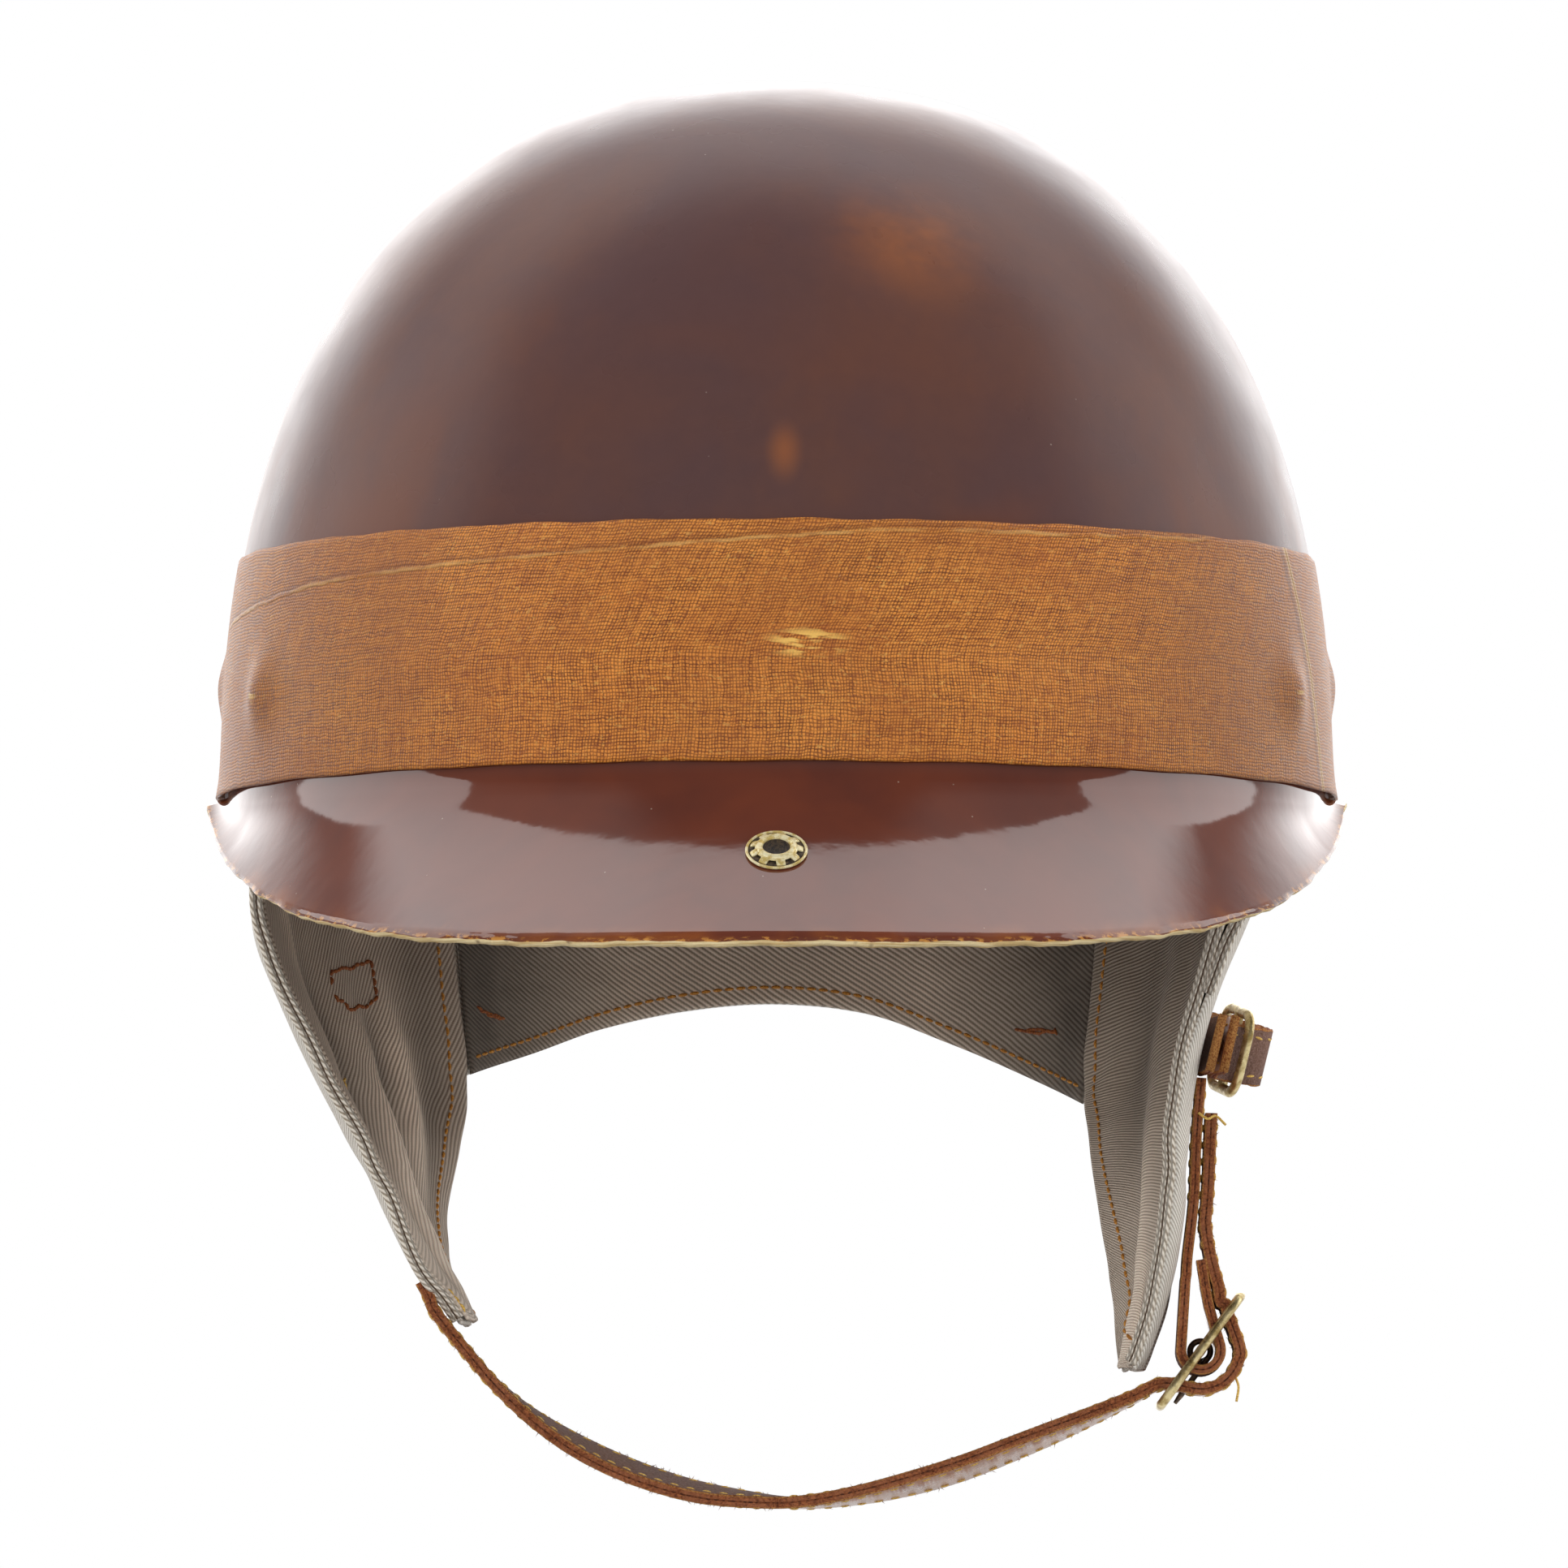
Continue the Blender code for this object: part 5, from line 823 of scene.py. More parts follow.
def sweep(name, path, across, profile, finishes, closed=False, slots=None):
    """A closed profile carried along a path: points are path + u * across + w * normal.

    The profile is (points, 2) or one such table per path point. across is a vector or one per point.
    """
    path = np.asarray(path, dtype=float)
    _, across, normal = path_frame(path, across, closed)
    profile = np.broadcast_to(np.asarray(profile, dtype=float), (len(path),) + np.shape(profile)[-2:])
    points = path[:, None] + across[:, None] * profile[..., :1] + normal[:, None] * profile[..., 1:]
    rows, around = points.shape[:2]
    faces = quads(rows, around, wrap_rows=closed, wrap_columns=True)
    uv = np.stack(np.broadcast_arrays(travelled(path, 0)[:, None], travelled(profile[0], 0)[None]), axis=-1)
    faces = [*faces]
    marks = None if slots is None else list(np.tile(slots, rows if closed else rows - 1))
    if not closed:
        faces += [np.arange(around)[::-1], np.arange((rows - 1) * around, rows * around)]
        if marks is not None:
            marks += [slots[0]] * 2
    return new_piece(name, points, faces, finishes, uv, marks)


def circle(radius, sides):
    turn = np.arange(sides) * 2 * math.pi / sides
    return np.stack([np.cos(turn), np.sin(turn)], axis=1) * radius


def stitches(name, centres, along, out, length, radius, material, lift=0.25):
    """Short threads: each is a spindle of six sides along its direction, arched a little outwards.

    A spindle's section grows and shrinks as the root of a parabola, and its middle line follows
    lift times the same parabola, so both ends dive into the cloth.
    """
    centres, along, out = (np.asarray(v, dtype=float) for v in (centres, along, out))
    along = unit(np.broadcast_to(along, centres.shape))
    out = unit(np.broadcast_to(out, centres.shape))
    out = square_to(out, along)
    side = np.cross(along, out)
    share = np.linspace(-1, 1, 7)
    bow = 1 - share**2
    ring = circle(1.0, 6)
    thick = radius * np.sqrt(np.clip(bow, 0.03, 1))
    spot = (centres[:, None, None] + along[:, None, None] * (share * length / 2)[None, :, None, None]
            + out[:, None, None] * ((bow - 0.55) * 4 * lift * radius)[None, :, None, None]
            + (side[:, None, None] * ring[None, None, :, :1] + out[:, None, None] * ring[None, None, :, 1:])
            * thick[None, :, None, None])
    count = len(centres)
    faces = quads(7, 6, wrap_columns=True)
    ends = np.array([np.arange(6)[::-1], np.arange(36, 42)])
    step = np.arange(count)[:, None, None] * 42
    all_quads = (faces[None] + step).reshape(-1, 4)
    all_ends = (ends[None] + step).reshape(-1, 6)
    return new_piece(name, spot.reshape(-1, 3), [*all_quads, *all_ends], [material])


def smooth_values(table, shares):
    """Reads a table, spread evenly from 0 to 1, at these shares, along a Catmull-Rom curve."""
    table = np.asarray(table, dtype=float)
    if table.ndim == 1:
        table = table[:, None]
    padded = np.vstack([2 * table[0] - table[1], table, 2 * table[-1] - table[-2]])
    place = np.clip(np.asarray(shares, dtype=float), 0, 1) * (len(table) - 1)
    span = np.minimum(place.astype(int), len(table) - 2)
    t = (place - span)[..., None]
    a, b, c, d = (padded[span + k] for k in range(4))
    out = 0.5 * (2 * b + (c - a) * t + (2 * a - 5 * b + 4 * c - d) * t**2
                 + (3 * b - a - 3 * c + d) * t**3)
    return out[..., 0] if out.shape[-1] == 1 else out


def smooth_curve(points, count):
    """Points evenly spaced along a Catmull-Rom curve through the given ones."""
    points = np.asarray(points, dtype=float)
    curve = smooth_values(points, np.linspace(0, 1, 40 * len(points)))
    gone = travelled(curve[:, :3], 0)
    return read_at(np.linspace(0, gone[-1], count), gone, curve)


# Shell, band and peak

def plan_point(angle, half_width, half_length):
    """A point of the plan ellipse, at an angle in degrees from the front towards the wearer's left."""
    turn = np.radians(angle)
    return np.stack([half_width * np.sin(turn), -half_length * np.cos(turn)], axis=-1)


def shell_points(angles, heights, inset):
    """Points of the dome moved inwards by inset: a superellipse of power 2.35 up each meridian."""
    given = (np.asarray(v, dtype=float) for v in (angles, heights, inset))
    angles, heights, inset = np.broadcast_arrays(*given)
    rise = (np.maximum(heights, 0.0) / (SHELL_H - inset)) ** SHELL_POWER
    share = (1 - np.clip(rise, 0, 1)) ** (1 / SHELL_POWER)
    turn = np.radians(angles)
    x = (SHELL_A - inset) * share * np.sin(turn)
    y = -(SHELL_B - inset) * share * np.cos(turn)
    return np.stack([x, y, heights], axis=-1)


def dome_heights(inset, base, rows):
    """Heights from base to the crown, evenly spread along the meridian."""
    full = SHELL_H - inset
    first = math.asin((base / full) ** (SHELL_POWER / 2))
    turns = np.linspace(first, math.pi / 2, rows + 1)
    heights = full * np.sin(turns) ** (2 / SHELL_POWER)
    heights[-1] = full * (1 - 1e-7)
    return heights


def wrapped(angle):
    return (np.asarray(angle) + 180.0) % 360.0 - 180.0


def build_shell(finish_of):
    """The dome: rings from the inner crown down to the rim, round it and up to the outer crown."""
    angles = np.arange(0, 360, 2.0)
    beyond = np.clip((np.abs(wrapped(angles)) - PEAK_HALF_ANGLE - 0.6) / 1.6, 0, 1)
    depth = (PEAK_SEAT + PEAK_WALL + GAP) * (1 - beyond)
    ledge = PEAK_FLANGE + GAP
    low = shell_points(angles, -RIM_DROP, depth)
    shelf = shell_points(angles, ledge, 0.0)
    shelf[:, :2] = low[:, :2]
    inner = [shell_points(angles, h, SHELL_WALL) for h in
             (*dome_heights(SHELL_WALL, 0.036, 22)[::-1], 0.03, 0.02, ledge, 0.004, -RIM_DROP)]
    outer = [low, shelf] + [shell_points(angles, h, 0.0) for h in
                            (ledge + 0.0007, 0.02, 0.03, 0.04, *dome_heights(0.0, BAND_HEIGHT, 48))]
    rings = np.array(inner + outer)
    shell = new_piece("dome_shell", rings, quads(*rings.shape[:2], wrap_columns=True), [finish_of["dome"]])
    close_poles(shell)
    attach(shell, "helmet")
    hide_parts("shell")


def close_poles(piece):
    """Merges the tiny rings at the poles into points and turns the faces outwards."""
    shape = bmesh.new()
    shape.from_mesh(piece.data)
    bmesh.ops.remove_doubles(shape, verts=shape.verts, dist=0.0003)
    bmesh.ops.holes_fill(shape, edges=[e for e in shape.edges if e.is_boundary], sides=0)
    bmesh.ops.recalc_face_normals(shape, faces=shape.faces)
    shape.to_mesh(piece.data)
    shape.free()
    piece.data.shade_smooth()


# The crease along the band: angles in degrees and heights in millimetres
CREASE = ((-95, 30.5), (-80, 33.5), (-54, 37.9), (-23, 40.2), (-13, 41.4), (0, 43.0), (12, 44.6), (30, 44.6),
          (50, 45.5), (70, 52.0))


def build_band(finish_of):
    """The linen strip: it follows the dome, lifts over each rivet and steps down past its end lap."""
    angles = np.linspace(180, 540, 600, endpoint=False)
    heights = np.linspace(0.0, BAND_HEIGHT, 44)
    turn, rise = np.meshgrid(angles, heights)
    ring = shell_points(turn, rise, -GAP - BAND_WALL / 2)
    ring[0, :, 2] += 0.0001 * np.sin(np.radians(angles) * 23)
    out = unit(ring * [1 / SHELL_A**2, 1 / SHELL_B**2, 0])
    lift = np.zeros(turn.shape)
    for angle, height in zip(RIVET_ANGLES, RIVET_HEIGHTS):
        apart = np.linalg.norm(ring - shell_points(angle, height, -GAP), axis=-1)
        lift = lift + BUMP_HEIGHT * np.exp(-((apart / BUMP_RADIUS) ** 2))
    apart = (np.abs(wrapped(turn)) - BAND_FLARE_ANGLE) / BAND_FLARE_SPAN
    lift = lift + BAND_FLARE * np.exp(-rise / BAND_FLARE_DEPTH) * np.exp(-(apart**2))
    ragged = 0.00022 * np.sin(np.radians(angles) * 31) * np.sin(np.radians(angles) * 7 + 1)
    ring[-1] += np.stack([0 * ragged, 0 * ragged, ragged], axis=-1)
    signed = wrapped(turn)
    crease = rise - np.interp(signed, [a for a, _ in CREASE], [h / 1000 for _, h in CREASE])
    crease = np.where((signed > -95) & (signed < 62), crease, 0.03)
    lap_angle = 69.0 + 8.0 * (1 - rise / BAND_HEIGHT)
    lap = np.radians(signed - lap_angle) * 0.113
    worn = np.exp(-(((ring[..., 0] - 0.006) / 0.0085) ** 2 + ((rise - 0.0225) / 0.0030) ** 2))
    worn = worn * (np.abs(signed) < 40)
    for side in (-67.0, 67.0):
        spot = shell_points(side, RIVET_HEIGHTS[1], -GAP)
        worn = worn + 0.7 * np.exp(-((np.linalg.norm(ring - spot, axis=-1) / 0.0032) ** 2))
    band = cloth_piece("linen_band_cloth", ring + out * lift[..., None], BAND_WALL, [finish_of["linen"]],
                       ring=True, roll=0.8, values={"crease": crease, "lap": lap, "worn": worn})
    uv = band.data.uv_layers["metres"]
    places = np.empty(len(band.data.loops) * 2, np.float32)
    uv.data.foreach_get("uv", places)
    places = places.reshape(-1, 4, 2)
    seam = places[..., 0].max(axis=1) - places[..., 0].min(axis=1) > 0.3
    total = travelled(np.concatenate([ring, ring[:, :1]], axis=1), 1)[0, -1]
    places[seam, :, 0] = np.where(places[seam, :, 0] < 0.3, places[seam, :, 0] + total, places[seam, :, 0])
    uv.data.foreach_set("uv", places.ravel())
    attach(band, "helmet")
    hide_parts("linen_band")


def nearest_turn(x, y):
    """The ellipse parameter of the shell's outline nearest to each plan point, by Newton steps."""
    a, b = SHELL_A, SHELL_B
    turn = np.arctan2(x / a, -y / b)
    for _ in range(8):
        s, c = np.sin(turn), np.cos(turn)
        slope = (a * s - x) * a * c + (-b * c - y) * b * s
        change = a * a * (c * c - s * s) + x * a * s + b * b * (s * s - c * c) - y * b * c
        turn = turn - slope / change
    return turn


def peak_grid(columns, rows):
    """The peak's upper face: a Bezier flare from the shell's foot line out to the edge curve."""
    edge_turn = np.radians(np.linspace(-PEAK_HALF_ANGLE, PEAK_HALF_ANGLE, columns))
    x = PEAK_EDGE_A * np.sin(edge_turn)
    y = -(SHELL_B + PEAK_REACH) * np.cos(edge_turn)
    limit = math.radians(PEAK_HALF_ANGLE)
    drop = PEAK_END_DROP + (PEAK_DROP - PEAK_END_DROP) * (1 - (np.abs(edge_turn) / limit) ** PEAK_POWER)
    foot = nearest_turn(x, y)
    foot = foot * limit / np.abs(foot).max()
    flat = plan_point(np.degrees(foot), SHELL_A - PEAK_SEAT, SHELL_B - PEAK_SEAT)
    base = np.column_stack([flat, 0 * foot])
    edge = np.stack([x, y, -drop], axis=-1)
    neck = base - np.array([0, 0, 1.0]) * np.minimum(PEAK_NECK, 0.4 * drop)[:, None]
    bend = neck + (edge - neck) * 0.22
    t = np.linspace(0, 1, rows)[:, None, None]
    flare = (1 - t) ** 3 * base + 3 * (1 - t) ** 2 * t * neck + 3 * (1 - t) * t**2 * bend + t**3 * edge
    up = np.linspace(1, 0, 4)[:-1, None, None] * np.array([0, 0, PEAK_FLANGE])
    return np.concatenate([base + up, flare])


def build_peak(finish_of):
    """The peak: its upper grid, a wall below it and a raw edge that wanders a little."""
    columns, rows = 241, 34
    grid = peak_grid(columns, rows)
    wander = np.linspace(0, 60, columns)
    rough = 0.00022 * np.sin(wander * 1.9 + 1.3 * np.sin(wander * 0.83)) + 0.00012 * np.sin(wander * 6.1)
    grid[-1] += unit(grid[-1] - grid[-2]) * rough[:, None]
    down = -normals(grid)
    if down[rows // 2, columns // 2, 2] > 0:
        down = -down
    along = np.concatenate([np.zeros(3), np.linspace(0, 1, rows)])[:, None]
    middle = 1 - np.abs(np.linspace(-1, 1, columns)) ** 4
    crown = PEAK_CROWN * np.sin(np.clip((along - 0.25) / 0.75, 0, 1) * math.pi) * middle
    grid = grid - down * crown[..., None]
    thin = 1 - (0.38 + 0.25 * (1 - middle)) * np.clip((along - 0.86) / 0.14, 0, 1)
    under = grid + down * (PEAK_WALL * thin)[..., None]
    from_edge = travelled(grid[::-1], 0)[::-1]
    place, across_axis, out = eyelet_place(grid)
    u = travelled(grid, 1)
    count = grid.shape[0] * columns
    top = quads(*grid.shape[:2])
    bottom = top[:, ::-1] + count
    r, c = np.arange(len(grid) - 1), np.arange(columns - 1)
    last = (len(grid) - 1) * columns
    edge = np.stack([last + c, last + c + 1, last + c + 1 + count, last + c + count], axis=1)
    flange = np.stack([c + 1, c, c + count, c + 1 + count], axis=1)
    ends = [np.stack([side, side + columns, side + columns + count, side + count], axis=1)
            for side in (r * columns, r * columns + columns - 1)]
    faces = np.concatenate([top, bottom, flange, *ends, edge])
    slots = np.concatenate([np.zeros(len(top) + len(bottom) + len(flange)),
                            np.ones(2 * len(ends[0]) + len(edge))])
    uv = np.tile(np.stack([u, from_edge], axis=-1), (2, 1, 1))
    points = np.concatenate([grid, under])
    peak = new_piece("lacquered_peak", points, faces, [finish_of["peak"], finish_of["raw_edge"]], uv, slots)
    cut_hole(peak, place, across_axis, out, EYELET_HOLE)
    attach(peak, "helmet")
    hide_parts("peak")
    return place, across_axis, out


def eyelet_place(grid):
    """The eyelet's place on the peak's centre line, and the direction square to the upper face."""
    line = grid[3:, grid.shape[1] // 2]
    share = np.linspace(0, 1, len(line))
    spot = np.array([np.interp(EYELET_SHARE, share, line[:, k]) for k in range(3)])
    coarse = np.array([np.interp((4 / 6, 5 / 6), share, line[:, k]) for k in range(3)]).T
    along = unit(coarse[1] - coarse[0])
    out = np.cross(along, [1.0, 0, 0])
    out = out if out[2] > 0 else -out
    return spot, np.array([1.0, 0, 0]), out


def cut_hole(piece, place, across, out, radius):
    """Cuts a round hole through a piece, square to out."""
    ahead = np.cross(out, across)
    ring = circle(radius, 48)
    disc = place + across * ring[:, :1] + ahead * ring[:, 1:]
    points = np.concatenate([disc - out * 0.006, disc + out * 0.006])
    sides = quads(2, 48, wrap_columns=True)
    cut_away(piece, points, [*sides, np.arange(48)[::-1], np.arange(48, 96)])


def cut_away(piece, points, faces):
    """Cuts a closed shape out of a piece with an exact Boolean that is applied."""
    cutter = new_piece("cutter", points, faces, [])
    cut = piece.modifiers.new("cut", "BOOLEAN")
    cut.operation, cut.solver, cut.object = "DIFFERENCE", "EXACT", cutter
    bpy.context.view_layer.update()
    shaped = bpy.data.meshes.new_from_object(piece.evaluated_get(bpy.context.evaluated_depsgraph_get()))
    piece.modifiers.clear()
    piece.data = shaped
    piece.data.shade_smooth()
    bpy.data.objects.remove(cutter)


def turned(name, radii, heights, place, across, out, finishes):
    """A turned ring: closed (radius, height) rings round the axis out."""
    turn = np.arange(TURNED_SIDES) * 2 * math.pi / TURNED_SIDES
    ahead = np.cross(out, across)
    radii, heights = (np.asarray(v, dtype=float)[:, None] for v in (radii, heights))
    points = (place + across * (radii * np.cos(turn))[..., None] + ahead * (radii * np.sin(turn))[..., None]
              + out * heights[..., None])
    return new_piece(name, points, quads(*points.shape[:2], wrap_rows=True, wrap_columns=True), finishes)


def build_eyelet(finish_of, place, across, out):
    """The eyelet's barrel, rolled rim and under flange, and the toothed washer round it."""
    bore, barrel, rim, seat = 0.0026, 0.0031, 0.0039, 0.0001
    top = seat + 0.0005 + 0.0004
    under = -PEAK_WALL - GAP
    roll = np.linspace(0, math.pi, 9)
    middle, reach = 0.5 * (rim + bore), 0.5 * (rim - bore)
    radii = [barrel, *(middle + reach * np.cos(roll)), bore, bore + 0.0003, 0.0052, 0.0054, 0.0053, barrel]
    heights = [top, *(top + 0.0007 * np.sin(roll)), under + 0.0004, under - 0.0005, under - 0.0005,
               under - 0.00025, under, under]
    eyelet = turned("eyelet_barrel", radii, heights, place, across, out,
                    [finish_of["pale_brass"], finish_of["patina"]])
    # The faces inside the bore take the dark finish: patina in the hollow and painted shade down the hole.
    marks = np.zeros(len(radii) * TURNED_SIDES, np.int32)
    marks[9 * TURNED_SIDES:11 * TURNED_SIDES] = 1
    eyelet.data.polygons.foreach_set("material_index", marks)
    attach(eyelet, "helmet")
    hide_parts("eyelet")
    steps = 288
    turn = np.arange(steps) * 2 * math.pi / steps
    petal = np.clip(0.5 + 2.6 * np.cos(9 * turn + 0.4 * np.sin(turn * 2)), 0, 1)
    reach = 0.00412 + 0.00104 * petal
    inner = np.full(steps, 0.0035)
    slope = lambda radius, lift: seat + 0.00118 - 0.40 * (radius - 0.0035) + lift
    petals = [(inner, slope(inner, 0.0)), ((inner + reach) / 2, slope((inner + reach) / 2, 0.00010)),
              (reach - 0.00012, slope(reach, 0.00003)), (reach, slope(reach, -0.00018)),
              (reach - 0.00015, slope(reach, -0.00036)), (inner, slope(inner, -0.00035))]
    bead = np.linspace(0, 2 * math.pi, 8, endpoint=False)
    rim = [(np.full(steps, 0.00567 + 0.00030 * math.cos(b)), np.full(steps, 0.00034 + 0.00030 * math.sin(b)))
           for b in bead]
    ahead = np.cross(out, across)
    rows = np.array([place + across * (radius * np.cos(turn))[:, None]
                     + ahead * (radius * np.sin(turn))[:, None] + out * height[:, None]
                     for radius, height in petals + rim])
    faces = [quads(6, steps, wrap_rows=True, wrap_columns=True),
             quads(8, steps, wrap_rows=True, wrap_columns=True, start=6 * steps)]
    washer = new_piece("toothed_washer", rows, np.concatenate(faces), [finish_of["pale_brass"]])
    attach(washer, "helmet")
    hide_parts("eyelet_washer")
    # A dark ring under the washer's petals: painted shade in the channel there.
    dark = turned("washer_shade", [0.0034, 0.0056, 0.0056, 0.0034], [0.00035, 0.00012, 0.00030, 0.00060], place,
                  across, out, [finish_of["patina"]])
    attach(dark, "helmet")


# Cloth

def flap_surface(side, across, down):
    """A flap's middle surface. across runs front to rear and down rim to tip, both 0 to 1.

    Each row joins the front edge to the rear edge and swells outwards as the rim's ellipse does; a
    ripple of three waves fades towards the rear edge, the rim and the tip.
    """
    front_shares, rear_shares, swells, drop_share = FLAPS[side]
    size = np.array([CLOTH_A, CLOTH_B, FLAP_DROP * drop_share])
    across, down = np.broadcast_arrays(np.asarray(across, dtype=float), np.asarray(down, dtype=float))
    front = smooth_values(np.array(front_shares) * size, down)
    rear = smooth_values(np.array(rear_shares) * size, down)
    swell = smooth_values(swells, down)
    corners = np.array([front_shares[0], rear_shares[0]]) * size
    sign = np.sign(corners[0, 0])
    start = math.degrees(math.atan2(abs(corners[0, 0]) / CLOTH_A, -corners[0, 1] / CLOTH_B))
    stop = math.degrees(math.atan2(abs(corners[1, 0]) / CLOTH_A, -corners[1, 1] / CLOTH_B))
    rim = plan_point(start + (stop - start) * across, CLOTH_A, CLOTH_B) * [sign, 1]
    share = across[..., None]
    chord = corners[0, :2] * (1 - share) + corners[1, :2] * share
    points = front * (1 - share) + rear * share
    points[..., :2] += (rim - chord) * swell[..., None]
    fold = FOLD_DEPTH * np.sin(across * FOLD_WAVES * 2 * math.pi) * np.sin(np.clip(down, 0, 1) * math.pi)
    out = unit([sign * (corners[1, 1] - corners[0, 1]), -sign * (corners[1, 0] - corners[0, 0]), 0.0])
    points += out * (fold * np.clip(1.4 - 1.4 * across, 0, 1))[..., None]
    points[..., 2] += CLOTH_TOP * (1 - down)
    return points


def fold_heights(side, across, down):
    """The soft folds of a flap: each is a Gaussian ridge along a slanting line."""
    total = 0.0 * across
    for top, bottom, start, stop, width, height in FOLDS[side]:
        run = np.clip((down - start) / (stop - start), 0, 1)
        line = top + (bottom - top) * run
        total = total + height * np.exp(-(((across - line) / width) ** 2)) * np.sin(run * math.pi) ** 1.2
    return total


def flap_grid(side, columns, rows):
    across, down = np.meshgrid(np.linspace(0, 1, columns), np.linspace(0, 1, rows))
    grid = flap_surface(side, across, down)
    crumple = 0.00022 * np.sin(grid[..., 1] * 410 + 3 * np.sin(grid[..., 2] * 130)) * np.sin(down * math.pi)
    out = normals(grid)
    out = out * np.sign(out[rows // 2, columns // 2, 0] * -grid[0, 0, 0])
    return grid + out * (crumple + fold_heights(side, across, down))[..., None], across, down


def lining_grid(side, columns, rows):
    """The lining: the flap's grid moved inwards, and on the left spread from it at the top front."""
    grid, across, down = flap_grid(side, columns, rows)
    spread = SPREAD * (side == "left")
    open_share = np.clip(1 - down / SPREAD_END, 0, 1) ** 1.5 * np.clip(1.2 - across, 0, 1)
    inset = CLOTH_OUTER / 2 + CLOTH_LINING / 2 + 2 * GAP + spread * open_share
    out = normals(grid)
    inward = np.array([-np.sign(grid[0, 0, 0]), 0.0, 0.0])
    out = out * np.sign(np.sum(out[rows // 2, columns // 2] * inward))
    return grid + out * inset[..., None], across, down


def bend_with(piece):
    """Bakes the piece's placing into its points."""
    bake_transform(piece)
    return piece


def beads(name, edge, inner, out, radius, finish_of):
    """A piped seam: two cords side by side along an edge, with a dark sewn seam between them."""
    beside = unit(edge - inner)
    out = square_to(out, beside)
    middle = edge + beside * radius * 0.55
    made = []
    for label, sign in (("outer", 1.0), ("inner", -1.0)):
        made.append(sweep(f"{name}_{label}", middle + out * sign * radius * 1.02, beside, circle(radius, 12),
                          [finish_of["bead"]]))
    seam = sweep(f"{name}_seam", middle + beside * radius * 0.18, beside, circle(radius * 0.52, 8),
                 [finish_of["dark_thread"]])
    for piece in (*made, seam):
        bend_with(piece)
    return made + [seam]


def line_on(grid, points):
    """Reads a grid at (across, down) shares, by the two nearest rows and columns."""
    rows, columns = grid.shape[:2]
    a = np.clip(np.asarray(points)[:, 0], 0, 1) * (columns - 1)
    d = np.clip(np.asarray(points)[:, 1], 0, 1) * (rows - 1)
    c, r = np.minimum(a.astype(int), columns - 2), np.minimum(d.astype(int), rows - 2)
    fa, fd = (a - c)[:, None], (d - r)[:, None]
    return ((grid[r, c] * (1 - fa) + grid[r, c + 1] * fa) * (1 - fd)
            + (grid[r + 1, c] * (1 - fa) + grid[r + 1, c + 1] * fa) * fd)


def stitch_row(name, route, out, pitch, length, radius, material, lift=0.25):
    """Stitches spaced along a route of points, with out the direction away from the cloth."""
    gone = travelled(route, 0)
    marks = np.arange(pitch / 2, gone[-1], pitch)
    along = read_at(marks + pitch / 4, gone, route) - read_at(marks - pitch / 4, gone, route)
    return stitches(name, read_at(marks, gone, route), along, read_at(marks, gone, out), length, radius,
                    material, lift)


def spots_on(grid, out, places):
    """Points and normals of a grid at these (x, z) places, weighted over the four nearest corners."""
    corners, facing = grid.reshape(-1, 3), out.reshape(-1, 3)
    apart = np.sum((corners[None][:, :, [0, 2]] - np.asarray(places)[:, None]) ** 2, axis=2)
    near = np.argsort(apart, axis=1)[:, :4]
    share = 1 / (np.take_along_axis(apart, near, axis=1) + 1e-9)
    share = (share / share.sum(axis=1, keepdims=True))[..., None]
    return np.sum(corners[near] * share, axis=1), unit(np.sum(facing[near] * share, axis=1))


def sewn_mark(name, grid, out, lift, corners, pitch, length, radius, material):
    """Stitches along straight lines between (x, z) corners in millimetres, laid on a grid."""
    corners = np.asarray(corners, dtype=float) / 1000
    steps = travelled(corners, 0)
    wanted = np.linspace(0, steps[-1], max(int(steps[-1] / 0.0004), 8))
    spots, facing = spots_on(grid, out, read_at(wanted, steps, corners))
    return stitch_row(name, spots + facing * lift, facing, pitch, length, radius, material)


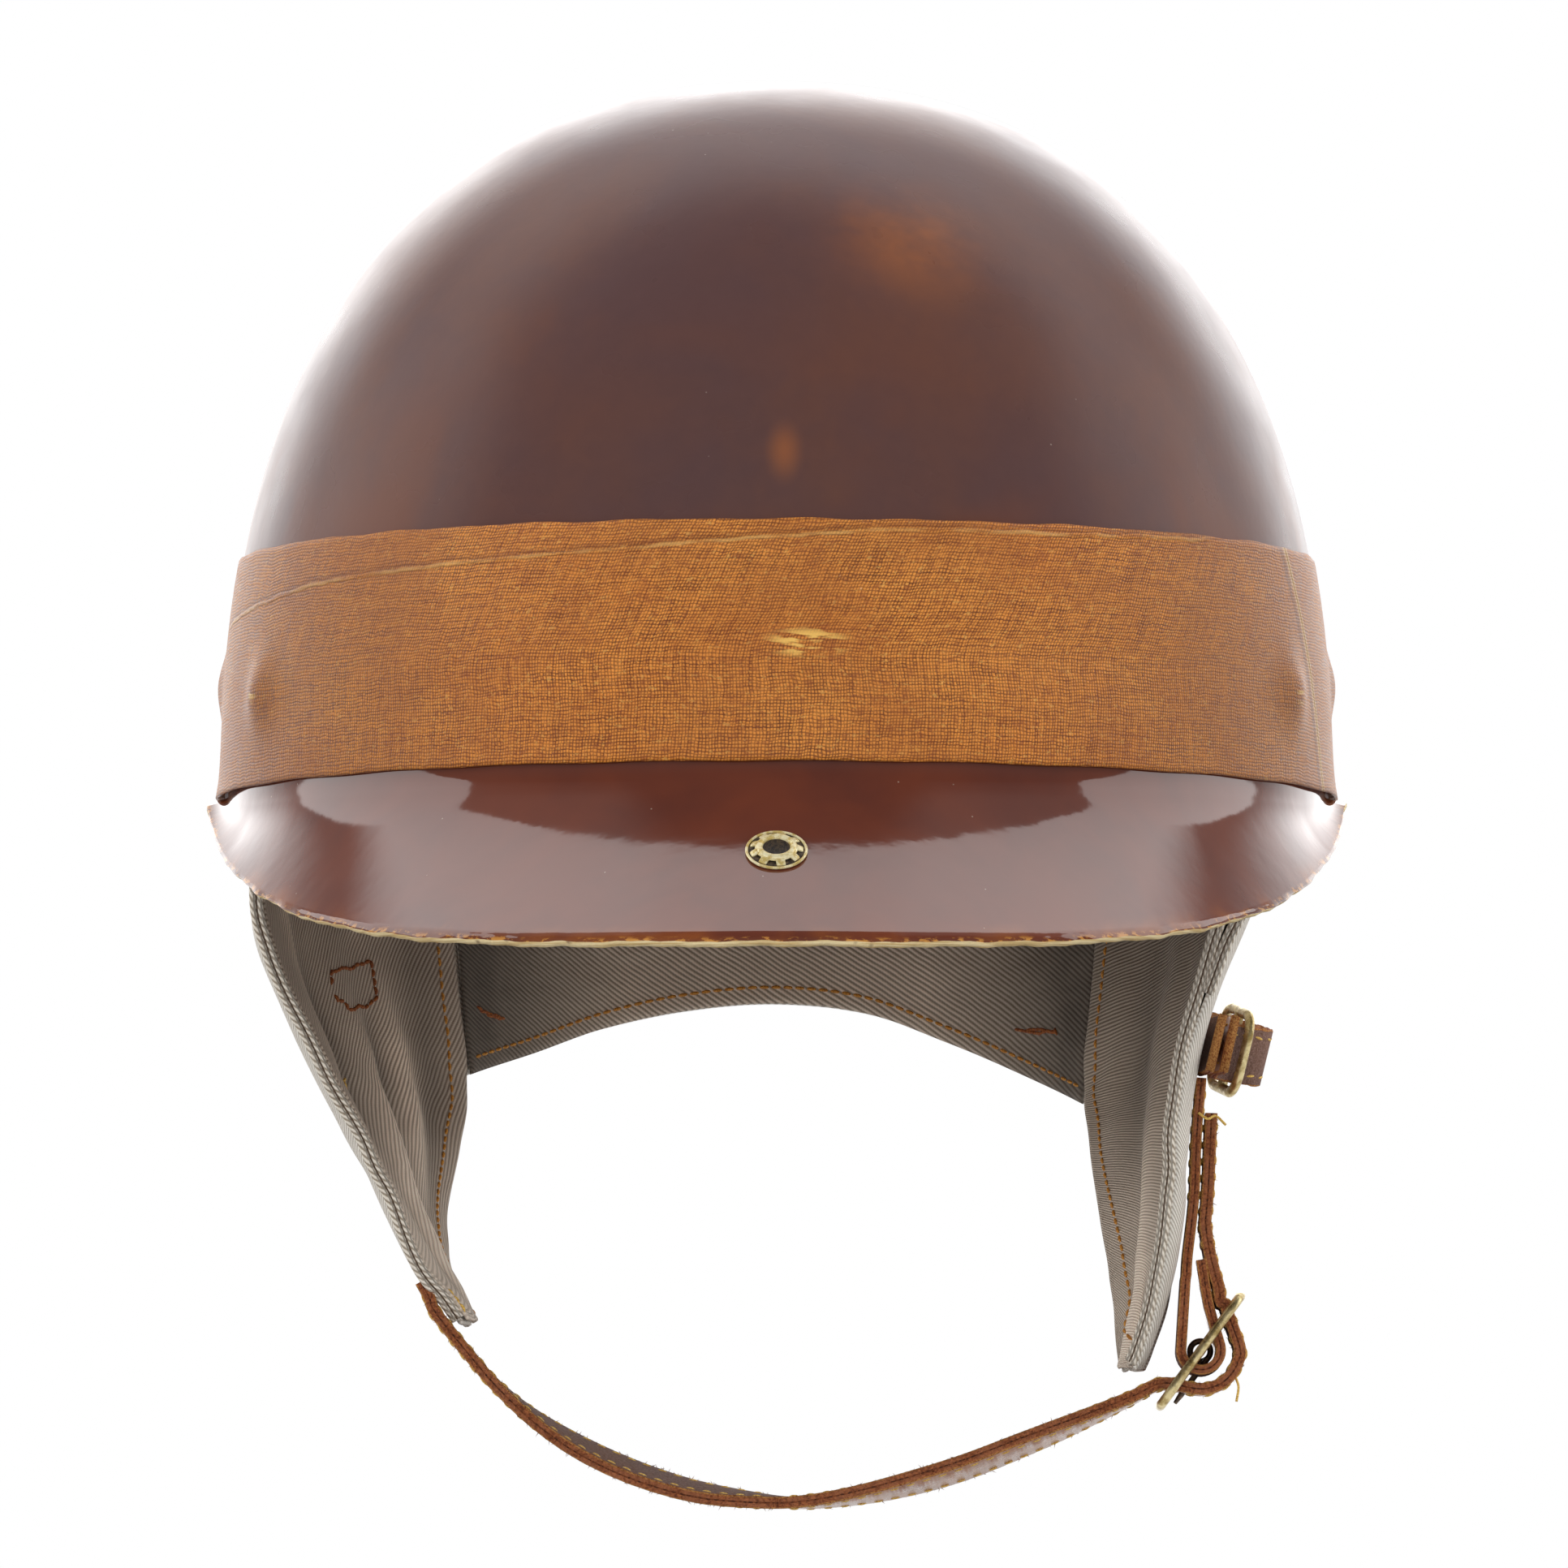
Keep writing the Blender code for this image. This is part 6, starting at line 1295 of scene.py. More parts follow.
def build_flap(side, finish_of):
    """One ear flap: outer twill, lining, piped front seam and the orange topstitching."""
    columns, rows = 72, 110
    grid, _, _ = flap_grid(side, columns, rows)
    outer = cloth_piece(f"{side}_flap_cloth", grid, CLOTH_OUTER, [finish_of["twill"]])
    inner, across, down = lining_grid(side, columns, rows)
    skip = LINING_ROWS_OFF if side == "left" else 0
    inner = inner[skip:]
    name = "left_lining" if side == "left" else "lining"
    # The fold attribute drives painted shade and painted light on the lining: darker where the folds are
    # negative, lighter where they are positive.
    shade = np.clip(fold_heights(side, across, down)[skip:] / 0.0011, -1, 1)
    lining = cloth_piece(f"{side}_flap_lining_cloth", inner, CLOTH_LINING, [finish_of[name]],
                         values={"fold": shade})
    out_sign = -1 if side == "right" else 1

    front = grid[2:-3, 0]
    nearby = grid[2:-3, 3]
    out = normals(grid)[2:-3, 0]
    out = out * np.sign(out[:, :1]) * out_sign
    lining_front, lining_near = inner[1:-3, 0], inner[1:-3, 3]
    if side == "left":
        keep = front[:, 2] > -0.040
        pipes = beads("left_outer_piping", front[keep], nearby[keep], out[keep], THIN_PIPING_RADIUS, finish_of)
        centre = lining_front * 0.75 + grid[skip + 1:-3, 0] * 0.25
        centre_near = lining_near * 0.75 + grid[skip + 1:-3, 3] * 0.25
        lining_out = normals(inner)[1:-3, 0]
        lining_out = lining_out * np.sign(lining_out[:, :1]) * out_sign
        pipes += beads("left_piping", centre, centre_near, lining_out, PIPING_RADIUS, finish_of)
    else:
        pipes = beads("right_piping", front, nearby, out, PIPING_RADIUS, finish_of)
    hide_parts(f"{side}_flap_piping")

    stitched = []
    inside = normals(inner)
    inside = inside * np.sign(np.sum(inside[len(inside) // 2, columns // 2] * [-out_sign, 0, 0]))
    width = travelled(inner, 1)[:, -1]
    down = np.linspace(0.03, 0.955, 120)
    rear_share = 1 - 0.0052 / np.maximum(np.interp(down, np.linspace(0, 1, len(width)), width), 0.012)
    places = np.column_stack([rear_share, down])
    outside = normals(grid)
    outside = outside * np.sign(np.sum(outside[rows // 2, columns // 2] * [out_sign, 0, 0]))
    for label, cloth, facing, wall in (("inside", inner, inside, CLOTH_LINING),
                                       ("outside", grid, outside, CLOTH_OUTER)):
        away = line_on(facing, places)
        stitched.append(stitch_row(f"{side}_rear_stitch_{label}", line_on(cloth, places) + away * (wall / 2),
                                   away, TOP_PITCH, TOP_LENGTH, TOP_RADIUS, finish_of["orange_thread"]))
    if side == "right":
        lift = CLOTH_LINING / 2
        box = ((-88.9, -35.0), (-89.0, -32.0), (-84.8, -30.6), (-81.6, -29.0), (-80.9, -32.4), (-80.2, -36.0),
               (-81.2, -37.6), (-85.4, -39.4), (-88.4, -37.0))
        stitched.append(sewn_mark("right_box_stitch", inner, inside, lift, box, 0.0021, 0.0021, 0.00042,
                                  finish_of["rust_thread"]))
        for number, line in enumerate((((-85.9, -54.0), (-85.4, -57.0)), ((-65.2, -96.4), (-64.4, -101.6)))):
            stitched.append(sewn_mark(f"right_loose_stitch_{number}", inner, inside, lift, line, 0.0020, 0.0022,
                                      0.00030, finish_of["saddle_thread"]))
    for piece in (outer, lining, *stitched):
        bend_with(piece)
    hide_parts(f"{side}_flap")
    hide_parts(f"{side}_flap_lining")
    return grid, inner, inside


def curtain_surface(turns, downs):
    """The curtain's middle surface. turns runs -1 to 1 from the right to the left seam, downs 0 to 1.

    Each column drops from the rim's ellipse to the hem, whose depth is read from a table, and tucks
    forwards; a slow wave runs along the hem.
    """
    corner = math.degrees(math.asin(0.672)) - math.degrees(SEAM_GAP / CLOTH_A)
    turns, downs = np.broadcast_arrays(np.asarray(turns, dtype=float), np.asarray(downs, dtype=float))
    rim = plan_point(180.0 - corner * turns, CLOTH_A, CLOTH_B)
    pull = turns**2
    hem_x = rim[..., 0] * (1 - CURTAIN_NARROW * pull)
    hem_y = rim[..., 1] - CURTAIN_TUCK - CURTAIN_FORWARD * pull
    hem_z = -CURTAIN_DROP * smooth_values(CURTAIN_HEM, (turns + 1) / 2)
    x = rim[..., 0] + (hem_x - rim[..., 0]) * downs
    y = rim[..., 1] + (hem_y - rim[..., 1]) * downs
    y = y + CURTAIN_WAVE * np.sin(turns * 9.0) * np.sin(downs * math.pi / 2) * (1 - pull)
    z = CLOTH_TOP + (hem_z - CLOTH_TOP) * downs
    return np.stack([x, y, z], axis=-1)


def build_curtain(finish_of):
    turns, downs = np.meshgrid(np.linspace(-1, 1, 150), np.linspace(0, 1, 44))
    grid = curtain_surface(turns, downs)
    out = normals(grid)
    out = out * np.sign(out[22, 75, 1])
    outer = cloth_piece("neck_curtain_cloth", grid, CLOTH_OUTER, [finish_of["twill"]])
    step = CLOTH_OUTER / 2 + CLOTH_LINING / 2 + 2 * GAP
    inner = grid - out * step
    lining = cloth_piece("neck_curtain_lining_cloth", inner, CLOTH_LINING, [finish_of["curtain_lining"]])
    length = travelled(inner, 0)[-1]
    share = 1 - 0.0032 / length
    places = np.column_stack([np.linspace(0.01, 0.99, 150), share])
    route = line_on(inner - out * CLOTH_LINING / 2, places)
    hem_in = stitch_row("curtain_hem_stitch_inside", route, line_on(-out, places), TOP_PITCH, HEM_LENGTH,
                        TOP_RADIUS, finish_of["orange_thread"])
    route = line_on(grid + out * CLOTH_OUTER / 2, places)
    hem_out = stitch_row("curtain_hem_stitch_outside", route, line_on(out, places), TOP_PITCH, TOP_LENGTH,
                         TOP_RADIUS, finish_of["orange_thread"])
    tacks = []
    for number, line in enumerate((((-60.4, -37.2), (-57.6, -38.8), (-55.2, -39.0), (-58.8, -38.0)),
                                   ((48.4, -40.8), (52.0, -41.8), (56.6, -41.6), (51.0, -40.9)))):
        tacks.append(sewn_mark(f"curtain_tack_{number}", inner, -out, CLOTH_LINING / 2, line, 0.0011, 0.0022,
                               0.00034, finish_of["rust_thread"]))
    for piece in (outer, lining, hem_in, hem_out, *tacks):
        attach(piece, "helmet")
    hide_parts("neck_curtain")
    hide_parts("neck_curtain_lining")


# Straps and buckles

def strap_profile(width, wall):
    """A strap's section: two layers with rounded corners and a fine groove between them at each side."""
    a, b, r, g = width / 2, wall / 2, STRAP_ROUNDING, STRAP_GROOVE
    right = [(a - r, -b), (a, -b + r), (a, -g), (a - g * 1.6, 0.0), (a, g), (a, b - r), (a - r, b)]
    left = [(-u, -w) for u, w in right]
    return np.array(right + left)


# The finish of each side of a strap's section: 0 grain, 1 suede, 2 cut edge, 3 seam, 4 burr
STRAP_SLOTS = (4, 2, 3, 3, 2, 4, 0, 4, 2, 3, 3, 2, 4, 1)


def strap_piece(name, path, across, width, wall, finish_of, grain_below=False):
    """A strap along a path with ragged cut edges: a grain face, a suede face, two plies and their seam.

    The grain side is the one that the path's direction crossed with across points to, or the other.
    """
    rows = len(path)
    slots = [1 - slot if grain_below and slot < 2 else slot for slot in STRAP_SLOTS]
    profile = np.tile(strap_profile(width, wall), (rows, 1, 1))
    walk = np.arange(rows)
    for k in range(profile.shape[1]):
        ragged = (0.00010 * np.sin(walk * (1.7 + 0.31 * k) + 2.1 * k)
                  + 0.00008 * np.sin(walk * (0.73 + 0.17 * k) + k))
        profile[:, k, 0] += ragged * np.sign(profile[:, k, 0])
    finishes = [finish_of[key] for key in ("leather", "suede", "cut_edge", "ply_seam", "burr")]
    return sweep(name, path, across, profile, finishes, slots=np.array(slots))


def strap_threads(name, path, across, width, wall, finish_of):
    """Saddle stitches along both edges of a strap, on both of its faces."""
    along, across, normal = path_frame(path, across)
    gone = travelled(path, 0)
    marks = np.arange(SADDLE_PITCH, gone[-1] - SADDLE_PITCH / 2, SADDLE_PITCH)
    read = lambda table: read_at(marks, gone, table)
    made = []
    for side in (-1, 1):
        for face in (-1, 1):
            at = path + across * side * (width / 2 - SADDLE_INSET) + normal * face * (wall / 2 - 0.00004)
            made.append((read(at), read(along) + 0.16 * side * read(across), read(normal) * face))
    at, lie, out = (np.concatenate(v) for v in zip(*made))
    return stitches(name, at, lie, out, SADDLE_LENGTH, SADDLE_RADIUS, finish_of["saddle_thread"], 0.12)


def fibres(name, path, across, width, wall, finish_of, count, seed):
    """Short fibres standing off a strap's cut edges: three-sided spikes at random places and leans."""
    along, across, normal = path_frame(path, across)
    chance = np.random.default_rng(seed)
    at = chance.integers(1, len(path) - 1, count)
    side = chance.choice([-1.0, 1.0], count)
    depth = chance.uniform(-0.5, 0.5, count) * wall
    foot = path[at] + across[at] * (side * (width / 2 - 0.0001))[:, None] + normal[at] * depth[:, None]
    lean = (across[at] * (side * chance.uniform(0.1, 1.0, count))[:, None]
            + along[at] * chance.uniform(-1.2, 1.2, count)[:, None]
            + normal[at] * (np.sign(depth) * chance.uniform(0.2, 1.2, count))[:, None])
    lean = unit(lean) * chance.uniform(0.0003, 0.0011, count)[:, None]
    flat = unit(np.cross(lean, [0.3, 0.4, 0.86])) * 0.00009
    third = unit(np.cross(lean, flat)) * 0.00009
    points = np.stack([foot + flat, foot - flat * 0.5 + third, foot - flat * 0.5 - third, foot + lean], axis=1)
    base = np.arange(count)[:, None] * 4
    faces = np.concatenate([base + np.array(f) for f in ((0, 1, 3), (1, 2, 3), (2, 0, 3), (2, 1, 0))])
    return new_piece(name, points, faces, [finish_of["cut_edge"]])


def flap_reach(side, low_y, high_y, height):
    """How far out a flap's middle surface comes at this height, between two planes square to Y."""
    across, down = np.meshgrid(np.linspace(0, 1, 70), np.linspace(0, 1, 160))
    points = flap_surface(side, across, down).reshape(-1, 3)
    near = (np.abs(points[:, 2] - height) < FLAP_DROP / 100) & (points[:, 1] > low_y) & (points[:, 1] < high_y)
    return np.abs(points[near, 0]).max()


CHIN_CENTRE = np.array([0.0835, STRAP_Y, -0.1082])
CHIN_PULL = np.array([-math.cos(math.radians(53.8)), 0.0, -math.sin(math.radians(53.8))])
CHIN_OUT = np.array([math.sin(math.radians(53.8)), 0.0, -math.cos(math.radians(53.8))])
CHIN_BAR = np.array([0.0, 1.0, 0.0])
# The hanging strap's (x, z), as shares of its half span and of its depth
CHIN_PATH = ((-0.500, -0.795), (-0.455, -0.838), (-0.395, -0.882), (-0.320, -0.923), (-0.235, -0.957),
             (-0.140, -0.983), (-0.045, -0.996), (0.035, -1.0), (0.125, -0.991), (0.215, -0.974),
             (0.305, -0.951), (0.400, -0.919), (0.495, -0.885), (0.580, -0.852))


def chin_lines():
    """The chape's line round the buckle bar, and the strap's line from the right flap through the buckle."""
    loop = PIN + COIL_CLEAR + 2 * WIRE + GAP + CHAPE_WALL / 2
    stand = CLOTH_OUTER / 2 + CHAPE_WALL / 2 + 2 * CLEAR
    low_y, high_y = STRAP_Y - STRAP_WIDTH / 2, STRAP_Y + STRAP_WIDTH / 2
    lap = []
    for share in np.linspace(0.53, 0.80, 5):
        reach = flap_reach("left", low_y, high_y, -FLAP_DROP * share)
        lap.append(np.array([reach + stand, STRAP_Y, -FLAP_DROP * share]))
    bends = np.radians(np.linspace(175, 375, 25))
    around = np.stack([CHIN_CENTRE[0] + loop * np.cos(bends), 0 * bends + STRAP_Y,
                       CHIN_CENTRE[2] + loop * np.sin(bends)], axis=1)
    inner_leg = lap[-1] - np.array([CHAPE_WALL / 2, 0, 2 * CHAPE_WALL])
    back = inner_leg + np.array([CHAPE_WALL + CLEAR, 0, -2 * CHAPE_WALL])
    middle = (around[-1] + back) / 2 - [CHAPE_WALL / 4, 0, 0]
    chape = np.vstack([smooth_curve(lap + [inner_leg, around[0]], 60)[:-1], around,
                       smooth_curve([around[-1], middle, back], 14)[1:]])
    chape[:44, 0] = eased(chape[:44, 0], 15)
    outer = loop + CHAPE_WALL / 2 + GAP

    stand = CLOTH_OUTER / 2 + STRAP_WALL / 2 + 2 * CLEAR
    start = []
    for share, part in ((0.92, 0.1), (0.95, 0.5), (0.98, 1.0)):
        reach = flap_reach("right", low_y, high_y, -FLAP_DROP * share)
        start.append([-reach - stand * part, STRAP_Y, -FLAP_DROP * share])
    size = np.array([1.17 * CLOTH_A, 0.138])
    free = [[x, STRAP_Y, z] for x, z in np.array(CHIN_PATH) * size]
    over = outer + STRAP_WALL / 2 + 2.4 * CLEAR
    half = CHIN_BUCKLE[0] / 2
    clear = BUCKLE_BAR / 2 + STRAP_WALL / 2 + CLEAR
    bends = np.radians(np.linspace(-100, 5, 6))
    weave = [CHIN_CENTRE + CHIN_PULL * half + [0, 0, clear * 1.452]]
    weave += [CHIN_CENTRE + [over * math.cos(b), 0, over * math.sin(b)] for b in bends]
    weave.append(CHIN_CENTRE - CHIN_PULL * half - [clear * 1.12, 0, 0])
    beside = CHAPE_WALL / 2 + STRAP_WALL / 2 + 2 * CLEAR
    billet = [lap[k] + [beside + (CHAPE_WALL + CLEAR) * (k == 4), 0, 0] for k in (4, 3, 2, 1)]
    strap = smooth_curve(start + free + weave + billet, 560)
    strap[:, 1] = STRAP_Y
    rising = (strap[:, 0] > CHIN_CENTRE[0] - 0.01) & (strap[:, 2] > -0.099)
    height = strap[rising, 2]
    near = np.where(height > chape[-1, 2] + 0.001, np.interp(height, chape[59::-1, 2], chape[59::-1, 0]),
                    np.interp(height, chape[-14:, 2], chape[-14:, 0]))
    strap[rising, 0] = eased(np.minimum(strap[rising, 0], near + beside - CLEAR), 31)
    return chape, strap, outer


def eased(numbers, window):
    """A running mean over an odd window; the ends are repeated so that the first and last stay near."""
    wide = np.pad(numbers, window // 2, mode="edge")
    return np.convolve(wide, np.ones(window) / window, mode="valid")


def slot_cut(piece, centre, pull, out, bar, angles, near, depth, width):
    """Cuts the wedge that the tongue sweeps through: rays round the bar from near to depth."""
    turn = np.radians(np.linspace(angles[0], angles[1], 14))[:, None]
    ray = pull * np.cos(turn) + out * np.sin(turn)
    sections = np.stack([centre + ray * r + bar * s * width / 2
                         for r, s in ((near, -1), (depth, -1), (depth, 1), (near, 1))], axis=1)
    sides = quads(14, 4, wrap_columns=True)
    cut_away(piece, sections, [*sides, np.arange(4)[::-1], np.arange(52, 56)])


def build_chin(finish_of):
    chape_line, strap_line, outer = chin_lines()
    chape = strap_piece("chin_chape_leather", chape_line, CHIN_BAR, STRAP_WIDTH, CHAPE_WALL, finish_of)
    slot_cut(chape, CHIN_CENTRE, CHIN_PULL, CHIN_OUT, CHIN_BAR, TONGUE_SWEEP, PIN, outer, TONGUE_SLOT)
    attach(chape, "left_side")
    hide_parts("chin_chape")
    lap_end = int(np.argmin(np.abs(chape_line[:60, 2] + 0.082)))
    threads = strap_threads("chin_chape_threads", chape_line[:lap_end], CHIN_BAR, STRAP_WIDTH, CHAPE_WALL,
                            finish_of)
    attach(threads, "left_side")

    share = np.linspace(0, 1, len(strap_line))
    tilt = np.radians(smooth_values((0.0, 1.0, 12.0, 10.0, -1.0, -10.0, -9.0, 0.0, 0.0, 0.0, 0.0), share))
    across = np.column_stack([0 * tilt, np.cos(tilt), np.sin(tilt)])
    middle = int(np.argmin(np.abs(strap_line[:, 0]) + 10 * (strap_line[:, 2] > -0.12)))
    for label, rows, bodies, ends in (
            ("right", slice(0, middle + 1), ("right_side", "helmet"), ((-0.058, 0.0, 0.0), (-0.002, 0.0, 0.0))),
            ("left", slice(middle, None), ("helmet", "left_side"), ((0.002, 0.0, 0.0), (0.058, 0.0, 0.0)))):
        line, wide = strap_line[rows], across[rows]
        strap = strap_piece(f"chin_strap_{label}_half", line, wide, STRAP_WIDTH, STRAP_WALL, finish_of, True)
        if label == "left":
            slot_cut(strap, CHIN_CENTRE, CHIN_PULL, CHIN_OUT, CHIN_BAR, PIN_SWEEP, PIN, CHIN_BUCKLE[0] / 2,
                     PIN_SLOT)
        sewn = strap_threads(f"chin_strap_{label}_threads", line, wide, STRAP_WIDTH, STRAP_WALL, finish_of)
        fuzz = fibres(f"chin_strap_{label}_fibres", line, wide, STRAP_WIDTH, STRAP_WALL, finish_of, 900, 7)
        for piece in (strap, sewn, fuzz):
            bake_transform(piece)
        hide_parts("chin_strap")
    build_buckle("chin", CHIN_CENTRE, CHIN_PULL, CHIN_OUT, CHIN_BAR, *CHIN_BUCKLE, finish_of)
    tip = strap_line[-1] + [0, -STRAP_WIDTH / 2 - 0.0006, -0.0010]
    knot = [tip + [x, y, z] for x, y, z in ((-0.0026, 0, 0.0010), (-0.0008, -0.0004, -0.0002),
                                            (0.0008, 0.0003, 0.0004), (0.0028, 0, -0.0014))]
    low = strap_line[np.argmax(strap_line[:, 0])] * [1, 0, 1]
    low = low + [-0.0012, STRAP_Y - STRAP_WIDTH / 2 + 0.002, -0.0040]
    hanging = [low + [0, 0, 0.0030], low, low + [0.0008, -0.0008, -0.0026], low + [0.0004, -0.0010, -0.0056]]
    for name, points in (("loose_knot", knot), ("loose_end", hanging)):
        piece = sweep(name, smooth_curve(points, 24), [0, 1.0, 0.2], circle(LOOSE_THREAD_RADIUS, 6),
                      [finish_of["saddle_thread"]])
        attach(piece, "left_side")


def build_buckle(kind, centre, pull, out, bar, length, inner_width, finish_of):
    """A rounded rectangular frame with its bar, and a wire tongue coiled twice round the bar."""
    half_length, half_width = length / 2, inner_width / 2 + BUCKLE_BAR / 2
    corner = min(BUCKLE_CORNER, half_length, half_width)
    bend = np.radians(np.linspace(0, 90, 11))
    outline = np.concatenate([
        np.stack([sx * (half_length - corner) + corner * np.cos(bend + q * math.pi / 2),
                  sy * (half_width - corner) + corner * np.sin(bend + q * math.pi / 2)], axis=1)
        for q, (sx, sy) in enumerate(((1, 1), (-1, 1), (-1, -1), (1, -1)))])
    path = centre + outline[:, :1] * pull + outline[:, 1:] * bar
    turn = np.arange(14) * 2 * math.pi / 14
    section = np.stack([np.cos(turn) * BUCKLE_BAR / 2, np.sin(turn) * BUCKLE_BAR / 2 * 0.88], axis=1)
    radial = unit(outline[:, :1] / half_length * pull + outline[:, 1:] / half_width * bar)
    ring = sweep(f"{kind}_buckle_ring", path, radial, section, [finish_of["brass"]], closed=True)
    pin_line = centre + np.linspace(-half_width, half_width, 24)[:, None] * bar
    pin = sweep(f"{kind}_buckle_pin", pin_line, pull, circle(PIN, 16), [finish_of["brass"]])
    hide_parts(f"{kind}_buckle_frame")
    for piece in (ring, pin):
        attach(piece, f"{kind}_frame")

    coil = PIN + COIL_CLEAR + WIRE
    rest = BUCKLE_BAR / 2 + WIRE + GAP
    tip = pull * (length / 2 - TONGUE_SHORT) + out * rest
    tip_angle = math.atan2(float(tip @ out), float(tip @ pull))
    start = tip_angle + math.acos(coil / (length / 2 - TONGUE_SHORT))
    turns = np.linspace(start, start + 4 * math.pi, 96)
    radial = pull * np.cos(turns)[:, None] + out * np.sin(turns)[:, None]
    coils = centre + radial * coil + bar * np.linspace(0, 0.0034, 96)[:, None]
    lead = coils[0] + (centre + tip - coils[0]) * np.linspace(1.0, 0.04, 22)[:, None]
    path = np.vstack([lead, coils])
    taper = np.interp(np.arange(len(path)), [0, 4], [0.62, 1.0])
    profile = circle(WIRE, 12)[None] * taper[:, None, None]
    tongue = sweep(f"{kind}_wire_tongue", path, bar, profile, [finish_of["wire"]])
    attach(tongue, f"{kind}_tongue")
    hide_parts(f"{kind}_buckle_tongue")


# The nape strap's depth below the rim along its way, as shares of FLAP_DROP
NAPE_HEIGHTS = (0.365, 0.355, 0.335, 0.305, 0.285, 0.275, 0.29, 0.335, 0.39, 0.435, 0.451)


def cloth_spot(column, height):
    """The point of a column of cloth at this height, and the upward direction along the cloth there."""
    downs = np.linspace(0.01, 0.99, 60)
    line = column(downs)
    down = float(np.interp(-height, -line[:, 2], downs))
    half = NAPE_WIDTH / 2 / max(np.linalg.norm(line[-1] - line[0]), NAPE_WIDTH)
    ends = column(np.clip([down - half, down + half], 0, 1))
    return ends.mean(axis=0), unit(ends[0] - ends[1])


def nape_line(shares):
    """The nape strap's route outside the cloth, and its width's direction at each point."""
    stand = CLOTH_OUTER / 2 + NAPE_WALL / 2 + 2 * CLEAR
    points, widths = [], []
    for share in np.asarray(shares, dtype=float):
        height = -FLAP_DROP * float(smooth_values(NAPE_HEIGHTS, share))
        if share < 0.25:
            across = float(np.interp(share, (0, 0.25), (0.42, 0.96)))
            spot, width = cloth_spot(lambda down: flap_surface("right", across, down), height)
        elif share <= 0.75:
            turn = float(np.interp(share, (0.25, 0.75), (-0.93, 0.93)))
            spot, width = cloth_spot(lambda down: curtain_surface(turn, down), height)
        else:
            across = float(np.interp(share, (0.75, 1), (0.96, 0.62)))
            spot, width = cloth_spot(lambda down: flap_surface("left", across, down), height)
        flat = unit([spot[0] / CLOTH_A**2, spot[1] / CLOTH_B**2, 0.0])
        points.append(spot + unit(flat - width * float(flat @ width)) * (stand + CURTAIN_WAVE))
        widths.append(width)
    return np.array(points), np.array(widths)


def nape_axes():
    """The nape buckle's centre and axes: the strap comes from the rear, the bar stands upright."""
    downs = np.linspace(0.01, 0.99, 60)
    line = flap_surface("left", 0.5, downs)
    down = float(np.interp(0.0465, -line[:, 2], downs))
    row = flap_surface("left", np.linspace(0, 1, 60), down)
    across = float(np.interp(0.026, row[:, 1], np.linspace(0, 1, 60)))
    spot, bar = cloth_spot(lambda d: flap_surface("left", across, d), -0.0465)
    rear = unit(np.array([0.0, 1.0, 0.0]) - bar * bar[1])
    away = np.cross(rear, bar)
    lean = math.radians(15.0)
    pull = rear * math.cos(lean) - away * math.sin(lean)
    out = away * math.cos(lean) + rear * math.sin(lean)
    return spot + away * 0.0073, pull, out, bar, rear, away


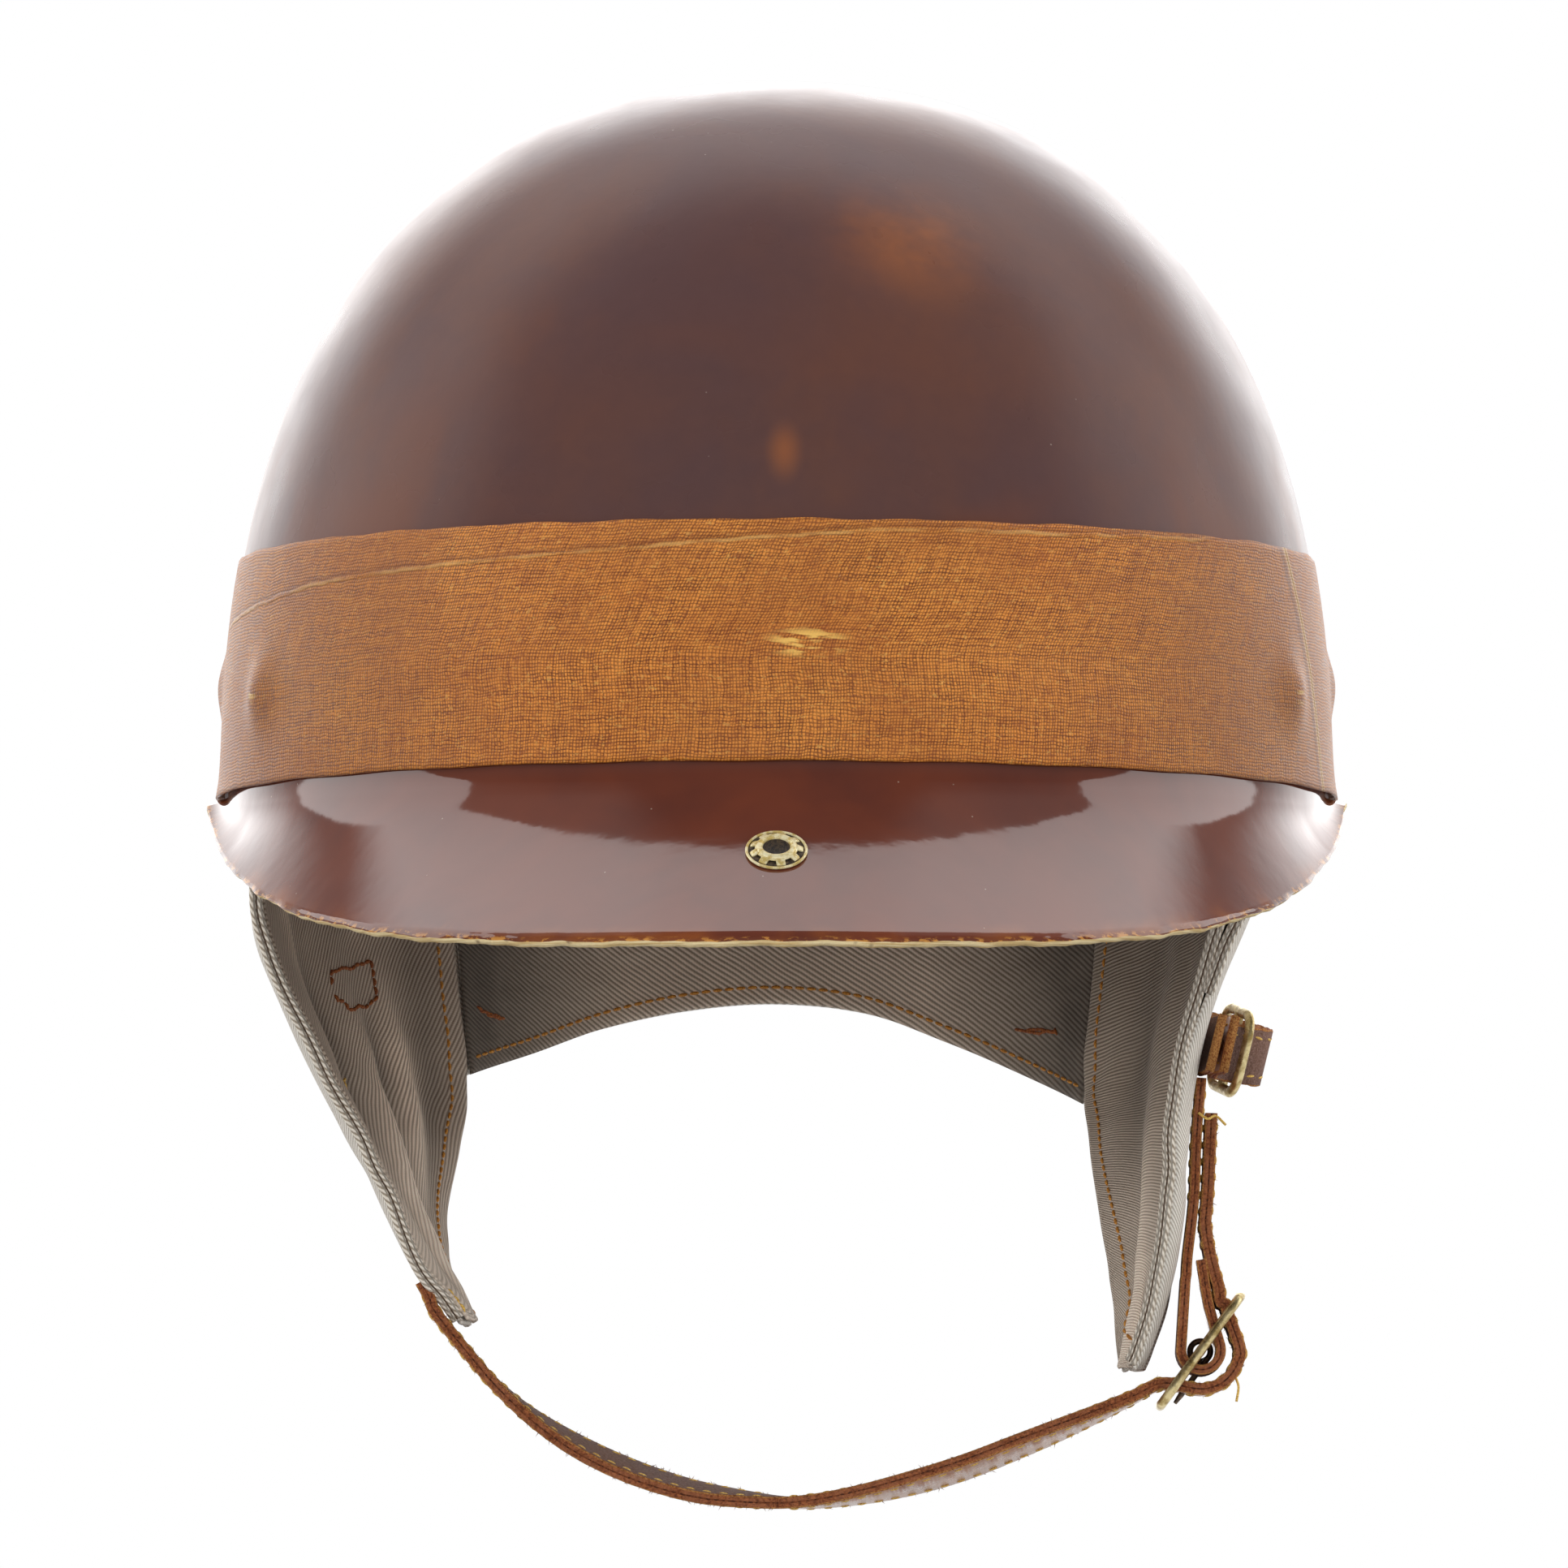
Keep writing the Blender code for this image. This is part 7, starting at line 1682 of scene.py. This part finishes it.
def build_nape(finish_of):
    """The nape strap, its chape and buckle on the left flap, and the two loops on the curtain."""
    centre, pull, out, bar, rear, away = nape_axes()
    loop = PIN + COIL_CLEAR + 2 * WIRE + GAP + NAPE_WALL / 2
    stand = CLOTH_OUTER / 2 + NAPE_WALL / 2 + 2 * CLEAR

    def beside(y):
        near = NAPE_WIDTH / 4
        return max(flap_reach("left", y - near, y + near, centre[2] + part * NAPE_WIDTH * bar[2])
                   - part * NAPE_WIDTH * bar[0] for part in (-0.5, -0.25, 0.0, 0.25, 0.5))
    lap = [np.array([beside(centre[1] - 0.030 * s) + stand, centre[1] - 0.030 * s, centre[2]])
           for s in (1.0, 0.85, 0.69, 0.54, 0.38)]
    bends = np.radians(np.linspace(185, -35, 28))[:, None]
    around = centre + loop * (away * np.cos(bends) + rear * np.sin(bends))
    leave = away * math.sin(bends[-1, 0]) - rear * math.cos(bends[-1, 0])
    line = np.vstack([smooth_curve(lap + [around[0]], 40)[:-1], around, around[-1] + leave * NAPE_WALL])
    chape = strap_piece("nape_chape_leather", line, bar, NAPE_WIDTH, NAPE_WALL, finish_of)
    outer = loop + NAPE_WALL / 2 + GAP
    slot_cut(chape, centre, pull, out, bar, TONGUE_SWEEP, PIN, outer, TONGUE_SLOT)
    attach(chape, "left_side")
    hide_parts("nape_chape")

    over = outer + NAPE_WALL / 2 + CLEAR
    half = NAPE_BUCKLE[0] / 2
    clear = BUCKLE_BAR / 2 + NAPE_WALL / 2 + CLEAR
    bends = np.radians(np.linspace(56, -40, 7))
    weave = [centre + pull * half * 0.90 - away * clear * 1.72]
    weave += [centre + over * (away * math.cos(b) + rear * math.sin(b)) for b in bends]
    weave.append(centre - pull * half - away * clear * 1.72)
    billet = [lap[k] + [NAPE_WALL + 2 * CLEAR, 0, 0] for k in (3, 2, 1)]
    route, widths = nape_line(np.linspace(0, 1, 28))
    ends = np.tile(bar, (len(weave) + len(billet), 1))
    table = np.hstack([np.vstack([route, weave, billet]), np.vstack([widths, ends]) * NAPE_WIDTH])
    table = smooth_curve(table, 420)
    middle = int(np.argmin(np.abs(table[:, 0]) + 10 * (table[:, 1] < 0.08)))
    for label, rows, bodies, span in (
            ("right", slice(0, middle + 1), ("right_side", "helmet"),
             ((-0.078, 0.09, 0.0), (-0.030, 0.115, 0.0))),
            ("left", slice(middle, None), ("helmet", "left_side"), ((0.030, 0.115, 0.0), (0.078, 0.09, 0.0)))):
        path, wide = table[rows, :3], table[rows, 3:]
        strap = strap_piece(f"nape_strap_{label}_half", path, wide, NAPE_WIDTH, NAPE_WALL, finish_of)
        if label == "left":
            slot_cut(strap, centre, pull, out, bar, PIN_SWEEP, PIN, half, PIN_SLOT)
        sewn = strap_threads(f"nape_strap_{label}_threads", path, wide, NAPE_WIDTH, NAPE_WALL, finish_of)
        for piece in (strap, sewn):
            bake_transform(piece)
        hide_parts("nape_strap")
    build_buckle("nape", centre, pull, out, bar, *NAPE_BUCKLE, finish_of)

    for name, share in (("nape_loop_right", 0.36), ("nape_loop_left", 0.64)):
        (spot, ahead), (up, _) = nape_line([share, share + 0.01])
        along = unit(ahead - spot)
        facing = np.cross(along, up)
        facing = facing if facing[1] > 0 else -facing
        half_wall = NAPE_WALL / 2 + CLEAR + 0.0005
        half_width = NAPE_WIDTH / 2 + 2 * CLEAR + 0.0005
        low = -(stand + CURTAIN_WAVE - CLOTH_OUTER / 2 - 0.0005 - GAP)
        ends = ((half_width + 0.002, low), (half_width, half_wall * 0.4), (half_width * 0.9, half_wall))
        outline = list(ends) + [(-u, v) for u, v in reversed(ends)]
        path = smooth_curve([spot + up * u + facing * v for u, v in outline], 40)
        piece = strap_piece(f"{name}_leather", path, along, 0.007, 0.0010, finish_of)
        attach(piece, "helmet")
        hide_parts(name)


# Harness inside the shell

def build_inside(finish_of):
    """Cork lining, hanger tape, sweatband, cradle tapes and crown cord, each as the part has them."""
    angles = np.arange(0, 360, 3.0)
    near, far = SHELL_WALL + CORK_NEAR, SHELL_WALL + CORK_FAR
    rings = [shell_points(angles, h, far) for h in dome_heights(far, 0.036, 26)[::-1]]
    rings += [shell_points(angles, h, near) for h in dome_heights(near, 0.036, 20)]
    rings = np.array(rings)
    cork = new_piece("cork_dome", rings, quads(*rings.shape[:2], wrap_columns=True), [finish_of["cork"]])
    close_poles(cork)
    turn, rise = np.meshgrid(np.arange(0, 360, 1.5), np.linspace(0.0004, 0.030, 14))
    hanger = cloth_piece("webbing_hanger", shell_points(turn, rise, HANGER_INSET + HANGER_WALL / 2),
                         HANGER_WALL, [finish_of["webbing"]], ring=True)
    share = np.linspace(0, 1, 16)[:, None]
    inset = 0.0083 + 0.0165 * np.sin(share * math.pi / 2) ** 1.3
    inset = np.where(share == 0, HANGER_INSET + HANGER_WALL + 2 * GAP, inset) + 0.0007
    turn = np.arange(0, 360, 2.0)[None]
    flat = np.stack(np.broadcast_arrays((SHELL_A - inset) * np.sin(np.radians(turn)),
                                        -(SHELL_B - inset) * np.cos(np.radians(turn)),
                                        0.0012 + 0.036 * share), axis=-1)
    sweat = cloth_piece("leather_sweatband", flat, 0.0014, [finish_of["leather"], finish_of["suede"]],
                        ring=True)
    for piece, node, slot in ((cork, "cork_lining", "cork"), (hanger, "hanger_tape", "tape"),
                              (sweat, "sweatband", "leather")):
        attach(piece, "helmet")
        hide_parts(node)
    build_tapes(finish_of)


def build_tapes(finish_of):
    """Eight tapes from the rivets up to loops round the crown cord, and the cord itself."""
    loop = CORD_RADIUS + CORD_SLACK + TAPE_WALL / 2
    for number, (angle, height) in enumerate(zip(RIVET_ANGLES, RIVET_HEIGHTS), 1):
        point = shell_points(angle, height, 0.0)
        up = unit(shell_points(angle, height + 0.0048, 0.0) - point)
        side = unit([-point[1] / SHELL_B**2, point[0] / SHELL_A**2, 0.0])
        out = np.cross(side, up)
        mid = point - out * (TAPE_INSET + TAPE_WALL / 2)
        foot, above = mid - up * 0.008, mid + up * 0.0048
        upper = 45.0 * (number - 1)
        turns = wrapped(angle) + wrapped(upper - angle) * np.linspace(0, 1, 6)
        route = [[*plan_point(turn, SHELL_A * r, SHELL_B * r), SHELL_H * h] for turn, h, r in
                 zip(turns, (0.243, 0.31, 0.427, 0.569, 0.676, 0.727),
                     (0.835, 0.800, 0.755, 0.650, 0.48, 0.31))]
        centre = np.append(plan_point(upper, CORD_RING_A, CORD_RING_B), CORD_HEIGHT)
        radial = unit([centre[0], centre[1], 0.0])
        line = smooth_curve([above] + route + [centre + [0, 0, loop]], 60)
        line = np.vstack([foot, (foot + mid) / 2, mid, (mid + above) / 2, line])
        bends = np.radians(np.linspace(0, 250, 22)[1:])[:, None]
        curl = centre - radial * loop * np.sin(bends) + np.array([0, 0, 1.0]) * loop * np.cos(bends)
        count = len(line)
        line = np.vstack([line, curl])
        outwards = np.vstack([unit(line[:count] * [1, 1, 0]), np.tile(radial, (len(curl), 1))])
        across = unit(np.cross([0, 0, 1], outwards))
        blend = np.clip((np.arange(len(line)) - 6) / (count - 8), 0, 1)[:, None]
        across = unit(side * (1 - blend) + across * blend)
        half = (0.011 + (0.007 - 0.011) * blend) / 2
        edge = np.array([(1, -0.5), (1, 0.5), (0.5, 0.62), (-0.5, 0.62), (-1, 0.5), (-1, -0.5), (-0.5, -0.62),
                         (0.5, -0.62)])
        profile = np.stack([edge[None, :, 0] * half, np.broadcast_to(edge[None, :, 1] * TAPE_WALL * 0.85,
                                                                     (len(line), 8))], axis=-1)
        tape = sweep(f"cradle_webbing_{number}", line, across, profile, [finish_of["webbing"]])
        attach(tape, "helmet")
        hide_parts(f"cradle_tape_{number}")
    turns = np.linspace(0, 360, 96, endpoint=False)
    ring = np.column_stack([plan_point(turns, CORD_RING_A, CORD_RING_B), np.full(96, CORD_HEIGHT)])
    cord = sweep("crown_cord_ring", ring, [0, 0, 1.0], circle(CORD_RADIUS, 12), [finish_of["webbing"]],
                 closed=True)
    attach(cord, "helmet")
    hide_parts("crown_cord")


def build_object():
    build_groups()
    finish_of = build_finishes()
    build_studio()
    build_shell(finish_of)
    build_band(finish_of)
    build_eyelet(finish_of, *build_peak(finish_of))
    build_inside(finish_of)
    for side in ("right", "left"):
        build_flap(side, finish_of)
    build_curtain(finish_of)
    build_chin(finish_of)
    build_nape(finish_of)
    for number in range(1, 9):
        for node in (f"rivet_{number}", f"rivet_washer_{number}"):
            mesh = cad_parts[node].data
            mesh.materials.clear()
            mesh.materials.append(finish_of["brass"])


build_object()
